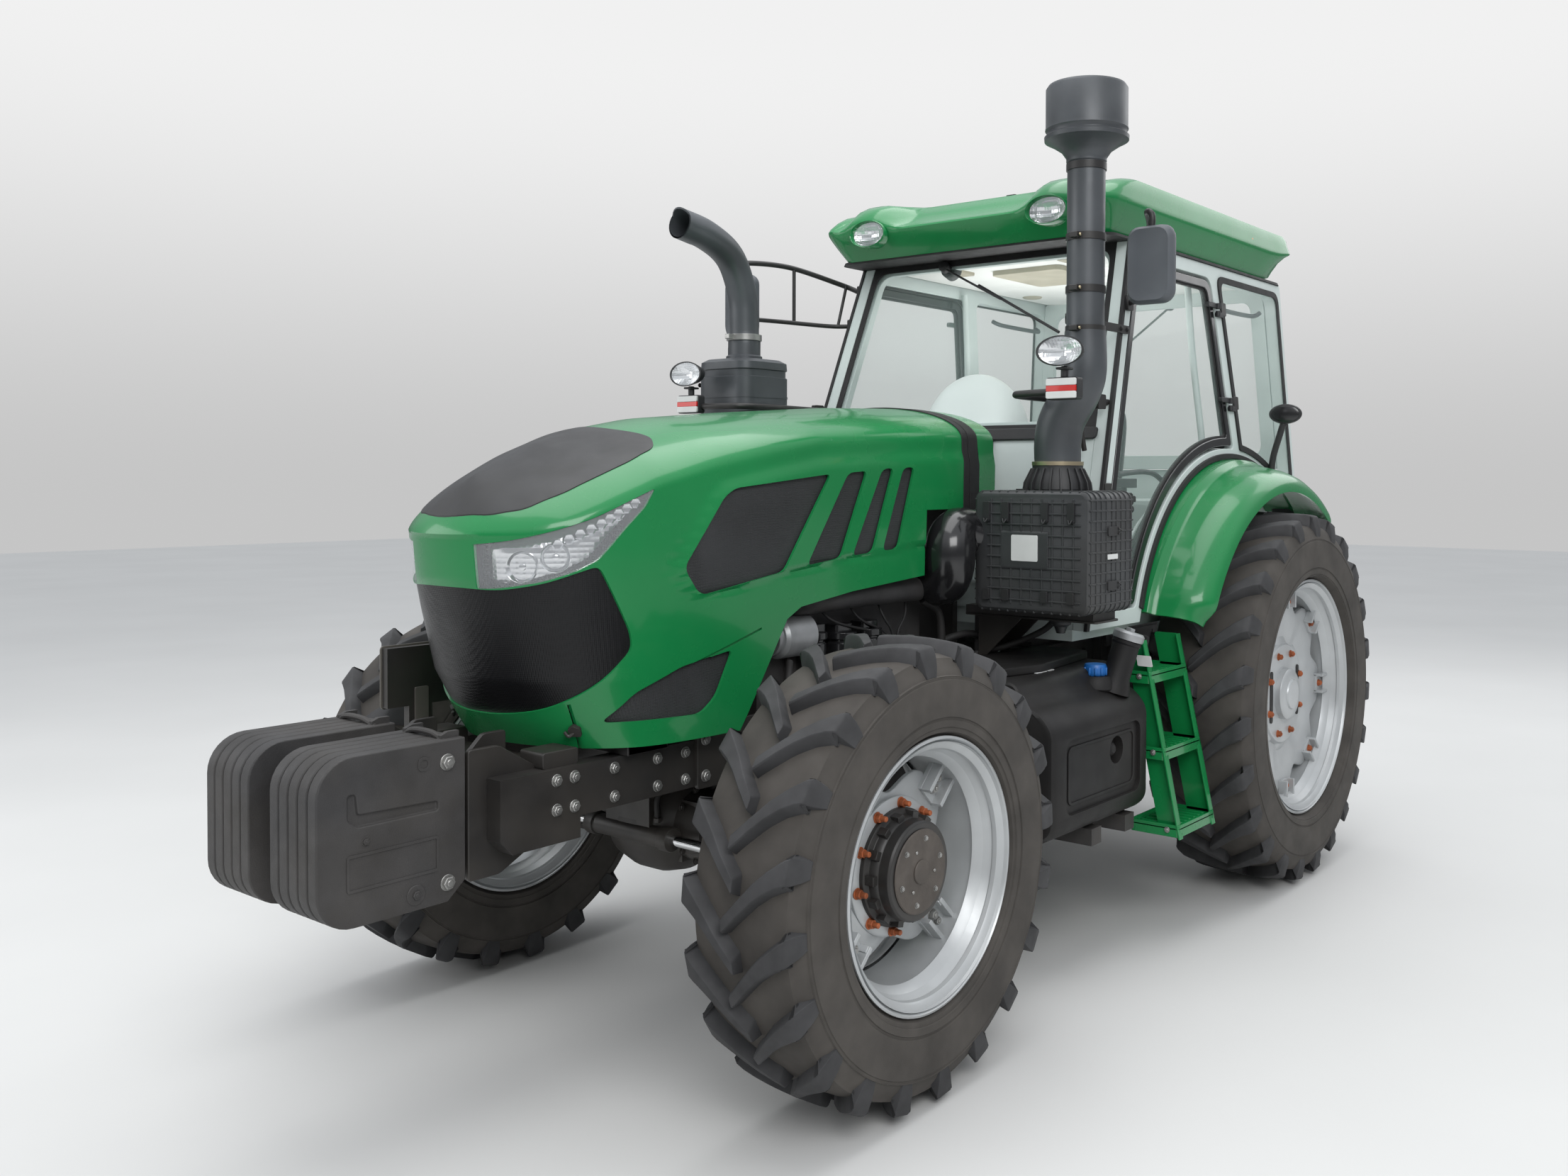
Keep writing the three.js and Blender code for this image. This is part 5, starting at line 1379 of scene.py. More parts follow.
def make_cleaner():
    c = CLEANER
    body = [skin([
        [
            (x, y, z) for y, z in rounded(c["inner"] + g, c["outer"] - g, c["low"] + g, c["high"] - g, 34)
        ] for x,
        g in ((1376, 12), (1384, 3), (1532, 3), (1533, 8), (1541, 8), (1542, 3), (1688, 3), (1696, 12))
    ])]
    top, side = c["high"] - 3, c["outer"] - 3
    for i in range(9):
        x = 1392 + i * 36
        if abs(x - 1537) > 14:
            body.append(skin([[(x + t, y, z) for y, z in line] for t, line in (
                (0, rounded(c["inner"] + 1, c["outer"], c["low"] + 1, c["high"], 34)),
                (6, rounded(c["inner"] + 1, c["outer"], c["low"] + 1, c["high"], 34)))]))
    for i in range(11):
        z = 1305 + i * 36
        body.append(box(1380, 1692, c["inner"] + 2, c["outer"], z, z + 6))
    for i in range(12):
        y = 530 + i * 36
        body.append(box(1380, 1692, y, y + 6, c["low"], c["high"]))
    for i in range(10):
        z = 1312 + i * 38
        body.append(box(1694, 1701, 560, 940, z, z + 6))
    for i in range(9):
        y = 572 + i * 42
        body.append(box(1694, 1700, y, y + 6, 1300, 1672))
    body.append(slab(rounded(1650, 1702, 1420, 1560, 12), 620, 812))
    body.append(disc((1450, 720, c["low"] - 20), "z", 42, -30, 24, 28))
    body.append(lathe(
        [(0, -34), (16, -34), (24, -10), (38, 0), (38, 10), (0, 10)], (1450, 720, c["low"] - 60), "z", 24
    ))
    piece("air_cleaner_case", merge(*body), CLEANER_BLACK, stands_for=["air_cleaner"], bevel=1.5)
    clips = []
    for z in (1370, 1560):
        clips.append(slab(rounded(1500, 1576, z - 16, z + 16, 5), side, side + 10))
        clips.append(tube([(1508, side + 12, z - 10), (1490, side + 14, z), (1508, side + 12, z + 10)], 3, 6))
    for y in (560, 640, 800, 905):
        clips.append(slab(rounded(y - 14, y + 14, 1590, 1660, 5), 1700, 1710, "yz"))
        clips.append(tube([(1712, y - 8, 1600), (1718, y, 1586), (1712, y + 8, 1600)], 3, 6))
        clips.append(slab(rounded(y - 14, y + 14, 1310, 1350, 5), 1700, 1710, "yz"))
    clips.append(slab(rounded(1500, 1576, 600, 640, 5), top, top + 8, "xy"))
    piece("air_cleaner_clips", merge(*clips), PLASTIC, bevel=1)
    plates = merge(
        slab(rounded(664, 772, 1452, 1544, 5), 1702, 1705, "yz"),
        slab(rounded(1500, 1574, 1462, 1480, 3), side + 4, side + 6)
    )
    piece("cleaner_plates", plates, WHITE_PLATE, bevel=0.6)
    elbow = merge(
        tube(
            [
                (1630, 500, 1536), (1684, 452, 1552), (1734, 440, 1540), (1768, 448, 1492), (1772, 446, 1430),
                (1760, 422, 1376), (1746, 360, 1350)
            ],
            84, 28, 56, radii=[74, 82, 90, 93, 91, 85, 78]
        ),
        lathe(
            [(60, -4), (80, -4), (83, 2), (83, 22), (80, 28), (60, 28)], (1640, 498, 1540),
            facing((0.3, -1, 0)), 32
        )
    )
    piece("intake_elbow", elbow, GLOSS_BLACK, sharp=60)
    clamp = lathe([(82, 6), (87, 6), (87, 18), (82, 18)], (1640, 498, 1540), facing((0.3, -1, 0)), 36)
    piece("elbow_clamp", clamp, STEEL)


def make_stack():
    x, y, r = STACK["x"], STACK["y"], STACK["pipe"]
    collar = [lathe(
        [(70, -3), (112, -3), (116, 4), (112, 30), (100, 58), (92, 74), (92, 92), (70, 92)],
        (x, y - 110, 1700), "z", 40
    )]
    for a in turns(20):
        c, s = math.cos(a), math.sin(a)
        collar.append(skin([
            [
                (x + c * q - s * w, y - 110 + s * q + c * w, z) for q,
                w in ((60, -3), (rr, -3), (rr, 3), (60, 3))
            ] for z,
            rr in ((1700, 128), (1728, 124), (1780, 98))
        ]))
    piece("stack_collar", merge(*collar), PLASTIC, bevel=1)
    duct = tube(
        [
            (x, y - 110, 1786), (x, y - 110, 1880), (x, y - 90, 1960), (x, y - 30, 2050), (x, y, 2130),
            (x, y, 2270)
        ],
        80, 36, 48, radii=[84, 86, 84, 80, 76, 74]
    )
    piece("stack_duct", duct, STACK_GREY, stands_for=["intake_stack"], sharp=60)
    pipe = lathe(
        [
            (r - 8, 2240), (r, 2240), (r, 2868), (r + 4, 2872), (r + 4, 2884), (r + 22, 2910),
            (STACK["cap"] - 20, 2934), (STACK["cap"] + 4, 2946), (STACK["cap"] + 5, 2960),
            (STACK["cap"] - 3, 2966), (STACK["cap"] - 3, 2978), (STACK["cap"] + 2, 2984),
            (STACK["cap"], 2996), (STACK["cap"], 3128), (STACK["cap"] - 8, 3140), (STACK["cap"] - 30, 3146),
            (0, 3148)
        ],
        (x, y, 0), "z", 56
    )
    piece("stack_pipe", pipe, STACK_GREY, sharp=40)
    bands = [
        lathe([(r - 2, z), (r + 4, z), (r + 4, z + 26), (r - 2, z + 26)], (x, y, 0), "z", 40)
        for z in (2262, 2404, 2590, 2840)
    ]
    for z in (2275, 2417, 2603):
        bands.append(slab(rounded(x + r, x + r + 24, z - 10, z + 10, 3), y - 16, y + 16))
        bands.append(disc((x + r + 12, y, z), "y", 4, -24, 24, 10))
    piece("stack_bands", merge(*bands), BLACK_PAINT, bevel=0.8)
    bright = [lathe([(86, 0), (94, 0), (94, 14), (86, 14)], (x, y - 110, 1790), "z", 44)]
    bright += [
        merge(disc((x + r + 12, y, z), "y", 6, -18, -10, 14), disc((x + r + 12, y, z), "y", 6, 18, 26, 14))
        for z in (2275, 2417, 2603)
    ]
    piece("stack_clamp", merge(*bright), BRASS, bevel=0.5)
    arm = merge(
        slab(rounded(930, 1420, 2314, 2346, 8), 712, 722), slab(rounded(1390, 1420, 2310, 2350, 6), 712, 800),
        *[bolt((px, 722, 2330), (0, 1, 0), 9) for px in (950, 1000)]
    )
    piece("stack_brace", arm, BLACK_PAINT, bevel=1.5)
    hoses = []
    for hx, hy, hr in ((1378, 700, 30), (1340, 640, 24)):
        path = spline(
            [
                (hx, hy - 60, 1640), (hx, hy, 1760), (hx - 10, hy + 10, 1960), (hx - 60, hy + 10, 2150),
                (hx - 190, hy, 2200)
            ],
            90
        )
        rings = []
        for i, p in enumerate(path):
            ahead = Vector(path[min(i + 1, 89)] - path[max(i - 1, 0)]).normalized()
            u = ahead.cross(Vector((0, 1, 0))).normalized()
            v = ahead.cross(u)
            q = hr + (2.5 if i % 2 else -1)
            rings.append(circle(p, u, v, q, 16))
        hoses.append(skin(rings))
    piece("cab_hoses", merge(*hoses), SEAL, sharp=20)


def make_muffler():
    x, y = 1500, -830
    body = [skin([
        [(px, py, z) for px, py in rounded(x - 150 + g, x + 150 - g, y - 150 + g, y + 150 - g, 64)] for z,
        g in (
            (1424, 24), (1436, 4), (1452, 0), (1470, 0), (1474, 5), (1500, 5), (1504, 0), (2168, 0),
            (2172, 5), (2198, 5), (2202, 0), (2232, 2), (2246, 22)
        )
    ])]
    for z in (1600, 1760, 1920, 2080):
        body.append(skin([
            [(px, py, z + t) for px, py in rounded(x - 152, x + 152, y - 152, y + 152, 66)]
            for t in (0, 10)
        ]))
    body.append(lathe(
        [(60, 2240), (78, 2240), (78, 2262), (70, 2268), (70, 2300), (60, 2300)], (x, y, 0), "z", 36
    ))
    run = spline(
        [
            (x, y, 2230), (x, y, 2410), (x + 16, y, 2540), (x + 90, y, 2680), (x + 230, y, 2752),
            (x + 400, y, 2782)
        ],
        40
    )
    rings = []
    for inner in (0, 7):
        line = []
        for i, p in enumerate(run):
            ahead = Vector(run[min(i + 1, 39)] - run[max(i - 1, 0)]).normalized()
            v = Vector((0, 1, 0))
            u = v.cross(ahead).normalized()
            r = (70 if i < 6 else 63) - inner
            slant = 0.9 if i == 39 else 0
            line.append([
                tuple(
                    Vector(p) + (u * math.cos(a) + v * math.sin(a)) * r - ahead * (
                        math.cos(a) + 1
                    ) * 60 * slant
                )
                for a in turns(28)
            ])
        rings.append(line)
    body.append(skin([*rings[0], *reversed(rings[1])], capped=False))
    piece("muffler_body", merge(*body), STACK_GREY, stands_for=["muffler"], bevel=1.5)
    # painted shade: the heat shield's slots are black strips on the grey body, standing in for the shaded
    # openings
    shield = []
    for i in range(7):
        z = 1660 + i * 62
        shield.append(slab(rounded(x - 90, x + 90, z, z + 26, 12), y - 160, y - 150))
    shield += [bolt((px, y - 158, pz), (0, -1, 0), 8) for px in (x - 110, x + 110) for pz in (1540, 2140)]
    piece("muffler_slot_shade", merge(*shield), BLACK_PAINT, bevel=1.5)
    clamp = lathe([(62, 2330), (76, 2330), (76, 2356), (62, 2356)], (x, y, 0), "z", 36)
    piece(
        "muffler_clamp", merge(clamp, slab(rounded(x + 70, x + 106, 2332, 2354, 4), y - 12, y + 12)), STEEL,
        bevel=1
    )
    foot = merge(
        box(1400, 1560, -740, -375, 1390, 1420),
        *[bolt((px, py, 1420), (0, 0, 1), 10) for px in (1420, 1540) for py in (-400, -640)]
    )
    piece("muffler_foot", foot, BLACK_PAINT, bevel=2)


def make_tank():
    ends = []
    for x, g in ((1190, 26), (1196, 10), (1214, 0), (1866, 0), (1884, 10), (1890, 26)):
        ends.append([
            (x, y, z) for y,
            z in softened(
                [
                    (440 + g, 510 + g), (890 - g, 510 + g), (950 - g, 560), (950 - g, 900), (905 - g, 952),
                    (838 - g, 985), (800, 1056 - g * 0.5), (440 + g, 1056 - g * 0.5)
                ],
                40, 5
            )
        ])
    body = piece("tank_body", skin(ends), TANK_PLASTIC, stands_for=["fuel_tank"])
    carve(
        body, slab(rounded(1262, 1800, 602, 860, 40), 936, 1000),
        lathe([(0, 900), (48, 900), (52, 1000), (0, 1000)], (1420, 0, 770), "y", 40)
    )
    bevelled(body, 6, 3, 30)
    fittings = merge(
        ring_plate(rounded(1290, 1772, 630, 832, 30), rounded(1300, 1762, 640, 822, 24), 934, 941),
        lathe([(0, 900), (24, 900), (24, 918), (14, 926), (0, 926)], (1420, 0, 770), "y", 28),
        lathe([(0, 968), (70, 968), (78, 976), (74, 1004), (62, 1022), (0, 1022)], (1360, 815, 0), "z", 36))
    piece("tank_fittings", fittings, TANK_PLASTIC, bevel=2)
    cap = [lathe(
        [(0, 1020), (40, 1020), (44, 1026), (44, 1050), (38, 1062), (0, 1066)], (1360, 815, 0), "z", 32
    )]
    for a in turns(12):
        cap.append(disc((1360 + 44 * math.cos(a), 815 + 44 * math.sin(a), 1024), "z", 5, 0, 28, 8, 1))
    piece("tank_cap", merge(*cap), BLUE_CAP, sharp=50)
    neck = (Vector((1320, 862, 960)), Vector((1282, 905, 1150)))
    axes = facing(neck[1] - neck[0])
    piece(
        "filler_neck",
        merge(lathe(
            [(0, 0), (66, 0), (60, 30), (50, 60), (50, 180), (54, 184), (54, 196), (0, 196)], tuple(neck[0]),
            axes, 32
        )),
        TANK_PLASTIC, bevel=2
    )
    lid = [lathe([(0, 0), (56, 0), (58, 6), (58, 24), (50, 32), (0, 34)], tuple(neck[1]), axes, 28)]
    lid.append(lathe([(0, 32), (18, 32), (18, 44), (0, 46)], tuple(neck[1]), axes, 6))
    piece("filler_cap", merge(*lid), ALUMINIUM, sharp=40)
    plates = merge(*[
        slab(rounded(a, b, 640, 700, 4), 1057, 1059, "xy") for a, b in ((1560, 1600), (1610, 1680))
    ])
    piece("tank_plates_yellow", plates, YELLOW)
    piece(
        "tank_plates_white",
        merge(*[slab(rounded(a, b, 704, 760, 4), 1057, 1059, "xy") for a, b in ((1560, 1600), (1610, 1680))]),
        WHITE_PLATE
    )
    cover = slab(
        softened([(1200, 450), (1880, 450), (1880, 700), (1640, 760), (1200, 700)], 30), 1054, 1088, "xy"
    )
    piece("tank_cover", cover, TANK_PLASTIC, bevel=8)


def make_battery_box():
    body = skin([[(x, -y, z) for y, z in rounded(440 + g, 920 - g, 510 + g, 980 - g, 46)] for x, g in
                 ((1190, 20), (1198, 4), (1206, 0), (1764, 0), (1772, 4), (1780, 20))])
    lid = slab(rounded(1196, 1774, -916, -446, 40), 950, 988, "xy")
    door = ring_plate(rounded(1240, 1730, 560, 900, 30), rounded(1252, 1718, 572, 888, 24), -926, -918)
    treads = merge(*[
        slab(rounded(1260 + i * 70, 1310 + i * 70, -860, -520, 12), 984, 992, "xy")
        for i in range(7)
    ])
    piece("battery_case", merge(body, lid), TANK_PLASTIC, stands_for=["battery_box"], bevel=4)
    piece("battery_trim", merge(door, treads), PLASTIC, bevel=2)
    piece(
        "battery_latches",
        merge(
            *[slab(rounded(x - 18, x + 18, 900, 962, 6), -930, -916) for x in (1340, 1630)],
            tube([(1420, -922, 740), (1420, -950, 740), (1550, -950, 740), (1550, -922, 740)], 8, 10)
        ),
        STEEL, bevel=2
    )


STEPS = dict(rear=845, front=1165, low=430, rise=280, edge=1060, inset=60)


def make_steps():
    s = STEPS
    for side, turn in SIDES:
        metal = []
        for x, wide in ((s["rear"], 110), (s["front"] - 32, 92)):
            line = [(s["edge"] - i * s["inset"], s["low"] + i * s["rise"]) for i in (-0.08, 1, 2, 2.52)]
            inner = [(y - wide, z) for y, z in line[::-1]]
            metal.append(slab(softened(line + inner, 16), x, x + 7, "yz"))
            fold = line + [(y - 6, z) for y, z in line[::-1]]
            metal.append(slab(fold, x, x + 32, "yz"))
        for i in range(3):
            y1 = s["edge"] - i * s["inset"]
            z = s["low"] + i * s["rise"]
            y0 = y1 - 200
            metal.append(slab(rounded(s["rear"] + 2, s["front"] - 2, y0, y1, 14), z + 12, z + 19, "xy"))
            rim = rounded(s["rear"] + 2, s["front"] - 2, y0, y1, 14)
            metal.append(ring_plate(rim, grown(rim, -5), z - 16, z + 30, "xy"))
            for k in range(7):
                x = s["rear"] + 38 + k * 38
                metal.append(slab(rounded(x, x + 16, y0 + 24, y1 - 24, 7), z + 18, z + 24, "xy"))
        piece(f"step_ladder_{side}", turn(merge(*metal)), GREEN, stands_for=[f"steps_{side}"], bevel=1.5)
        bolts = [
            bolt((s["rear"] - 1, s["edge"] - 50 - i * 60, 440 + i * 280), (-1, 0, 0), 9)
            for i in range(3)
        ]
        bolts += [
            bolt((s["front"] + 1, s["edge"] - 46 - i * 60, 440 + i * 280), (1, 0, 0), 9)
            for i in range(3)
        ]
        piece(f"step_bolts_{side}", turn(merge(*bolts)), STEEL)
        plate = slab(rounded(872, 932, 1040, 1080, 4), s["front"], s["front"] + 3, "yz")
        plate = moved(plate, lambda x, y, z: (x, y + 18 - (z - 1040) * 0.21, z))
        piece(f"step_plate_{side}", turn(plate), WHITE_PLATE, slot="green_paint")


make_cleaner()
make_stack()
make_muffler()
make_tank()
make_battery_box()
make_steps()

# ---- cab ---------------------------------------------------------------------------------------------------

FLOOR, CAB_TOP = 1180, 2700
WHEEL_Z = 800
DOOR_HINGES = (2080, 2500)


def cab_front(z):
    return 1380 - 0.352 * (z - 1200)


def cab_side(z):
    return 790 - 0.0724 * (z - 1200)


def cab_rear(z):
    return -800 + 0.055 * (z - 1600)


def hinge_x(z):
    return -100 + 0.19 * (z - 1860)


def arch(radius, start, end, steps=26):
    return [(radius * math.cos(a), WHEEL_Z + radius * math.sin(a))
            for a in (math.radians(start + (end - start) * i / steps) for i in range(steps + 1))]


def door_outline(inset):
    low, high, radius = 1240 + inset, 2640 - inset, 1080 + inset

    def front(z):
        return cab_front(z) - 70 - inset

    def rear(z):
        return hinge_x(z) + 40 + inset

    start = math.degrees(math.asin((low - WHEEL_Z) / radius))
    end = math.degrees(math.acos(rear(WHEEL_Z + radius) / radius))
    return [*arch(radius, start, end), (rear(high), high), (front(high), high), (front(low), low)]


def quarter_outline(inset):
    high, radius = 2640 - inset, 1100 + inset
    start = math.degrees(math.acos((hinge_x(radius + WHEEL_Z) - 40 - inset) / radius))
    low = WHEEL_Z + radius * math.sin(math.radians(122))
    return [*arch(radius, start, 122), (cab_rear(low) + 70 + inset, low), (cab_rear(high) + 70 + inset, high),
            (hinge_x(high) - 40 - inset, high)]


def leant(shape):
    return moved(shape, lambda x, y, z: (x, y + cab_side(z), z))


def raked(shape, line):
    """Moves a panel drawn upright at x = 0 onto the front or rear plane of the cab."""
    return moved(shape, lambda x, y, z: (x + line(z), y, z))


def make_cab_sides():
    wall = [(960, FLOOR), *arch(1030.3, 24, 129, 40), (cab_rear(1600), 1610), (cab_rear(CAB_TOP), CAB_TOP),
            (cab_front(CAB_TOP), CAB_TOP), (cab_front(FLOOR), FLOOR)]
    opening, quarter = softened(door_outline(0), 60, 6), softened(quarter_outline(0), 55, 6)
    for side, turn in SIDES:
        frame_piece = piece(f"cab_frame_{side}", slab(wall, -60, 0), PALE, stands_for=[f"cab_side_{side}"])
        carve(frame_piece, slab(opening, -80, 20), slab(quarter, -80, 20))
        for vertex in frame_piece.data.vertices:
            vertex.co.y += cab_side(vertex.co.z * 1000) / 1000
            if side == "right":
                vertex.co.y *= -1
        if side == "right":
            frame_piece.data.flip_normals()
        bevelled(frame_piece, 7, 3, 50)
        pane = slab(softened(quarter_outline(-16), 60, 6), 1, 5)
        piece(f"quarter_glass_{side}", turn(leant(pane)), GLASS)
        rubber = [
            ring_plate(softened(quarter_outline(-20), 64, 6), softened(quarter_outline(8), 50, 6), -1, 8),
            ring_plate(softened(door_outline(2), 60, 6), softened(door_outline(14), 54, 6), -52, -40),
        ]
        strip = arch(1036, 24.5, 128, 50)
        outer = arch(1058, 24.5, 128, 50)
        rubber.append(slab([*strip, *outer[::-1]], -2, 12))
        pillar = [(cab_front(z) + d, z) for z, d in ((FLOOR, 6), (CAB_TOP, 6), (CAB_TOP, -16), (FLOOR, -16))]
        rubber.append(slab(pillar, -10, 5))
        piece(f"cab_rubber_{side}", turn(leant(merge(*rubber))), SEAL, bevel=1.5)
        bits = [
            leant(slab(rounded(hinge_x(z) - 64, hinge_x(z) - 14, z - 30, z + 30, 8), 0, 10))
            for z in (DOOR_HINGES[0] + 10, DOOR_HINGES[1] + 10)
        ]
        z = 1700
        bits.append(leant(slab(rounded(cab_front(z) - 62, cab_front(z) - 8, z - 26, z + 26, 6), 0, 9)))
        piece(f"cab_plates_{side}", turn(merge(*bits)), BLACK_PAINT, bevel=2)


def make_doors():
    outline = softened(door_outline(12), 56, 6)
    inner = softened(door_outline(50), 40, 6)
    for side, turn in SIDES:
        body = f"door_{side}"
        frame_shape = ring_plate(outline, inner, -38, -2)
        piece(f"door_frame_{side}", turn(leant(frame_shape)), GLOSS_BLACK, body, stands_for=[body], bevel=5)
        pane = slab(softened(door_outline(46), 44, 6), -22, -16)
        piece(f"door_glass_{side}", turn(leant(pane)), GLASS, body)
        lip = ring_plate(softened(door_outline(45), 44, 6), softened(door_outline(58), 34, 6), -28, -10)
        piece(f"door_rubber_{side}", turn(leant(lip)), SEAL, body, bevel=1.5)
        lugs = []
        for z in DOOR_HINGES:
            x = hinge_x(z) + 36
            lugs.append(moved(
                slab(rounded(x - 6, x + 96, z + 8, z + 30, 8), -4, 14), lambda px, py,
                pz: (px, py + cab_side(pz), pz)
            ))
            lugs.append(lathe([(0, 3), (11, 3), (11, 29), (0, 29)], (x, cab_side(z) + 14, z + 1), "z", 20))
        handle = [
            leant(slab(rounded(980, 1060, 1640, 1688, 14), -4, 14)),
            leant(slab(rounded(990, 1050, 1652, 1676, 8), 14, 30)),
            leant(lathe([(0, 0), (14, 0), (14, 22), (10, 26), (0, 26)], (1040, 14, 1626), "y", 20)),
            leant(slab(rounded(960, 1075, 1600, 1710, 16), -60, -40)),
            tube(
                [
                    (300, cab_side(1900) - 60, 1560), (300, cab_side(1900) - 84, 1600),
                    (560, cab_side(1900) - 84, 1760), (900, cab_side(1900) - 84, 1760),
                    (930, cab_side(1900) - 60, 1760)
                ],
                11, 12, 30
            )
        ]
        piece(f"door_fittings_{side}", turn(merge(*lugs, *handle)), PLASTIC, body, bevel=1.5)
        pillar_side = []
        for z in DOOR_HINGES:
            x = hinge_x(z) + 36
            pillar_side.append(lathe(
                [(0, 0), (11, 0), (11, 24), (0, 24)], (x, cab_side(z) + 14, z - 28), "z", 20
            ))
            pillar_side.append(leant(slab(rounded(x - 60, x + 4, z - 30, z - 8, 8), -2, 14)))
        piece(f"hinge_plates_{side}", turn(merge(*pillar_side)), PLASTIC, bevel=1.5)


def make_cab_glass():
    def half(z):
        return cab_side(z) - 62

    low, high = 1935, 2698
    pane = skin([
        [
            (cab_front(z) - 19, -half(z), z), (cab_front(z) - 19, half(z), z),
            (cab_front(z) - 13, half(z), z), (cab_front(z) - 13, -half(z), z)
        ]
        for z in (low, high)
    ])
    piece("windshield_glass", pane, GLASS, stands_for=["windshield"])
    corners = [(-half(low), low), (half(low), low), (half(high), high), (-half(high), high)]
    outer, inner = softened(grown(corners, 22), 40, 6), softened(grown(corners, -24), 60, 6)
    rubber = ring_plate(outer, inner, -12, -4, "yz")
    piece("windshield_rubber", raked(rubber, cab_front), SEAL, bevel=1.5)
    liner = ring_plate(
        softened(grown(corners, 6), 40, 6), softened(grown(corners, -36), 70, 6), -60, -21, "yz"
    )
    piece("windshield_liner", raked(liner, cab_front), PALE, bevel=4)

    back = [
        (-(cab_side(1800) - 62), 1794), (cab_side(1800) - 62, 1794), (cab_side(2690) - 62, 2696),
        (-(cab_side(2690) - 62), 2696)
    ]
    piece(
        "rear_glass", raked(slab(grown(back, -30), 36, 41, "yz"), cab_rear), GLASS, stands_for=["rear_window"]
    )
    rubber = ring_plate(softened(grown(back, -20), 40, 6), softened(grown(back, -40), 50, 6), 28, 38, "yz")
    piece("rear_glass_rubber", raked(rubber, cab_rear), SEAL, bevel=1.5)
    liner = ring_plate(softened(back, 20, 6), softened(grown(back, -70), 60, 6), 42, 76, "yz")
    piece("rear_liner", raked(liner, cab_rear), PALE, bevel=4)
    outer_frame = ring_plate(softened(grown(back, 0), 20, 6), softened(grown(back, -26), 44, 6), 0, 34, "yz")
    piece("rear_surround", raked(outer_frame, cab_rear), PALE, bevel=3)
    hinges = [
        raked(slab(rounded(s * 330 - 34, s * 330 + 34, 2640, 2690, 6), 18, 40, "yz"), cab_rear)
        for s in (-1, 1)
    ]
    hinges.append(raked(slab(rounded(-60, 60, 1826, 1850, 8), 10, 36, "yz"), cab_rear))
    hinges.append(tube(
        [
            (cab_rear(1850) + 30, -50, 1838), (cab_rear(1850) + 6, -44, 1838), (cab_rear(1850) + 6, 44, 1838),
            (cab_rear(1850) + 30, 50, 1838)
        ],
        7, 10, 20
    ))
    piece("rear_glass_fittings", merge(*hinges), PLASTIC, bevel=1.5)
    wiper = [
        disc((cab_front(2668) - 4, -216, 2668), facing((0.94, 0, 0.33)), 24, -8, 26, 24),
        tube(
            [
                (cab_front(2668) + 16, -216, 2668), (cab_front(2600) + 22, -80, 2600),
                (cab_front(2500) + 12, 118, 2500)
            ],
            5, 8, 16
        ),
        tube([(cab_front(2570) + 5, -14, 2572), (cab_front(2336) + 5, 432, 2336)], 6.5, 8),
        disc((cab_front(2668) - 30, -216, 2668), facing((0.94, 0, 0.33)), 40, -40, 8, 24)
    ]
    wiper.append(tube([(cab_rear(2640) + 20, 100, 2640), (cab_rear(2400) + 24, -260, 2380)], 6, 8))
    wiper.append(disc((cab_rear(2640) + 28, 100, 2640), "x", 20, -20, 10, 20))
    piece("wipers", merge(*wiper), PLASTIC, sharp=50)
    panel = [raked(slab(rounded(-560, 560, 1240, 1880, 40), -6, 5, "yz"), cab_front)]
    panel += [
        raked(
            ring_plate(
                rounded(y - 120, y + 120, 1330, 1500, 20), rounded(y - 108, y + 108, 1342, 1488, 14), 4, 9,
                "yz"
            ),
            cab_front
        )
        for y in (-360, 360)
    ]
    panel += [
        tuple(raked(bolt((7, y, z), (1, 0, 0), 8), cab_front))
        for y in (-500, 500) for z in (1280, 1840)
    ]
    piece("front_wall_panel", merge(*panel), PALE, bevel=2)
    sill = raked(slab(rounded(-690, 690, 1898, 1944, 14), -44, 14, "yz"), cab_front)
    piece("windshield_sill", sill, PLASTIC, bevel=4)


def roof_ring(z, rear, front, half, corner, lift=0.0, waist=0.0, kick=0.0):
    """Closed outline of the roof seen from above; the front edge is higher over the lamps."""
    points = []
    for x, y in rounded(rear, front, -half, half, corner, 10):
        points.append((x, y))
    for y in np.linspace(-half + corner, half - corner, 33)[1:-1]:
        points.append((front, float(y)))
    for x in np.linspace(rear + corner, front - corner, 17)[1:-1]:
        points += [(float(x), half), (float(x), -half)]
    for y in np.linspace(-half + corner, half - corner, 9)[1:-1]:
        points.append((rear, float(y)))
    centre = ((rear + front) / 2, 0)
    points.sort(key=lambda p: math.atan2(p[1] - centre[1], p[0] - centre[0]))
    made = []
    for x, y in points:
        pod = math.exp(-((abs(y) - 470) / 130) ** 4)
        near = eased((x - front + 420) / 300)
        dip = waist * (1 - pod) * near * eased((640 - abs(y)) / 90 + 0.4)
        up = lift * pod * near - 0.6 * dip
        made.append((x - dip * 0.8, y, z + up + kick * eased((-560 - x) / 290)))
    return made


ROOF_LAMP = dict(x=1084, y=451, z=2806, flat=0.6)


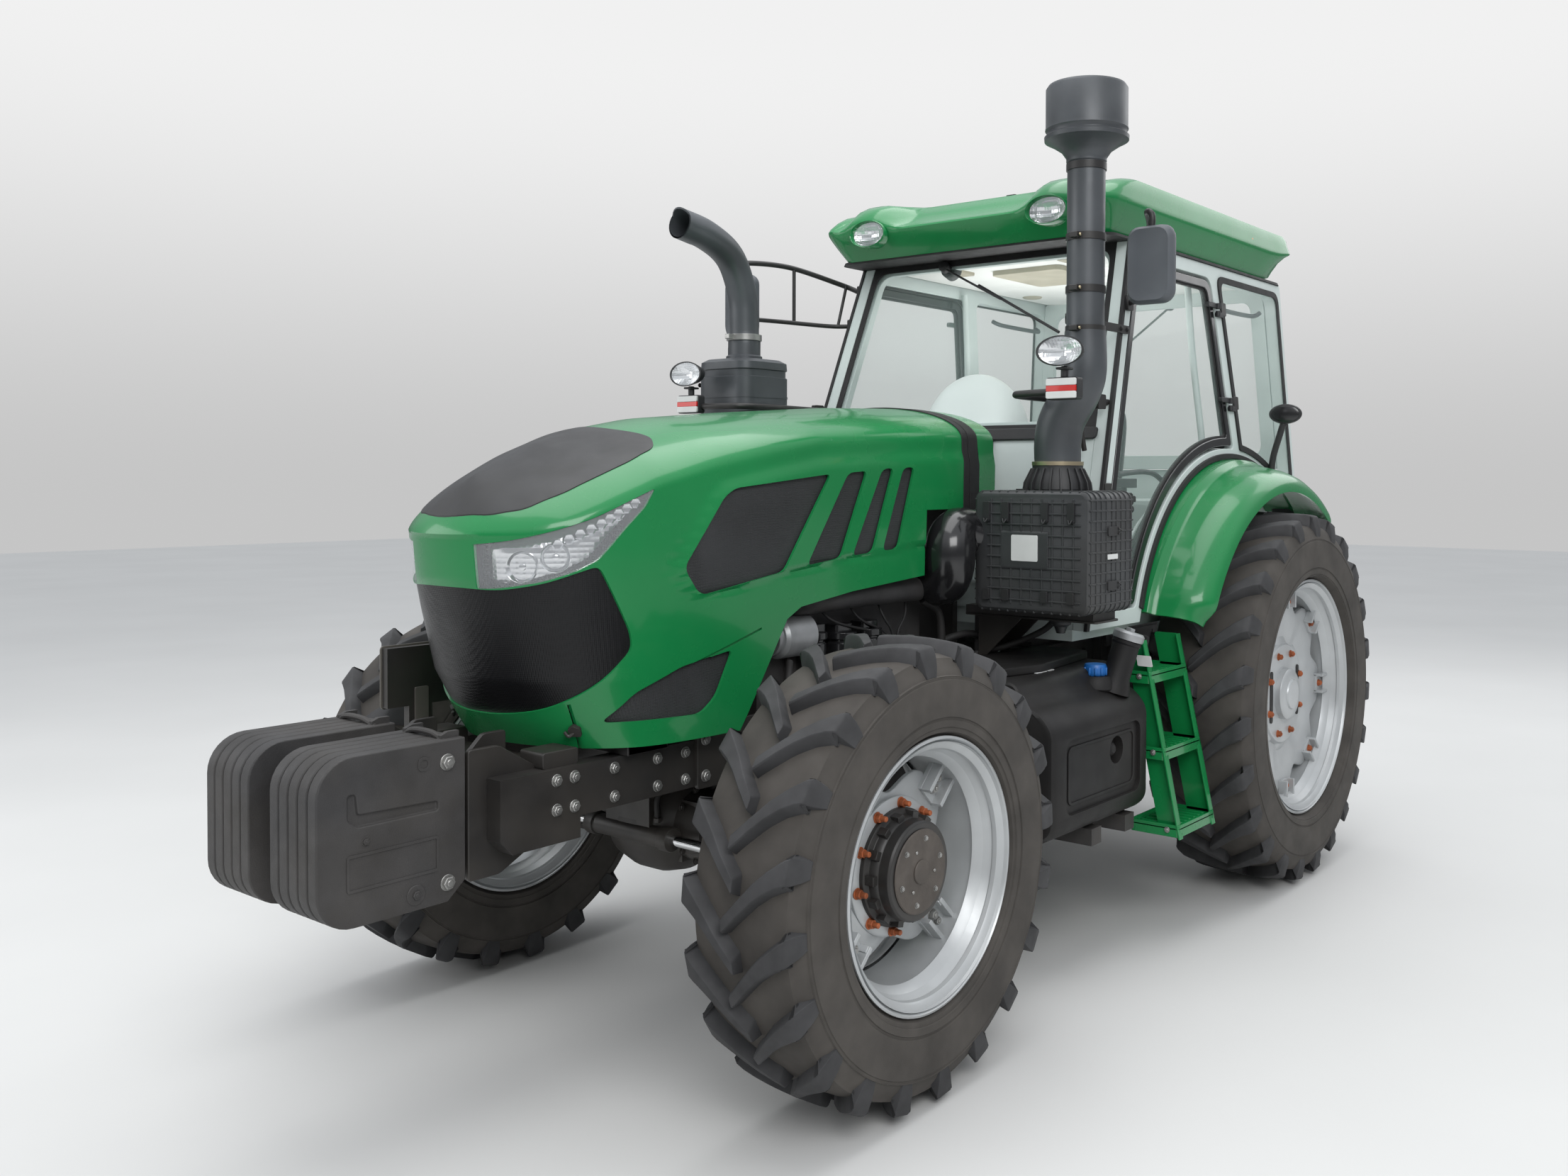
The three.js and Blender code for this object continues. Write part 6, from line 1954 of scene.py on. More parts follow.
def make_roof():
    lamp = ROOF_LAMP
    base = CAB_TOP + 1
    rings = [
        roof_ring(base + 8, -700, 1030, 660, 60, kick=120),
        roof_ring(base + 30, -716, 1052, 672, 70, kick=112),
        roof_ring(base + 70, -760, 1088, 694, 85, kick=88),
        roof_ring(base + 104, -806, 1114, 712, 95, 6, 12, 52),
        roof_ring(base + 124, -838, 1127, 721, 100, 12, 20, 34),
        roof_ring(base + 138, -848, 1130, 724, 104, 16, 30, 24),
        roof_ring(base + 152, -847, 1122, 723, 108, 22, 44, 16),
        roof_ring(base + 186, -838, 1082, 718, 116, 30, 64, 8),
        roof_ring(base + 216, -830, 1024, 714, 116, 26, 50, 4),
        roof_ring(base + 237, -818, 950, 705, 120, 12, 16, 2),
        roof_ring(base + 244, -780, 880, 670, 130, 4, 4), roof_ring(base + 258, -400, 480, 330, 120)
    ]
    hollow = slab(rounded(-640, 820, -590, 590, 80), 2690, 2790, "xy")
    top = piece("roof_shell", skin(rings), GREEN, stands_for=["roof"], sharp=50)
    sockets = [
        lathe([(0, -60), (96, -60), (96, 90), (0, 90)], (lamp["x"] - 2, s * lamp["y"], 0), "x", 40)
        for s in (1, -1)
    ]
    carve(top, hollow, *[shifted(flattened(socket, 0, lamp["flat"]), dz=lamp["z"]) for socket in sockets])
    shade(top.data, 40)
    gutter = [
        roof_ring(2700, -752, 1030, 690, 56), roof_ring(2712, -746, 1026, 686, 56),
        roof_ring(2712, -690, 838, 600, 60), roof_ring(2700, -690, 838, 600, 60)
    ]
    piece("roof_under", skin([*gutter, gutter[0]], capped=False), SEAL, slot="black_plastic", sharp=40)
    piece("headliner", slab(rounded(-690, 836, -596, 596, 90), 2690, 2720, "xy"), HEADLINER, bevel=14)
    vents = [
        slab(rounded(x - 80, x + 80, y - 40, y + 40, 14), 2676, 2692, "xy") for x,
        y in ((640, -300), (640, 300))
    ]
    vents += [lathe([(0, 2682), (44, 2682), (52, 2688), (52, 2694), (0, 2694)], (x, y, 0), "z", 28)
              for x, y in ((760, -470), (760, 470), (-300, -480), (-300, 480))]
    vents.append(slab(rounded(120, 560, -180, 180, 30), 2668, 2692, "xy"))
    piece("roof_fittings_inside", merge(*vents), BEIGE, slot="cab_trim", bevel=4)
    for side, turn in (("left", 1), ("right", -1)):
        at = (lamp["x"], turn * lamp["y"], lamp["z"])
        bezel = lathe([(88, -50), (98, -50), (98, 42), (94, 48), (86, 40)], at, "x", 44)
        bowl = lathe(
            [(0, -16), (30, -14), (70, 4), (87, 26), (90, 28), (90, 20), (70, -6), (30, -24), (0, -26)], at,
            "x", 44
        )
        glass = lathe([(0, 42), (60, 39), (86, 30), (88, 30), (60, 44), (0, 47)], at, "x", 44)
        piece(
            f"roof_lamp_rim_{side}", flattened(bezel, lamp["z"], lamp["flat"]), GREEN, slot="roof_green",
            sharp=50
        )
        piece(f"roof_lamp_bowl_{side}", flattened(bowl, lamp["z"], lamp["flat"]), REFLECTOR)
        piece(f"roof_lamp_glass_{side}", flattened(glass, lamp["z"], lamp["flat"]), LENS)
        rear = lathe([(0, 0), (60, 0), (66, -10), (60, -24), (0, -30)], (-838, turn * 470, 2830), "x", 36)
        piece(f"roof_rear_lamp_{side}", flattened(rear, 2830, lamp["flat"]), LENS)
        dot = disc((-300, turn * 716, 2862), "y", 12, -4 if turn > 0 else -5, 5 if turn > 0 else 4, 20)
        piece(f"roof_side_marker_{side}", dot, AMBER)
    bits = [
        slab(rounded(700, 780, 40, 90, 10), 2955, 2972, "xy"),
        slab(rounded(560, 640, -60, 120, 16), 2958, 2970, "xy"),
        tube([(640, 60, 2966), (420, 120, 2975), (200, 140, 2964)], 5, 8, 20)
    ]
    bits.append(lathe([(0, 2950), (58, 2950), (58, 2962), (46, 2972), (0, 2974)], (-300, 0, 0), "z", 36))
    piece("roof_top_fittings", merge(*bits), PLASTIC, bevel=3)
    tail = slab(
        softened([(-838, 2842), (-742, 2742), (-704, 2713), (-690, 2713), (-690, 2735), (-832, 2860)], 8),
        -600, 600
    )
    piece("roof_tail", tail, BEIGE, slot="roof_green", bevel=4)


def make_interior():
    dome = []
    for i in range(17):
        t = i / 16
        rise = math.sin(math.pi * (0.10 + 0.66 * t))
        dome.append([(1104 - 262 * t - 30 * math.sin(a) * (1 - t), 252 * math.cos(a) * (0.55 + 0.45 * rise),
                      1866 + 322 * math.sin(a) ** 0.8 * rise) for a in (math.pi * k / 32 for k in range(33))])
    bottom = [[*ring, (ring[-1][0], ring[-1][1], 1850), (ring[0][0], ring[0][1], 1850)] for ring in dome]
    piece("instrument_hood", skin(bottom), WHITE_PLASTIC, stands_for=["dashboard"], sharp=60)
    column = slab(
        softened(
            [
                (1080, 1180), (1250, 1180), (1168, 1560), (1062, 1880), (860, 1862), (800, 1740), (770, 1700),
                (806, 1640), (950, 1540)
            ],
            30
        ),
        -150, 150
    )
    piece("dash_column", column, WHITE_PLASTIC, bevel=18, segments=4)
    face = merge(
        slab(softened([(856, 1890), (892, 2000), (884, 2004), (846, 1892)], 4), -150, 150),
        tube([(744, 0, 1740), (820, 0, 1610)], 46, 24),
        tube([(820, 150, 1700), (800, 200, 1740), (790, 260, 1770)], 7, 10, 16),
        tube([(820, -150, 1700), (800, -200, 1740), (790, -260, 1770)], 7, 10, 16),
        *[disc((858, y, 1780), "x", 16, -26, 10, 20) for y in (-100, -50, 50, 100)])
    piece("instrument_face", face, PLASTIC, bevel=2)
    dials = merge(*[
        moved(
            lathe([(0, 0), (r, 0), (r + 4, 4), (r + 4, 10), (r, 10)], (0, 0, 0), "x", 32), lambda x, py, z,
            y=y: (866 - x - z * -0.28, py + y, z + 1945)
        ) for y,
        r in ((-90, 34), (0, 44), (90, 34))
    ])
    piece("dials", dials, GLOSS_BLACK, sharp=50)

    up = Vector((-0.5, 0, 0.866))
    centre = Vector((740, 0, 1744)) + up * 180.3
    axes = facing(up)
    u, v, w = axes
    wheel = [loop(circle(centre, u, v, 190, 24), 14.5, 96, 14)]
    for a in (0.5, 2.6, 4.71):
        d = u * math.cos(a) + v * math.sin(a)
        wheel.append(tube(
            [tuple(centre + d * 34 - w * 12), tuple(centre + d * 110 - w * 10), tuple(centre + d * 184)], 12,
            10, 12, radii=[16, 11, 9]
        ))
    wheel.append(lathe([(0, -30), (40, -30), (58, -16), (58, 4), (46, 16), (0, 22)], tuple(centre), axes, 36))
    wheel.append(tube([(742, 0, 1748), tuple(centre - w * 20)], 26, 20))
    knob = centre + (u * math.cos(2.0) + v * math.sin(2.0)) * 190 + w * 14
    wheel.append(lathe(
        [(0, 0), (12, 0), (10, 12), (22, 22), (26, 40), (16, 54), (0, 58)], tuple(knob), axes, 24
    ))
    piece("steering_wheel_rim", merge(*wheel), WHEEL_GREY, stands_for=["steering_wheel"], sharp=50)

    levers = []
    for x, y, h in ((520, -420, 260), (440, -470, 240), (360, -420, 220), (280, -470, 210), (640, 330, 300)):
        base = 1180 if y > 0 else 1500
        levers.append(tube(
            [(x, y, base), (x + 20, y, base + h * 0.6), (x + 50, y + 10, base + h * 0.9)], 7, 10, 14
        ))
        levers.append(lathe(
            [(0, -6), (14, 0), (24, 26), (22, 46), (10, 58), (0, 60)], (x + 50, y + 10, base + h * 0.9 - 6),
            "z", 22
        ))
    for y in (210, -120, -220):
        pedal = slab(rounded(y - 42, y + 42, 1290, 1400, 14), 0, 12, "yz")
        levers.append(moved(pedal, lambda px, py, pz: (1010 + (pz - 1290) * 0.6 + px, py, pz)))
        levers.append(tube([(1040, y, 1330), (1120, y, 1400), (1170, y, 1500)], 9, 10, 14))
    piece("levers_pedals", merge(*levers), PLASTIC, bevel=2)
    console = [
        slab(softened([(40, 1180), (620, 1180), (680, 1300), (640, 1500), (60, 1520)], 30), -640, -360),
        slab(softened([(40, 1180), (420, 1180), (440, 1420), (60, 1460)], 30), 380, 640),
    ]
    piece("consoles", merge(*console), PALE, bevel=16, segments=4)
    slots = [
        slab(
            rounded(260 + i * 90, 300 + i * 90, -500 + (i % 2) * 50, -380 + (i % 2) * 50, 8), 1500, 1512, "xy"
        )
        for i in range(4)
    ]
    slots += [disc((120 + i * 50, -560, 1518), "z", 15, -2, 16, 20) for i in range(3)]
    piece("console_slots", merge(*slots), PLASTIC, bevel=2)
    mat = slab(rounded(-80, 1040, -600, 600, 60), 1180, 1190, "xy")
    piece("floor_covering", mat, FLOOR_MAT, bevel=3)
    rails = both(merge(
        tube([(980, 640, 1560), (960, 610, 1640), (860, 610, 1980), (830, 640, 2060)], 13, 14, 30),
        tube([(-600, 640, 2560), (-560, 610, 2540), (-200, 600, 2540), (-160, 635, 2560)], 11, 12, 24),
    ))
    piece("grab_rails", rails, STACK_GREY, sharp=60)
    posts = both(tube([(40, 652, 1640), (60, 640, 1900), (110, 610, 2320), (150, 600, 2660)], 15, 14, 30))
    piece("inner_posts", posts, PALE, sharp=60)
    shelf = merge(
        slab(rounded(-700, -110, -620, 620, 50), 1608, 1640, "xy"),
        both(slab(
            softened(
                [(-110, 1180), (690, 1180), (900, 1250), (860, 1420), (700, 1560), (400, 1720), (-110, 1800)],
                40
            ),
            636, 652
        ))
    )
    piece("rear_shelf", shelf, PALE, bevel=10, segments=3)


def puffy(name, size, at, lean, seams, stands_for):
    """A cushion drawn as a round-cornered block with stitched hollows, raised by subdivision."""
    (dx, dy, dz), grid = size, 28
    mesh = bpy.data.meshes.new(name)
    bm = bmesh.new()
    bmesh.ops.create_cube(bm, size=1.0)
    bmesh.ops.subdivide_edges(bm, edges=bm.edges, cuts=grid, use_grid_fill=True)
    for vertex in bm.verts:
        p = np.array(vertex.co) * 2
        power = 5.0
        length = (abs(p) ** power).sum() ** (1 / power)
        p = p / length * max(abs(p))
        u, v, w = p
        hollow = sum(math.exp(-(((u if way == "u" else v) - place) / 0.035) ** 2) for way, place in seams)
        edge_seam = math.exp(-(w / 0.16) ** 2) * 0.03
        crown = 1 - 0.12 * (u * u + v * v) / 2
        depth = crown - 0.11 * min(1, hollow) * (abs(w) > 0.4)
        x, y, z = u * dx / 2 * (1 - edge_seam), v * dy / 2 * (1 - edge_seam), w * dz / 2 * depth
        x, z = x * math.cos(lean) + z * math.sin(lean), -x * math.sin(lean) + z * math.cos(lean)
        vertex.co = (REAR_AXLE_X + (at[0] + x) / 1000, (at[1] + y) / 1000, (at[2] + z) / 1000)
    bm.to_mesh(mesh)
    bm.free()
    made = bpy.data.objects.new(name, mesh)
    bpy.context.scene.collection.objects.link(made)
    mesh.materials.append(FABRIC)
    mesh.shade_smooth()
    step = made.modifiers.new("Soften", "SUBSURF")
    step.levels = step.render_levels = 1
    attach(made, "root")
    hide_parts(stands_for)
    return made


def make_seat():
    puffy(
        "seat_cushion_padded", (500, 488, 122), (360, 0, 1490), 0.03,
        (("u", -0.5), ("v", -0.55), ("v", 0.55), ("u", 0.35)), "seat_cushion"
    )
    puffy(
        "seat_back_padded", (560, 470, 118), (60, 0, 1840), -math.pi / 2 - 0.19,
        (("u", -0.35), ("v", -0.55), ("v", 0.55), ("u", 0.4)), "seat_back"
    )
    base = [
        slab(rounded(170, 530, -180, 180, 30), 1380, 1428, "xy"),
        slab(rounded(140, 560, -220, 220, 40), 1404, 1432, "xy"),
        slab(rounded(190, 510, -160, 160, 24), 1190, 1216, "xy")
    ]
    for i in range(9):
        z = 1216 + i * 18
        g = 0 if i % 2 else 12
        base.append(slab(rounded(200 + g, 500 - g, -150 + g, 150 - g, 30), z, z + 18, "xy"))
    base.append(slab(
        softened(
            [
                (200, 1385), (200, 1425), (108, 1440), (84, 1520), (72, 1640), (40, 1800), (20, 1800),
                (44, 1600), (56, 1385)
            ],
            10
        ),
        -120, 120
    ))
    for s in (1, -1):
        base.append(slab(rounded(60, 420, s * 290 - 36, s * 290 + 36, 26), 1700, 1744, "xy"))
        base.append(slab(rounded(70, 130, 1560, 1720, 14), s * 262 - 8, s * 262 + 8))
    piece("seat_frame", merge(*base), PLASTIC, stands_for=["seat_base"], bevel=3)


def make_mirrors():
    x, y = 1330, 1010
    for side, turn in SIDES:
        head = skin([
            [
                (x + (14 if g < 20 else 0) + d, py, pz) for py,
                pz in rounded(y - 90 + g, y + 90 - g, 2370 + g, 2650 - g, 44)
            ] for d,
            g in ((-44, 14), (-38, 3), (-26, 0), (-4, 2), (10, 12), (18, 34))
        ])
        piece(f"mirror_head_{side}", turn(head), MIRROR_GREY, stands_for=[f"mirror_{side}"], sharp=50)
        piece(
            f"mirror_glass_{side}", turn(slab(rounded(y - 76, y + 76, 2386, 2634, 34), x - 34, x - 31, "yz")),
            CHROME, slot="glass"
        )
        arm = []
        for z in (2600, 2440):
            s = cab_side(z)
            arm.append(slab(rounded(cab_front(z) - 52, cab_front(z) - 8, z - 30, z + 30, 8), s + 1, s + 18))
        arm.append(tube(
            [
                (cab_front(2600) - 30, cab_side(2600) + 14, 2600),
                (cab_front(2600) + 10, cab_side(2600) + 100, 2640), (1120, y - 110, 2700),
                (x - 30, y - 30, 2706), (x - 8, y, 2690), (x - 8, y, 2640)
            ],
            12, 14, 50
        ))
        arm.append(tube(
            [
                (cab_front(2440) - 30, cab_side(2440) + 14, 2440),
                (cab_front(2440) + 40, cab_side(2440) + 90, 2440), (1180, y - 100, 2450),
                (x - 20, y - 62, 2450)
            ],
            10, 12, 40
        ))
        arm.append(tube([(1110, y - 120, 2448), (1108, y - 118, 2694)], 8, 10))
        arm.append(tube(
            [
                (cab_front(2600) - 4, cab_side(2600) + 78, 2634),
                (cab_front(2440) + 6, cab_side(2440) + 62, 2440)
            ],
            7, 10
        ))
        piece(f"mirror_arm_{side}", turn(merge(*arm)), BLACK_PAINT, sharp=50)


def make_work_lamps():
    x, y, z, flat = 1780, 900, 2174, 0.56
    for side, turn in SIDES:
        shell = lathe(
            [(0, -70), (40, -66), (70, -44), (90, -6), (93, 2), (86, 3), (66, -38), (0, -60)], (x, y, z), "x",
            44
        )
        piece(
            f"work_lamp_shell_{side}", turn(flattened(shell, z, flat)), PLASTIC,
            stands_for=[f"work_lamp_{side}"], sharp=60
        )
        bowl = lathe(
            [(0, -34), (28, -32), (66, -12), (86, 0), (66, -18), (28, -40), (0, -42)], (x, y, z), "x", 44
        )
        piece(f"work_lamp_bowl_{side}", turn(flattened(bowl, z, flat)), REFLECTOR)
        glass = lathe([(0, 8), (60, 5), (88, -4), (90, 0), (60, 10), (0, 12)], (x, y, z), "x", 44)
        piece(f"work_lamp_glass_{side}", turn(flattened(glass, z, flat)), LENS)
        case = slab(rounded(y - 62, y + 62, 2010, 2086, 10), x - 52, x - 14, "yz")
        back = merge(
            case, tube([(x - 34, y, 2086), (x - 34, y, 2124)], 13, 14),
            slab(rounded(x - 60, x - 8, y - 22, y + 22, 6), 2112, 2120, "xy")
        )
        piece(f"marker_case_{side}", turn(back), PLASTIC, bevel=3)
        white = merge(*[
            slab(rounded(y - 58, y + 58, a, b, 5), x - 16, x - 6, "yz") for a,
            b in ((2014, 2038), (2058, 2082))
        ])
        piece(f"marker_white_{side}", turn(white), WHITE_PLATE, slot="lens", bevel=2)
        piece(
            f"marker_red_{side}", turn(slab(rounded(y - 58, y + 58, 2038, 2058, 3), x - 16, x - 7, "yz")),
            RED, bevel=1.5
        )
        arm = [
            tube(
                [
                    (cab_front(2040) - 10, cab_side(2040) - 20, 2038), (1150, 690, 2038), (1260, 652, 2038),
                    (1640, 652, 2038), (1720, 740, 2038), (x - 34, y, 2038)
                ],
                13, 14, 60
            ),
            tube([(1190, 668, 1850), (1220, 660, 1960), (1300, 652, 2036)], 10, 12, 20),
            slab(rounded(1120, 1180, 2010, 2066, 8), 700, 722)
        ]
        piece(f"lamp_arm_{side}", turn(merge(*arm)), BLACK_PAINT, sharp=50)


make_cab_sides()
make_doors()
make_cab_glass()
make_roof()
make_interior()
make_seat()
make_mirrors()
make_work_lamps()

# ---- fenders, rear axle and linkage ------------------------------------------------------------------------

FENDER_LAMP = dict(x=-440, y=834, z=2052, flat=0.62)
FENDER = [
    (664, 1014), (664, 1030), (790, 1031), (806, 1028), (818, 1018), (828, 1008), (842, 1003), (900, 996),
    (950, 984), (990, 966), (1016, 944), (1028, 918), (1031, 888), (1022, 888), (1019, 916), (1008, 936),
    (984, 956), (946, 973), (898, 985), (840, 990), (820, 993), (804, 1008), (788, 1015)
]


def fender_lamp(profile):
    """A turned part of the flat lamp that stands on the fender."""
    lamp = FENDER_LAMP
    turned = lathe(profile, (lamp["x"], lamp["y"], 0), facing((0.85, 0.2, 0.0)), 36)
    return shifted(flattened(turned, 0, lamp["flat"]), dz=lamp["z"])


def make_fenders():
    rings = []
    for i in range(73):
        t = i / 72
        a = math.radians(24.2 + 104.6 * t)
        c, s = math.cos(a), math.sin(a)
        ring = []
        tip = eased(1 - t / 0.05) + eased(1 - (1 - t) / 0.035)
        for y, r in FENDER:
            inward = max(0, y - 830) * 0.22 * tip
            ring.append(((r - 8 * tip) * c, y - inward, WHEEL_Z + (r - 8 * tip) * s))
        rings.append(ring)
    shape = skin(rings)
    bracing = []
    for a in (46, 78, 108):
        c, s = math.cos(math.radians(a)), math.sin(math.radians(a))
        t = Vector((-s, 0, c)) * 18
        line = [
            (664, 1013), (790, 1013), (806, 1006), (820, 991), (840, 987), (898, 982), (898, 974), (836, 978),
            (800, 998), (664, 1003)
        ]
        bracing.append(skin([
            [(r * c + t.x * k, y, WHEEL_Z + r * s + t.z * k) for y, r in line]
            for k in (-1, 1)
        ]))
    for side, turn in SIDES:
        piece(f"fender_skin_{side}", turn(shape), GREEN, stands_for=[f"fender_{side}"], sharp=28)
        piece(f"fender_braces_{side}", turn(merge(*bracing)), BLACK_PAINT, bevel=1)
        lip = slab([*arch(1031, 24.4, 128.4, 60), *arch(1042, 24.4, 128.4, 60)[::-1]], 664, 676)
        piece(f"fender_seal_{side}", turn(lip), SEAL)
        rows = []
        for a in range(30, 128, 12):
            c, s = math.cos(math.radians(a)), math.sin(math.radians(a))
            rows.append(bolt((1031 * c, 716, WHEEL_Z + 1031 * s), (c, 0, s), 8))
        piece(f"fender_bolts_{side}", turn(merge(*rows)), BLACK_PAINT)
        tail = math.radians(126)
        x, z = 1030 * math.cos(tail), WHEEL_Z + 1030 * math.sin(tail)
        housing = slab(rounded(700, 880, z - 70, z + 26, 20), x - 78, x - 10, "yz")
        piece(f"tail_lamp_case_{side}", turn(housing), PLASTIC, bevel=8)
        for name, y0, y1, colour in (("red", 772, 870, RED), ("amber", 710, 766, AMBER)):
            piece(
                f"tail_lamp_{name}_{side}",
                turn(slab(rounded(y0, y1, z - 60, z + 16, 12), x - 86, x - 76, "yz")), colour, slot="lens",
                bevel=4
            )
        stand = merge(
            slab(rounded(-470, -420, 742, 792, 10), 1734, 1742, "xy"),
            tube([(-445, 766, 1738), (-446, 772, 1840), (-448, 806, 1960), (-448, 826, 2024)], 15, 14, 22),
            fender_lamp([(0, -34), (44, -30), (70, -16), (76, 0), (70, 8), (0, 10)]),
            tube([(-452, 824, 2000), (-462, 832, 2020), (-458, 836, 2040)], 12, 10, 12))
        piece(f"fender_lamp_{side}", turn(stand), PLASTIC, sharp=50)
        glass = fender_lamp([(0, 10), (52, 9), (64, 7), (64, 10), (52, 13), (0, 15)])
        piece(f"fender_lamp_glass_{side}", turn(glass), GLOSS_BLACK, slot="lens")


def make_rear_axle():
    half, low, high = 280, 480, 1080
    bits = []
    for s in (1, -1):
        bits.append(lathe(
            [(120, 0), (206, 0), (210, 6), (210, 26), (198, 34), (168, 44), (158, 70), (120, 70)],
            (0, s * half, WHEEL_Z), facing((0, s, 0)), 44
        ))
        bits.append(lathe(
            [(100, 0), (150, 0), (160, 10), (160, 44), (150, 54), (100, 54)], (0, s * 640, WHEEL_Z),
            facing((0, s, 0)), 40
        ))
        bits.append(around(
            bolt((0, s * (half + 26), WHEEL_Z + 188), (0, s, 0), 13), (0, 0, WHEEL_Z), 14, 0.2
        ))
        bits.append(around(bolt((0, s * 694, WHEEL_Z + 138), (0, s, 0), 11), (0, 0, WHEEL_Z), 12))
        for k in range(6):
            a = math.pi * k / 3 + 0.3
            c, w = math.cos(a), math.sin(a)
            bits.append(skin([
                [
                    (c * r - w * t, y, WHEEL_Z + w * r + c * t) for r,
                    t in ((90, -7), (r1, -7), (r1, 7), (90, 7))
                ] for y,
                r1 in ((s * 350, 168), (s * 500, 140), (s * 640, 130))
            ]))
        for x in (-270, -170, 150, 250):
            bits.append(slab(
                softened([(x, low + 40), (x + 16, low + 40), (x + 16, high - 60), (x, high - 60)], 4),
                *sorted((s * (half - 4), s * (half + 16)))
            ))
        bits.append(slab(rounded(-300, 310, 980, 1040, 16), *sorted((s * (half - 4), s * (half + 14)))))
    for z in (520, 1046):
        bits.append(slab(rounded(-332, 330, -half - 10, half + 10, 24), z - 12, z + 12, "xy"))
    bits.append(slab(rounded(-250, 200, -190, 190, 40), high, high + 46, "xy"))
    bits.append(slab(rounded(-250, 250, 540, 880, 40), -half - 18, half + 18))
    for y, z in ((s * 150, z) for s in (1, -1) for z in (560, 700, 820)):
        bits.append(bolt((-332, y, z), (-1, 0, 0), 12))
    bits.append(slab(rounded(-190, 190, 540, 880, 60), -352, -328, "yz"))
    bits.append(lathe(
        [(40, 0), (92, 0), (96, 6), (96, 22), (60, 34), (40, 34)], (-350, 0, 620), facing((-1, 0, 0)), 36
    ))
    piece("rear_axle_castings", merge(*bits), CAST_IRON, bevel=3)
    ring = [(31 if k % 12 < 6 else 25, a) for k, a in enumerate(turns(72))]
    spline_shape = skin([[(x, r * k2 * math.cos(a), 620 + r * k2 * math.sin(a)) for r, a in ring]
                         for x, k2 in ((-380, 1), (-436, 1), (-444, 1), (-448, 0.9))])
    piece("pto_splines", spline_shape, STEEL, sharp=30)
    guard = skin([
        [
            (x, y * k, 620 + z * k) for y,
            z in [
                (-86, -56), (-86, 56), (-56, 86), (56, 86), (86, 56), (86, -56), (76, -56), (76, 50),
                (50, 76), (-50, 76), (-76, 50), (-76, -56)
            ]
        ] for x,
        k in ((-352, 1), (-462, 1.05))
    ])
    piece("pto_guard", guard, PLASTIC, bevel=2)
    rear = [slab(rounded(s * 46 - 10, s * 46 + 10, 860, 1000, 8), -450, -328, "yz") for s in (1, -1)]
    for i in range(4):
        y = -150 + i * 34
        rear.append(lathe(
            [(0, 0), (16, 0), (16, 20), (20, 22), (20, 44), (13, 46), (13, 60), (0, 60)],
            (-340, y - 130, 1010), facing((-1, 0, 0)), 22
        ))
    rear.append(slab(rounded(-340, -120, 976, 1046, 10), -350, -300, "yz"))
    piece("rear_brackets", merge(*rear), CAST_IRON, bevel=2)
    caps = [
        lathe(
            [(0, 58), (20, 58), (21, 62), (21, 74), (0, 76)], (-340, -280 + i * 34, 1010), facing((-1, 0, 0)),
            20
        )
        for i in range(4)
    ]
    piece("coupler_caps", merge(*caps), RED, slot="black_plastic", sharp=40)
    hoses = [
        tube(
            [
                (-300, -260 + i * 30, 1010), (-220, -250 + i * 30, 1090), (-60, -200 + i * 20, 1110),
                (60, -160 + i * 16, 1070)
            ],
            9, 10, 24
        )
        for i in range(3)
    ]
    piece("rear_hoses", merge(*hoses), SEAL, sharp=60)


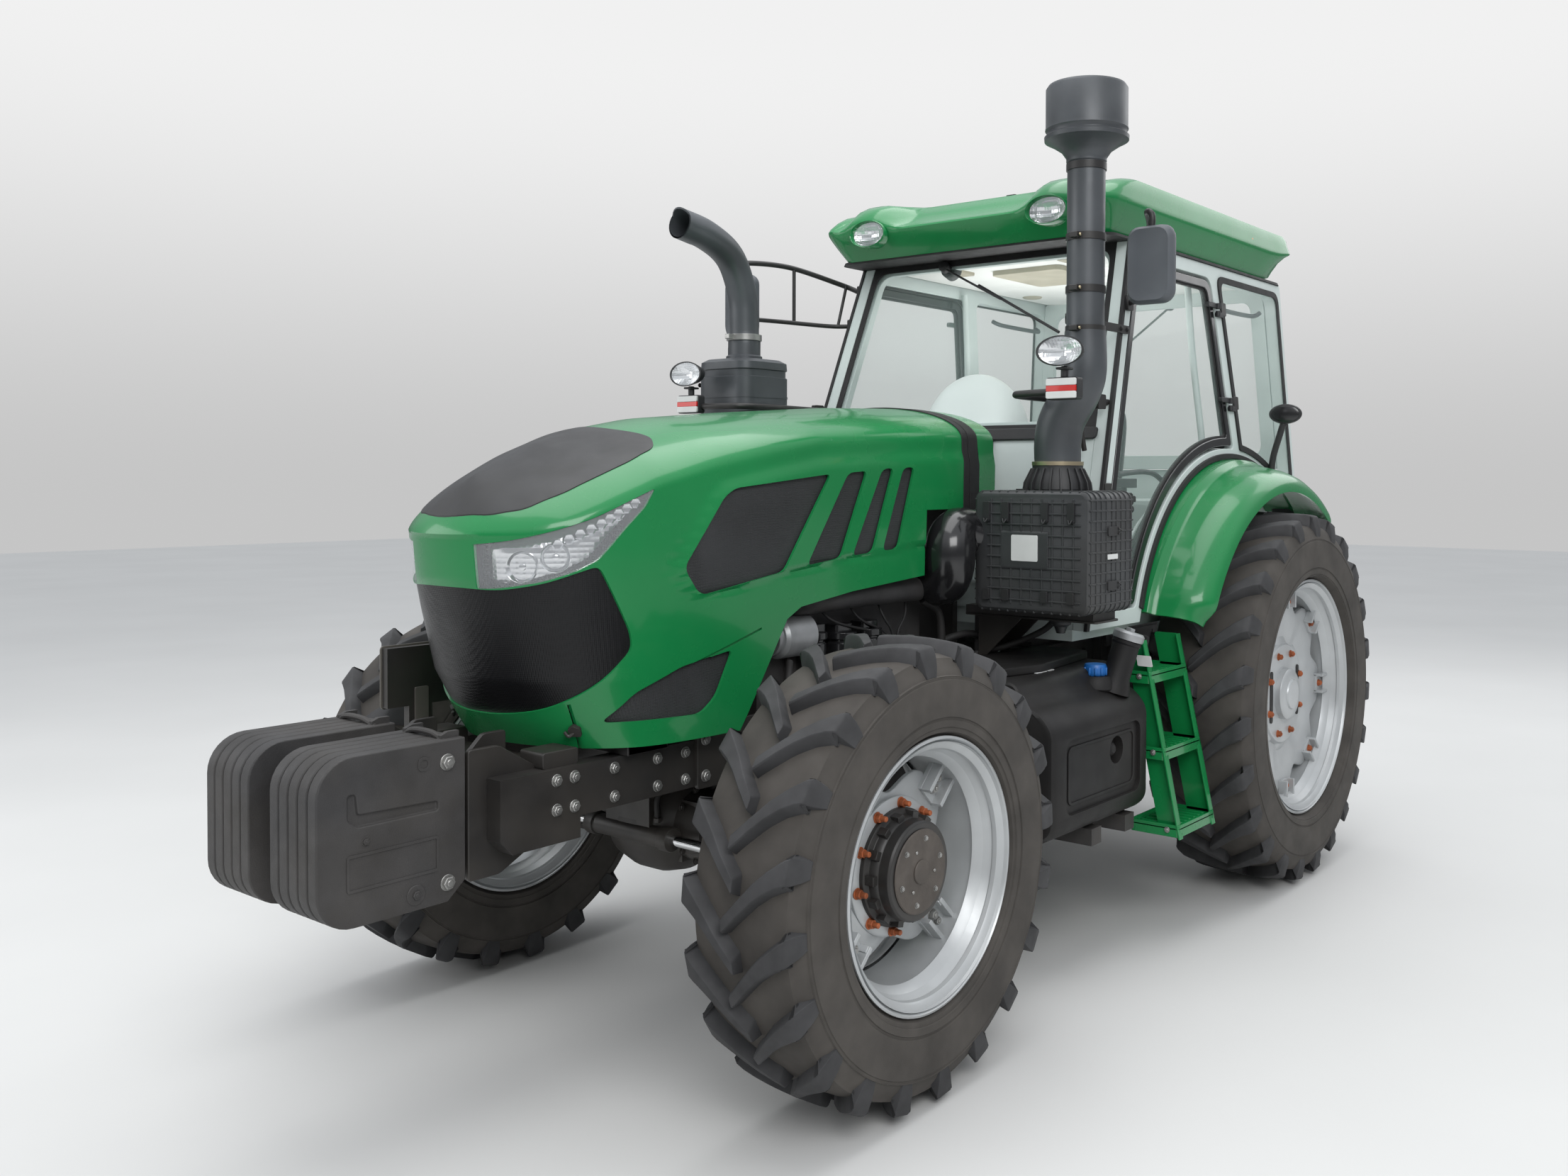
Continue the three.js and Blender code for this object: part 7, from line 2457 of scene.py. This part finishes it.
def make_linkage():
    x, z = -290, 560
    ends = []
    for s in (1, -1):
        for cx, r in ((-1106, 44), (x, 46)):
            ends.append(lathe(
                [(20, -18), (r, -18), (r + 3, -12), (r + 3, 12), (r, 18), (20, 18)], (cx, s * 410, z), "y", 32
            ))
            if cx < -1000:
                ends.append(lathe(
                    [(16, -26), (22, -26), (30, -12), (32, 0), (30, 12), (22, 26), (16, 26)],
                    (cx, s * 410, z), "y", 28
                ))
        ends.append(slab(
            softened(
                [(-520, z - 40), (-860, z - 40), (-900, z), (-860, z + 40), (-520, z + 40), (-480, z)], 16
            ),
            *sorted((s * 398, s * 422))
        ))
        ends.append(disc((-690, s * 410, z), "y", 26, -26, 26, 24))
        ends.append(lathe([(0, 0), (9, 0), (9, 24), (0, 26)], (-960, s * 424, z), facing((0, s, 0)), 16))
    piece("lower_link_ends", merge(*ends), BLACK_PAINT, "lower_links", slot="steel", bevel=2)
    arms = []
    for s in (1, -1):
        arms.append(lathe(
            [(34, -30), (62, -30), (66, -24), (66, 24), (62, 30), (34, 30)], (x, s * 330, 1160), "y", 32
        ))
        arms.append(lathe(
            [(12, -22), (34, -22), (36, -18), (36, 18), (34, 22), (12, 22)], (x - 400, s * 330, 1160), "y", 28
        ))
        arms.append(disc((x - 400, s * 366, 1160), "y", 18, -2, 4, 20))
    piece("lift_arm_bosses", merge(*arms), CAST_IRON, "lift_arms", bevel=2)
    for side, s in (("left", 1), ("right", -1)):
        y = s * (410 - 50.3)
        rod = [
            lathe([(0, 740), (22, 740), (26, 748), (26, 972), (22, 980), (0, 980)], (x - 400, y, 0), "z", 24),
            lathe([(14, -12), (31, -12), (32, -8), (32, 8), (31, 12), (14, 12)], (x - 400, y, z), "y", 28),
            lathe([(14, -12), (31, -12), (32, -8), (32, 8), (31, 12), (14, 12)], (x - 400, y, 1160), "y", 28),
            tube(
                [(x - 400, y + s * 20, 860), (x - 400, y + s * 60, 860), (x - 400, y + s * 64, 790)], 6, 10,
                14
            )
        ]
        for k in range(16):
            zz = 640 + k * 6
            rod.append(disc((x - 400, y, zz), "z", 13, 0, 3, 16, 1))
        piece(f"lift_rod_sleeve_{side}", merge(*rod), STEEL, f"lift_rod_{side}", bevel=1)
    top = [
        lathe(
            [(0, 0), (34, 0), (38, 6), (38, 176), (34, 182), (0, 182)], (-568, 0, 947),
            facing((-0.987, 0, 0.16)), 28
        ),
        tube([(-660, -34, 962), (-660, -60, 990), (-640, -60, 1040)], 7, 10, 14),
        lathe([(16, -28), (42, -28), (44, -22), (44, 22), (42, 28), (16, 28)], (-870, 0, 993), "y", 30),
        lathe(
            [(12, -34), (20, -34), (29, -10), (30, 0), (29, 10), (20, 34), (12, 34)], (-870, 0, 993), "y", 26
        ),
        lathe([(0, -64), (14, -64), (14, 64), (0, 64)], (-440, 0, 930), "y", 20),
        tube([(-440, 60, 930), (-440, 74, 940), (-440, 74, 980), (-440, 56, 984)], 5, 8, 16)
    ]
    for k in range(12):
        top.append(lathe(
            [(19, -2), (24, 0), (19, 2)], (-764 - k * 7, 0, 975.5 + k * 1.2), facing((-0.987, 0, 0.16)), 20
        ))
    piece("top_link_details", merge(*top), STEEL, bevel=1)
    bar = [
        lathe([(0, -70), (16, -70), (16, 26), (26, 28), (26, 40), (0, 42)], (-750, 0, 440), "z", 24),
        tube([(-750, -20, 470), (-750, -20, 500), (-750, 20, 500), (-750, 20, 470)], 5, 8, 20),
        *[bolt((bx, by, 441), (0, 0, 1), 12) for bx, by in ((-345, -110), (-345, 110), (0, -80), (0, 80))],
        slab(rounded(-40, 40, -100, 100, 10), 432, 442, "xy"),
    ]
    piece("drawbar_pin", merge(*bar), STEEL, bevel=1)
    stays = []
    for s in (1, -1):
        stays.append(tube([(-300, s * 300, 520), (-560, s * 380, 548)], 9, 12))
        stays.append(tube([(-380, s * 325, 529), (-480, s * 355, 540)], 16, 14))
    piece("check_stays", merge(*stays), STEEL, sharp=60)


def make_transmission():
    bits = []
    for s in (1, -1):
        for x in (420, 560, 700, 900, 1060, 1260, 1520):
            bits.append(slab(rounded(x, x + 16, 560, 980, 5), *sorted((s * 236, s * 256))))
        bits.append(slab(rounded(620, 860, 620, 880, 40), *sorted((s * 238, s * 262))))
        for bx, bz in ((644, 644), (836, 644), (644, 856), (836, 856), (740, 640), (740, 860)):
            bits.append(bolt((bx, s * 262, bz), (0, s, 0), 10))
        bits.append(slab(rounded(1180, 1206, 520, 1010, 8), *sorted((s * 232, s * 270))))
        bits.append(slab(rounded(1208, 1234, 520, 1010, 8), *sorted((s * 232, s * 270))))
        for z in range(560, 1000, 70):
            bits.append(bolt((1234, s * 254, z), (1, 0, 0), 10))
        bits.append(slab(rounded(1640, 1700, 560, 1030, 20), *sorted((s * 232, s * 300))))
        for z in (600, 700, 800, 900, 1000):
            bits.append(bolt((1640, s * 284, z), (-1, 0, 0), 11))
    bits.append(slab(rounded(400, 1100, -200, 200, 50), 1018, 1060, "xy"))
    bits.append(slab(rounded(400, 1600, -190, 190, 50), 486, 514, "xy"))
    piece("gearbox_castings", merge(*bits), CAST_IRON, bevel=3)
    pipes = []
    for i in range(3):
        s = 1 if i < 2 else -1
        pipes.append(tube(
            [
                (500, s * 268, 940 - i * 24), (900, s * 272, 950 - i * 24), (1300, s * 280, 930 - i * 20),
                (1640, s * 330, 900)
            ],
            8, 10, 40
        ))
    piece("gearbox_pipes", merge(*pipes), STEEL, sharp=60)
    shelf = both(merge(*[bolt((x, y, 451), (0, 0, -1), 12) for x in (1285, 1535) for y in (300, 600, 850)],
                       *[bolt((x, 408, z), (0, 1, 0), 11) for x in (1440, 1480) for z in (560, 900)]))
    piece("carrier_bolts", shelf, STEEL)
    plate = slab(rounded(1395, 1565, 372, 930, 12), 1232, 1240, "xy")
    gussets = merge(*[slab([(430, 1236), (620, 1236), (430, 1050)], x, x + 8, "yz") for x in (1402, 1550)])
    piece("cleaner_shelf", merge(plate, gussets), BLACK_PAINT, bevel=2)
    loom = [
        tube(
            [(1700, 300, 1120), (1560, 380, 1160), (1420, 420, 1120), (1300, 430, 1100), (1240, 460, 1090)],
            14, 12, 30
        ),
        tube(
            [(1650, 340, 1040), (1540, 420, 1090), (1480, 520, 1120), (1440, 640, 1180), (1440, 700, 1236)],
            12, 12, 30
        )
    ]
    piece("side_looms", merge(*loom), SEAL, sharp=60)


make_fenders()
make_rear_axle()
make_linkage()
make_transmission()

# ---- the rest --------------------------------------------------------------------------------------------

for name, node in frame["nodes"].items():
    if not node.hide_render:
        slot = RECORD_SLOTS[name]
        node.data.materials.clear()
        node.data.materials.append(
            {
                "green_paint": GREEN, "roof_green": GREEN, "black_paint": BLACK_PAINT, "cast_iron": CAST_IRON,
                "steel": STEEL, "tyre": RUBBER, "rim_paint": SILVER, "glass": GLASS, "lens": LENS,
                "black_plastic": PLASTIC, "cab_trim": PALE, "seat_fabric": FABRIC
            }[slot]
        )
        shade(node.data, 30)
        bevelled(node, 3, 2, 40)
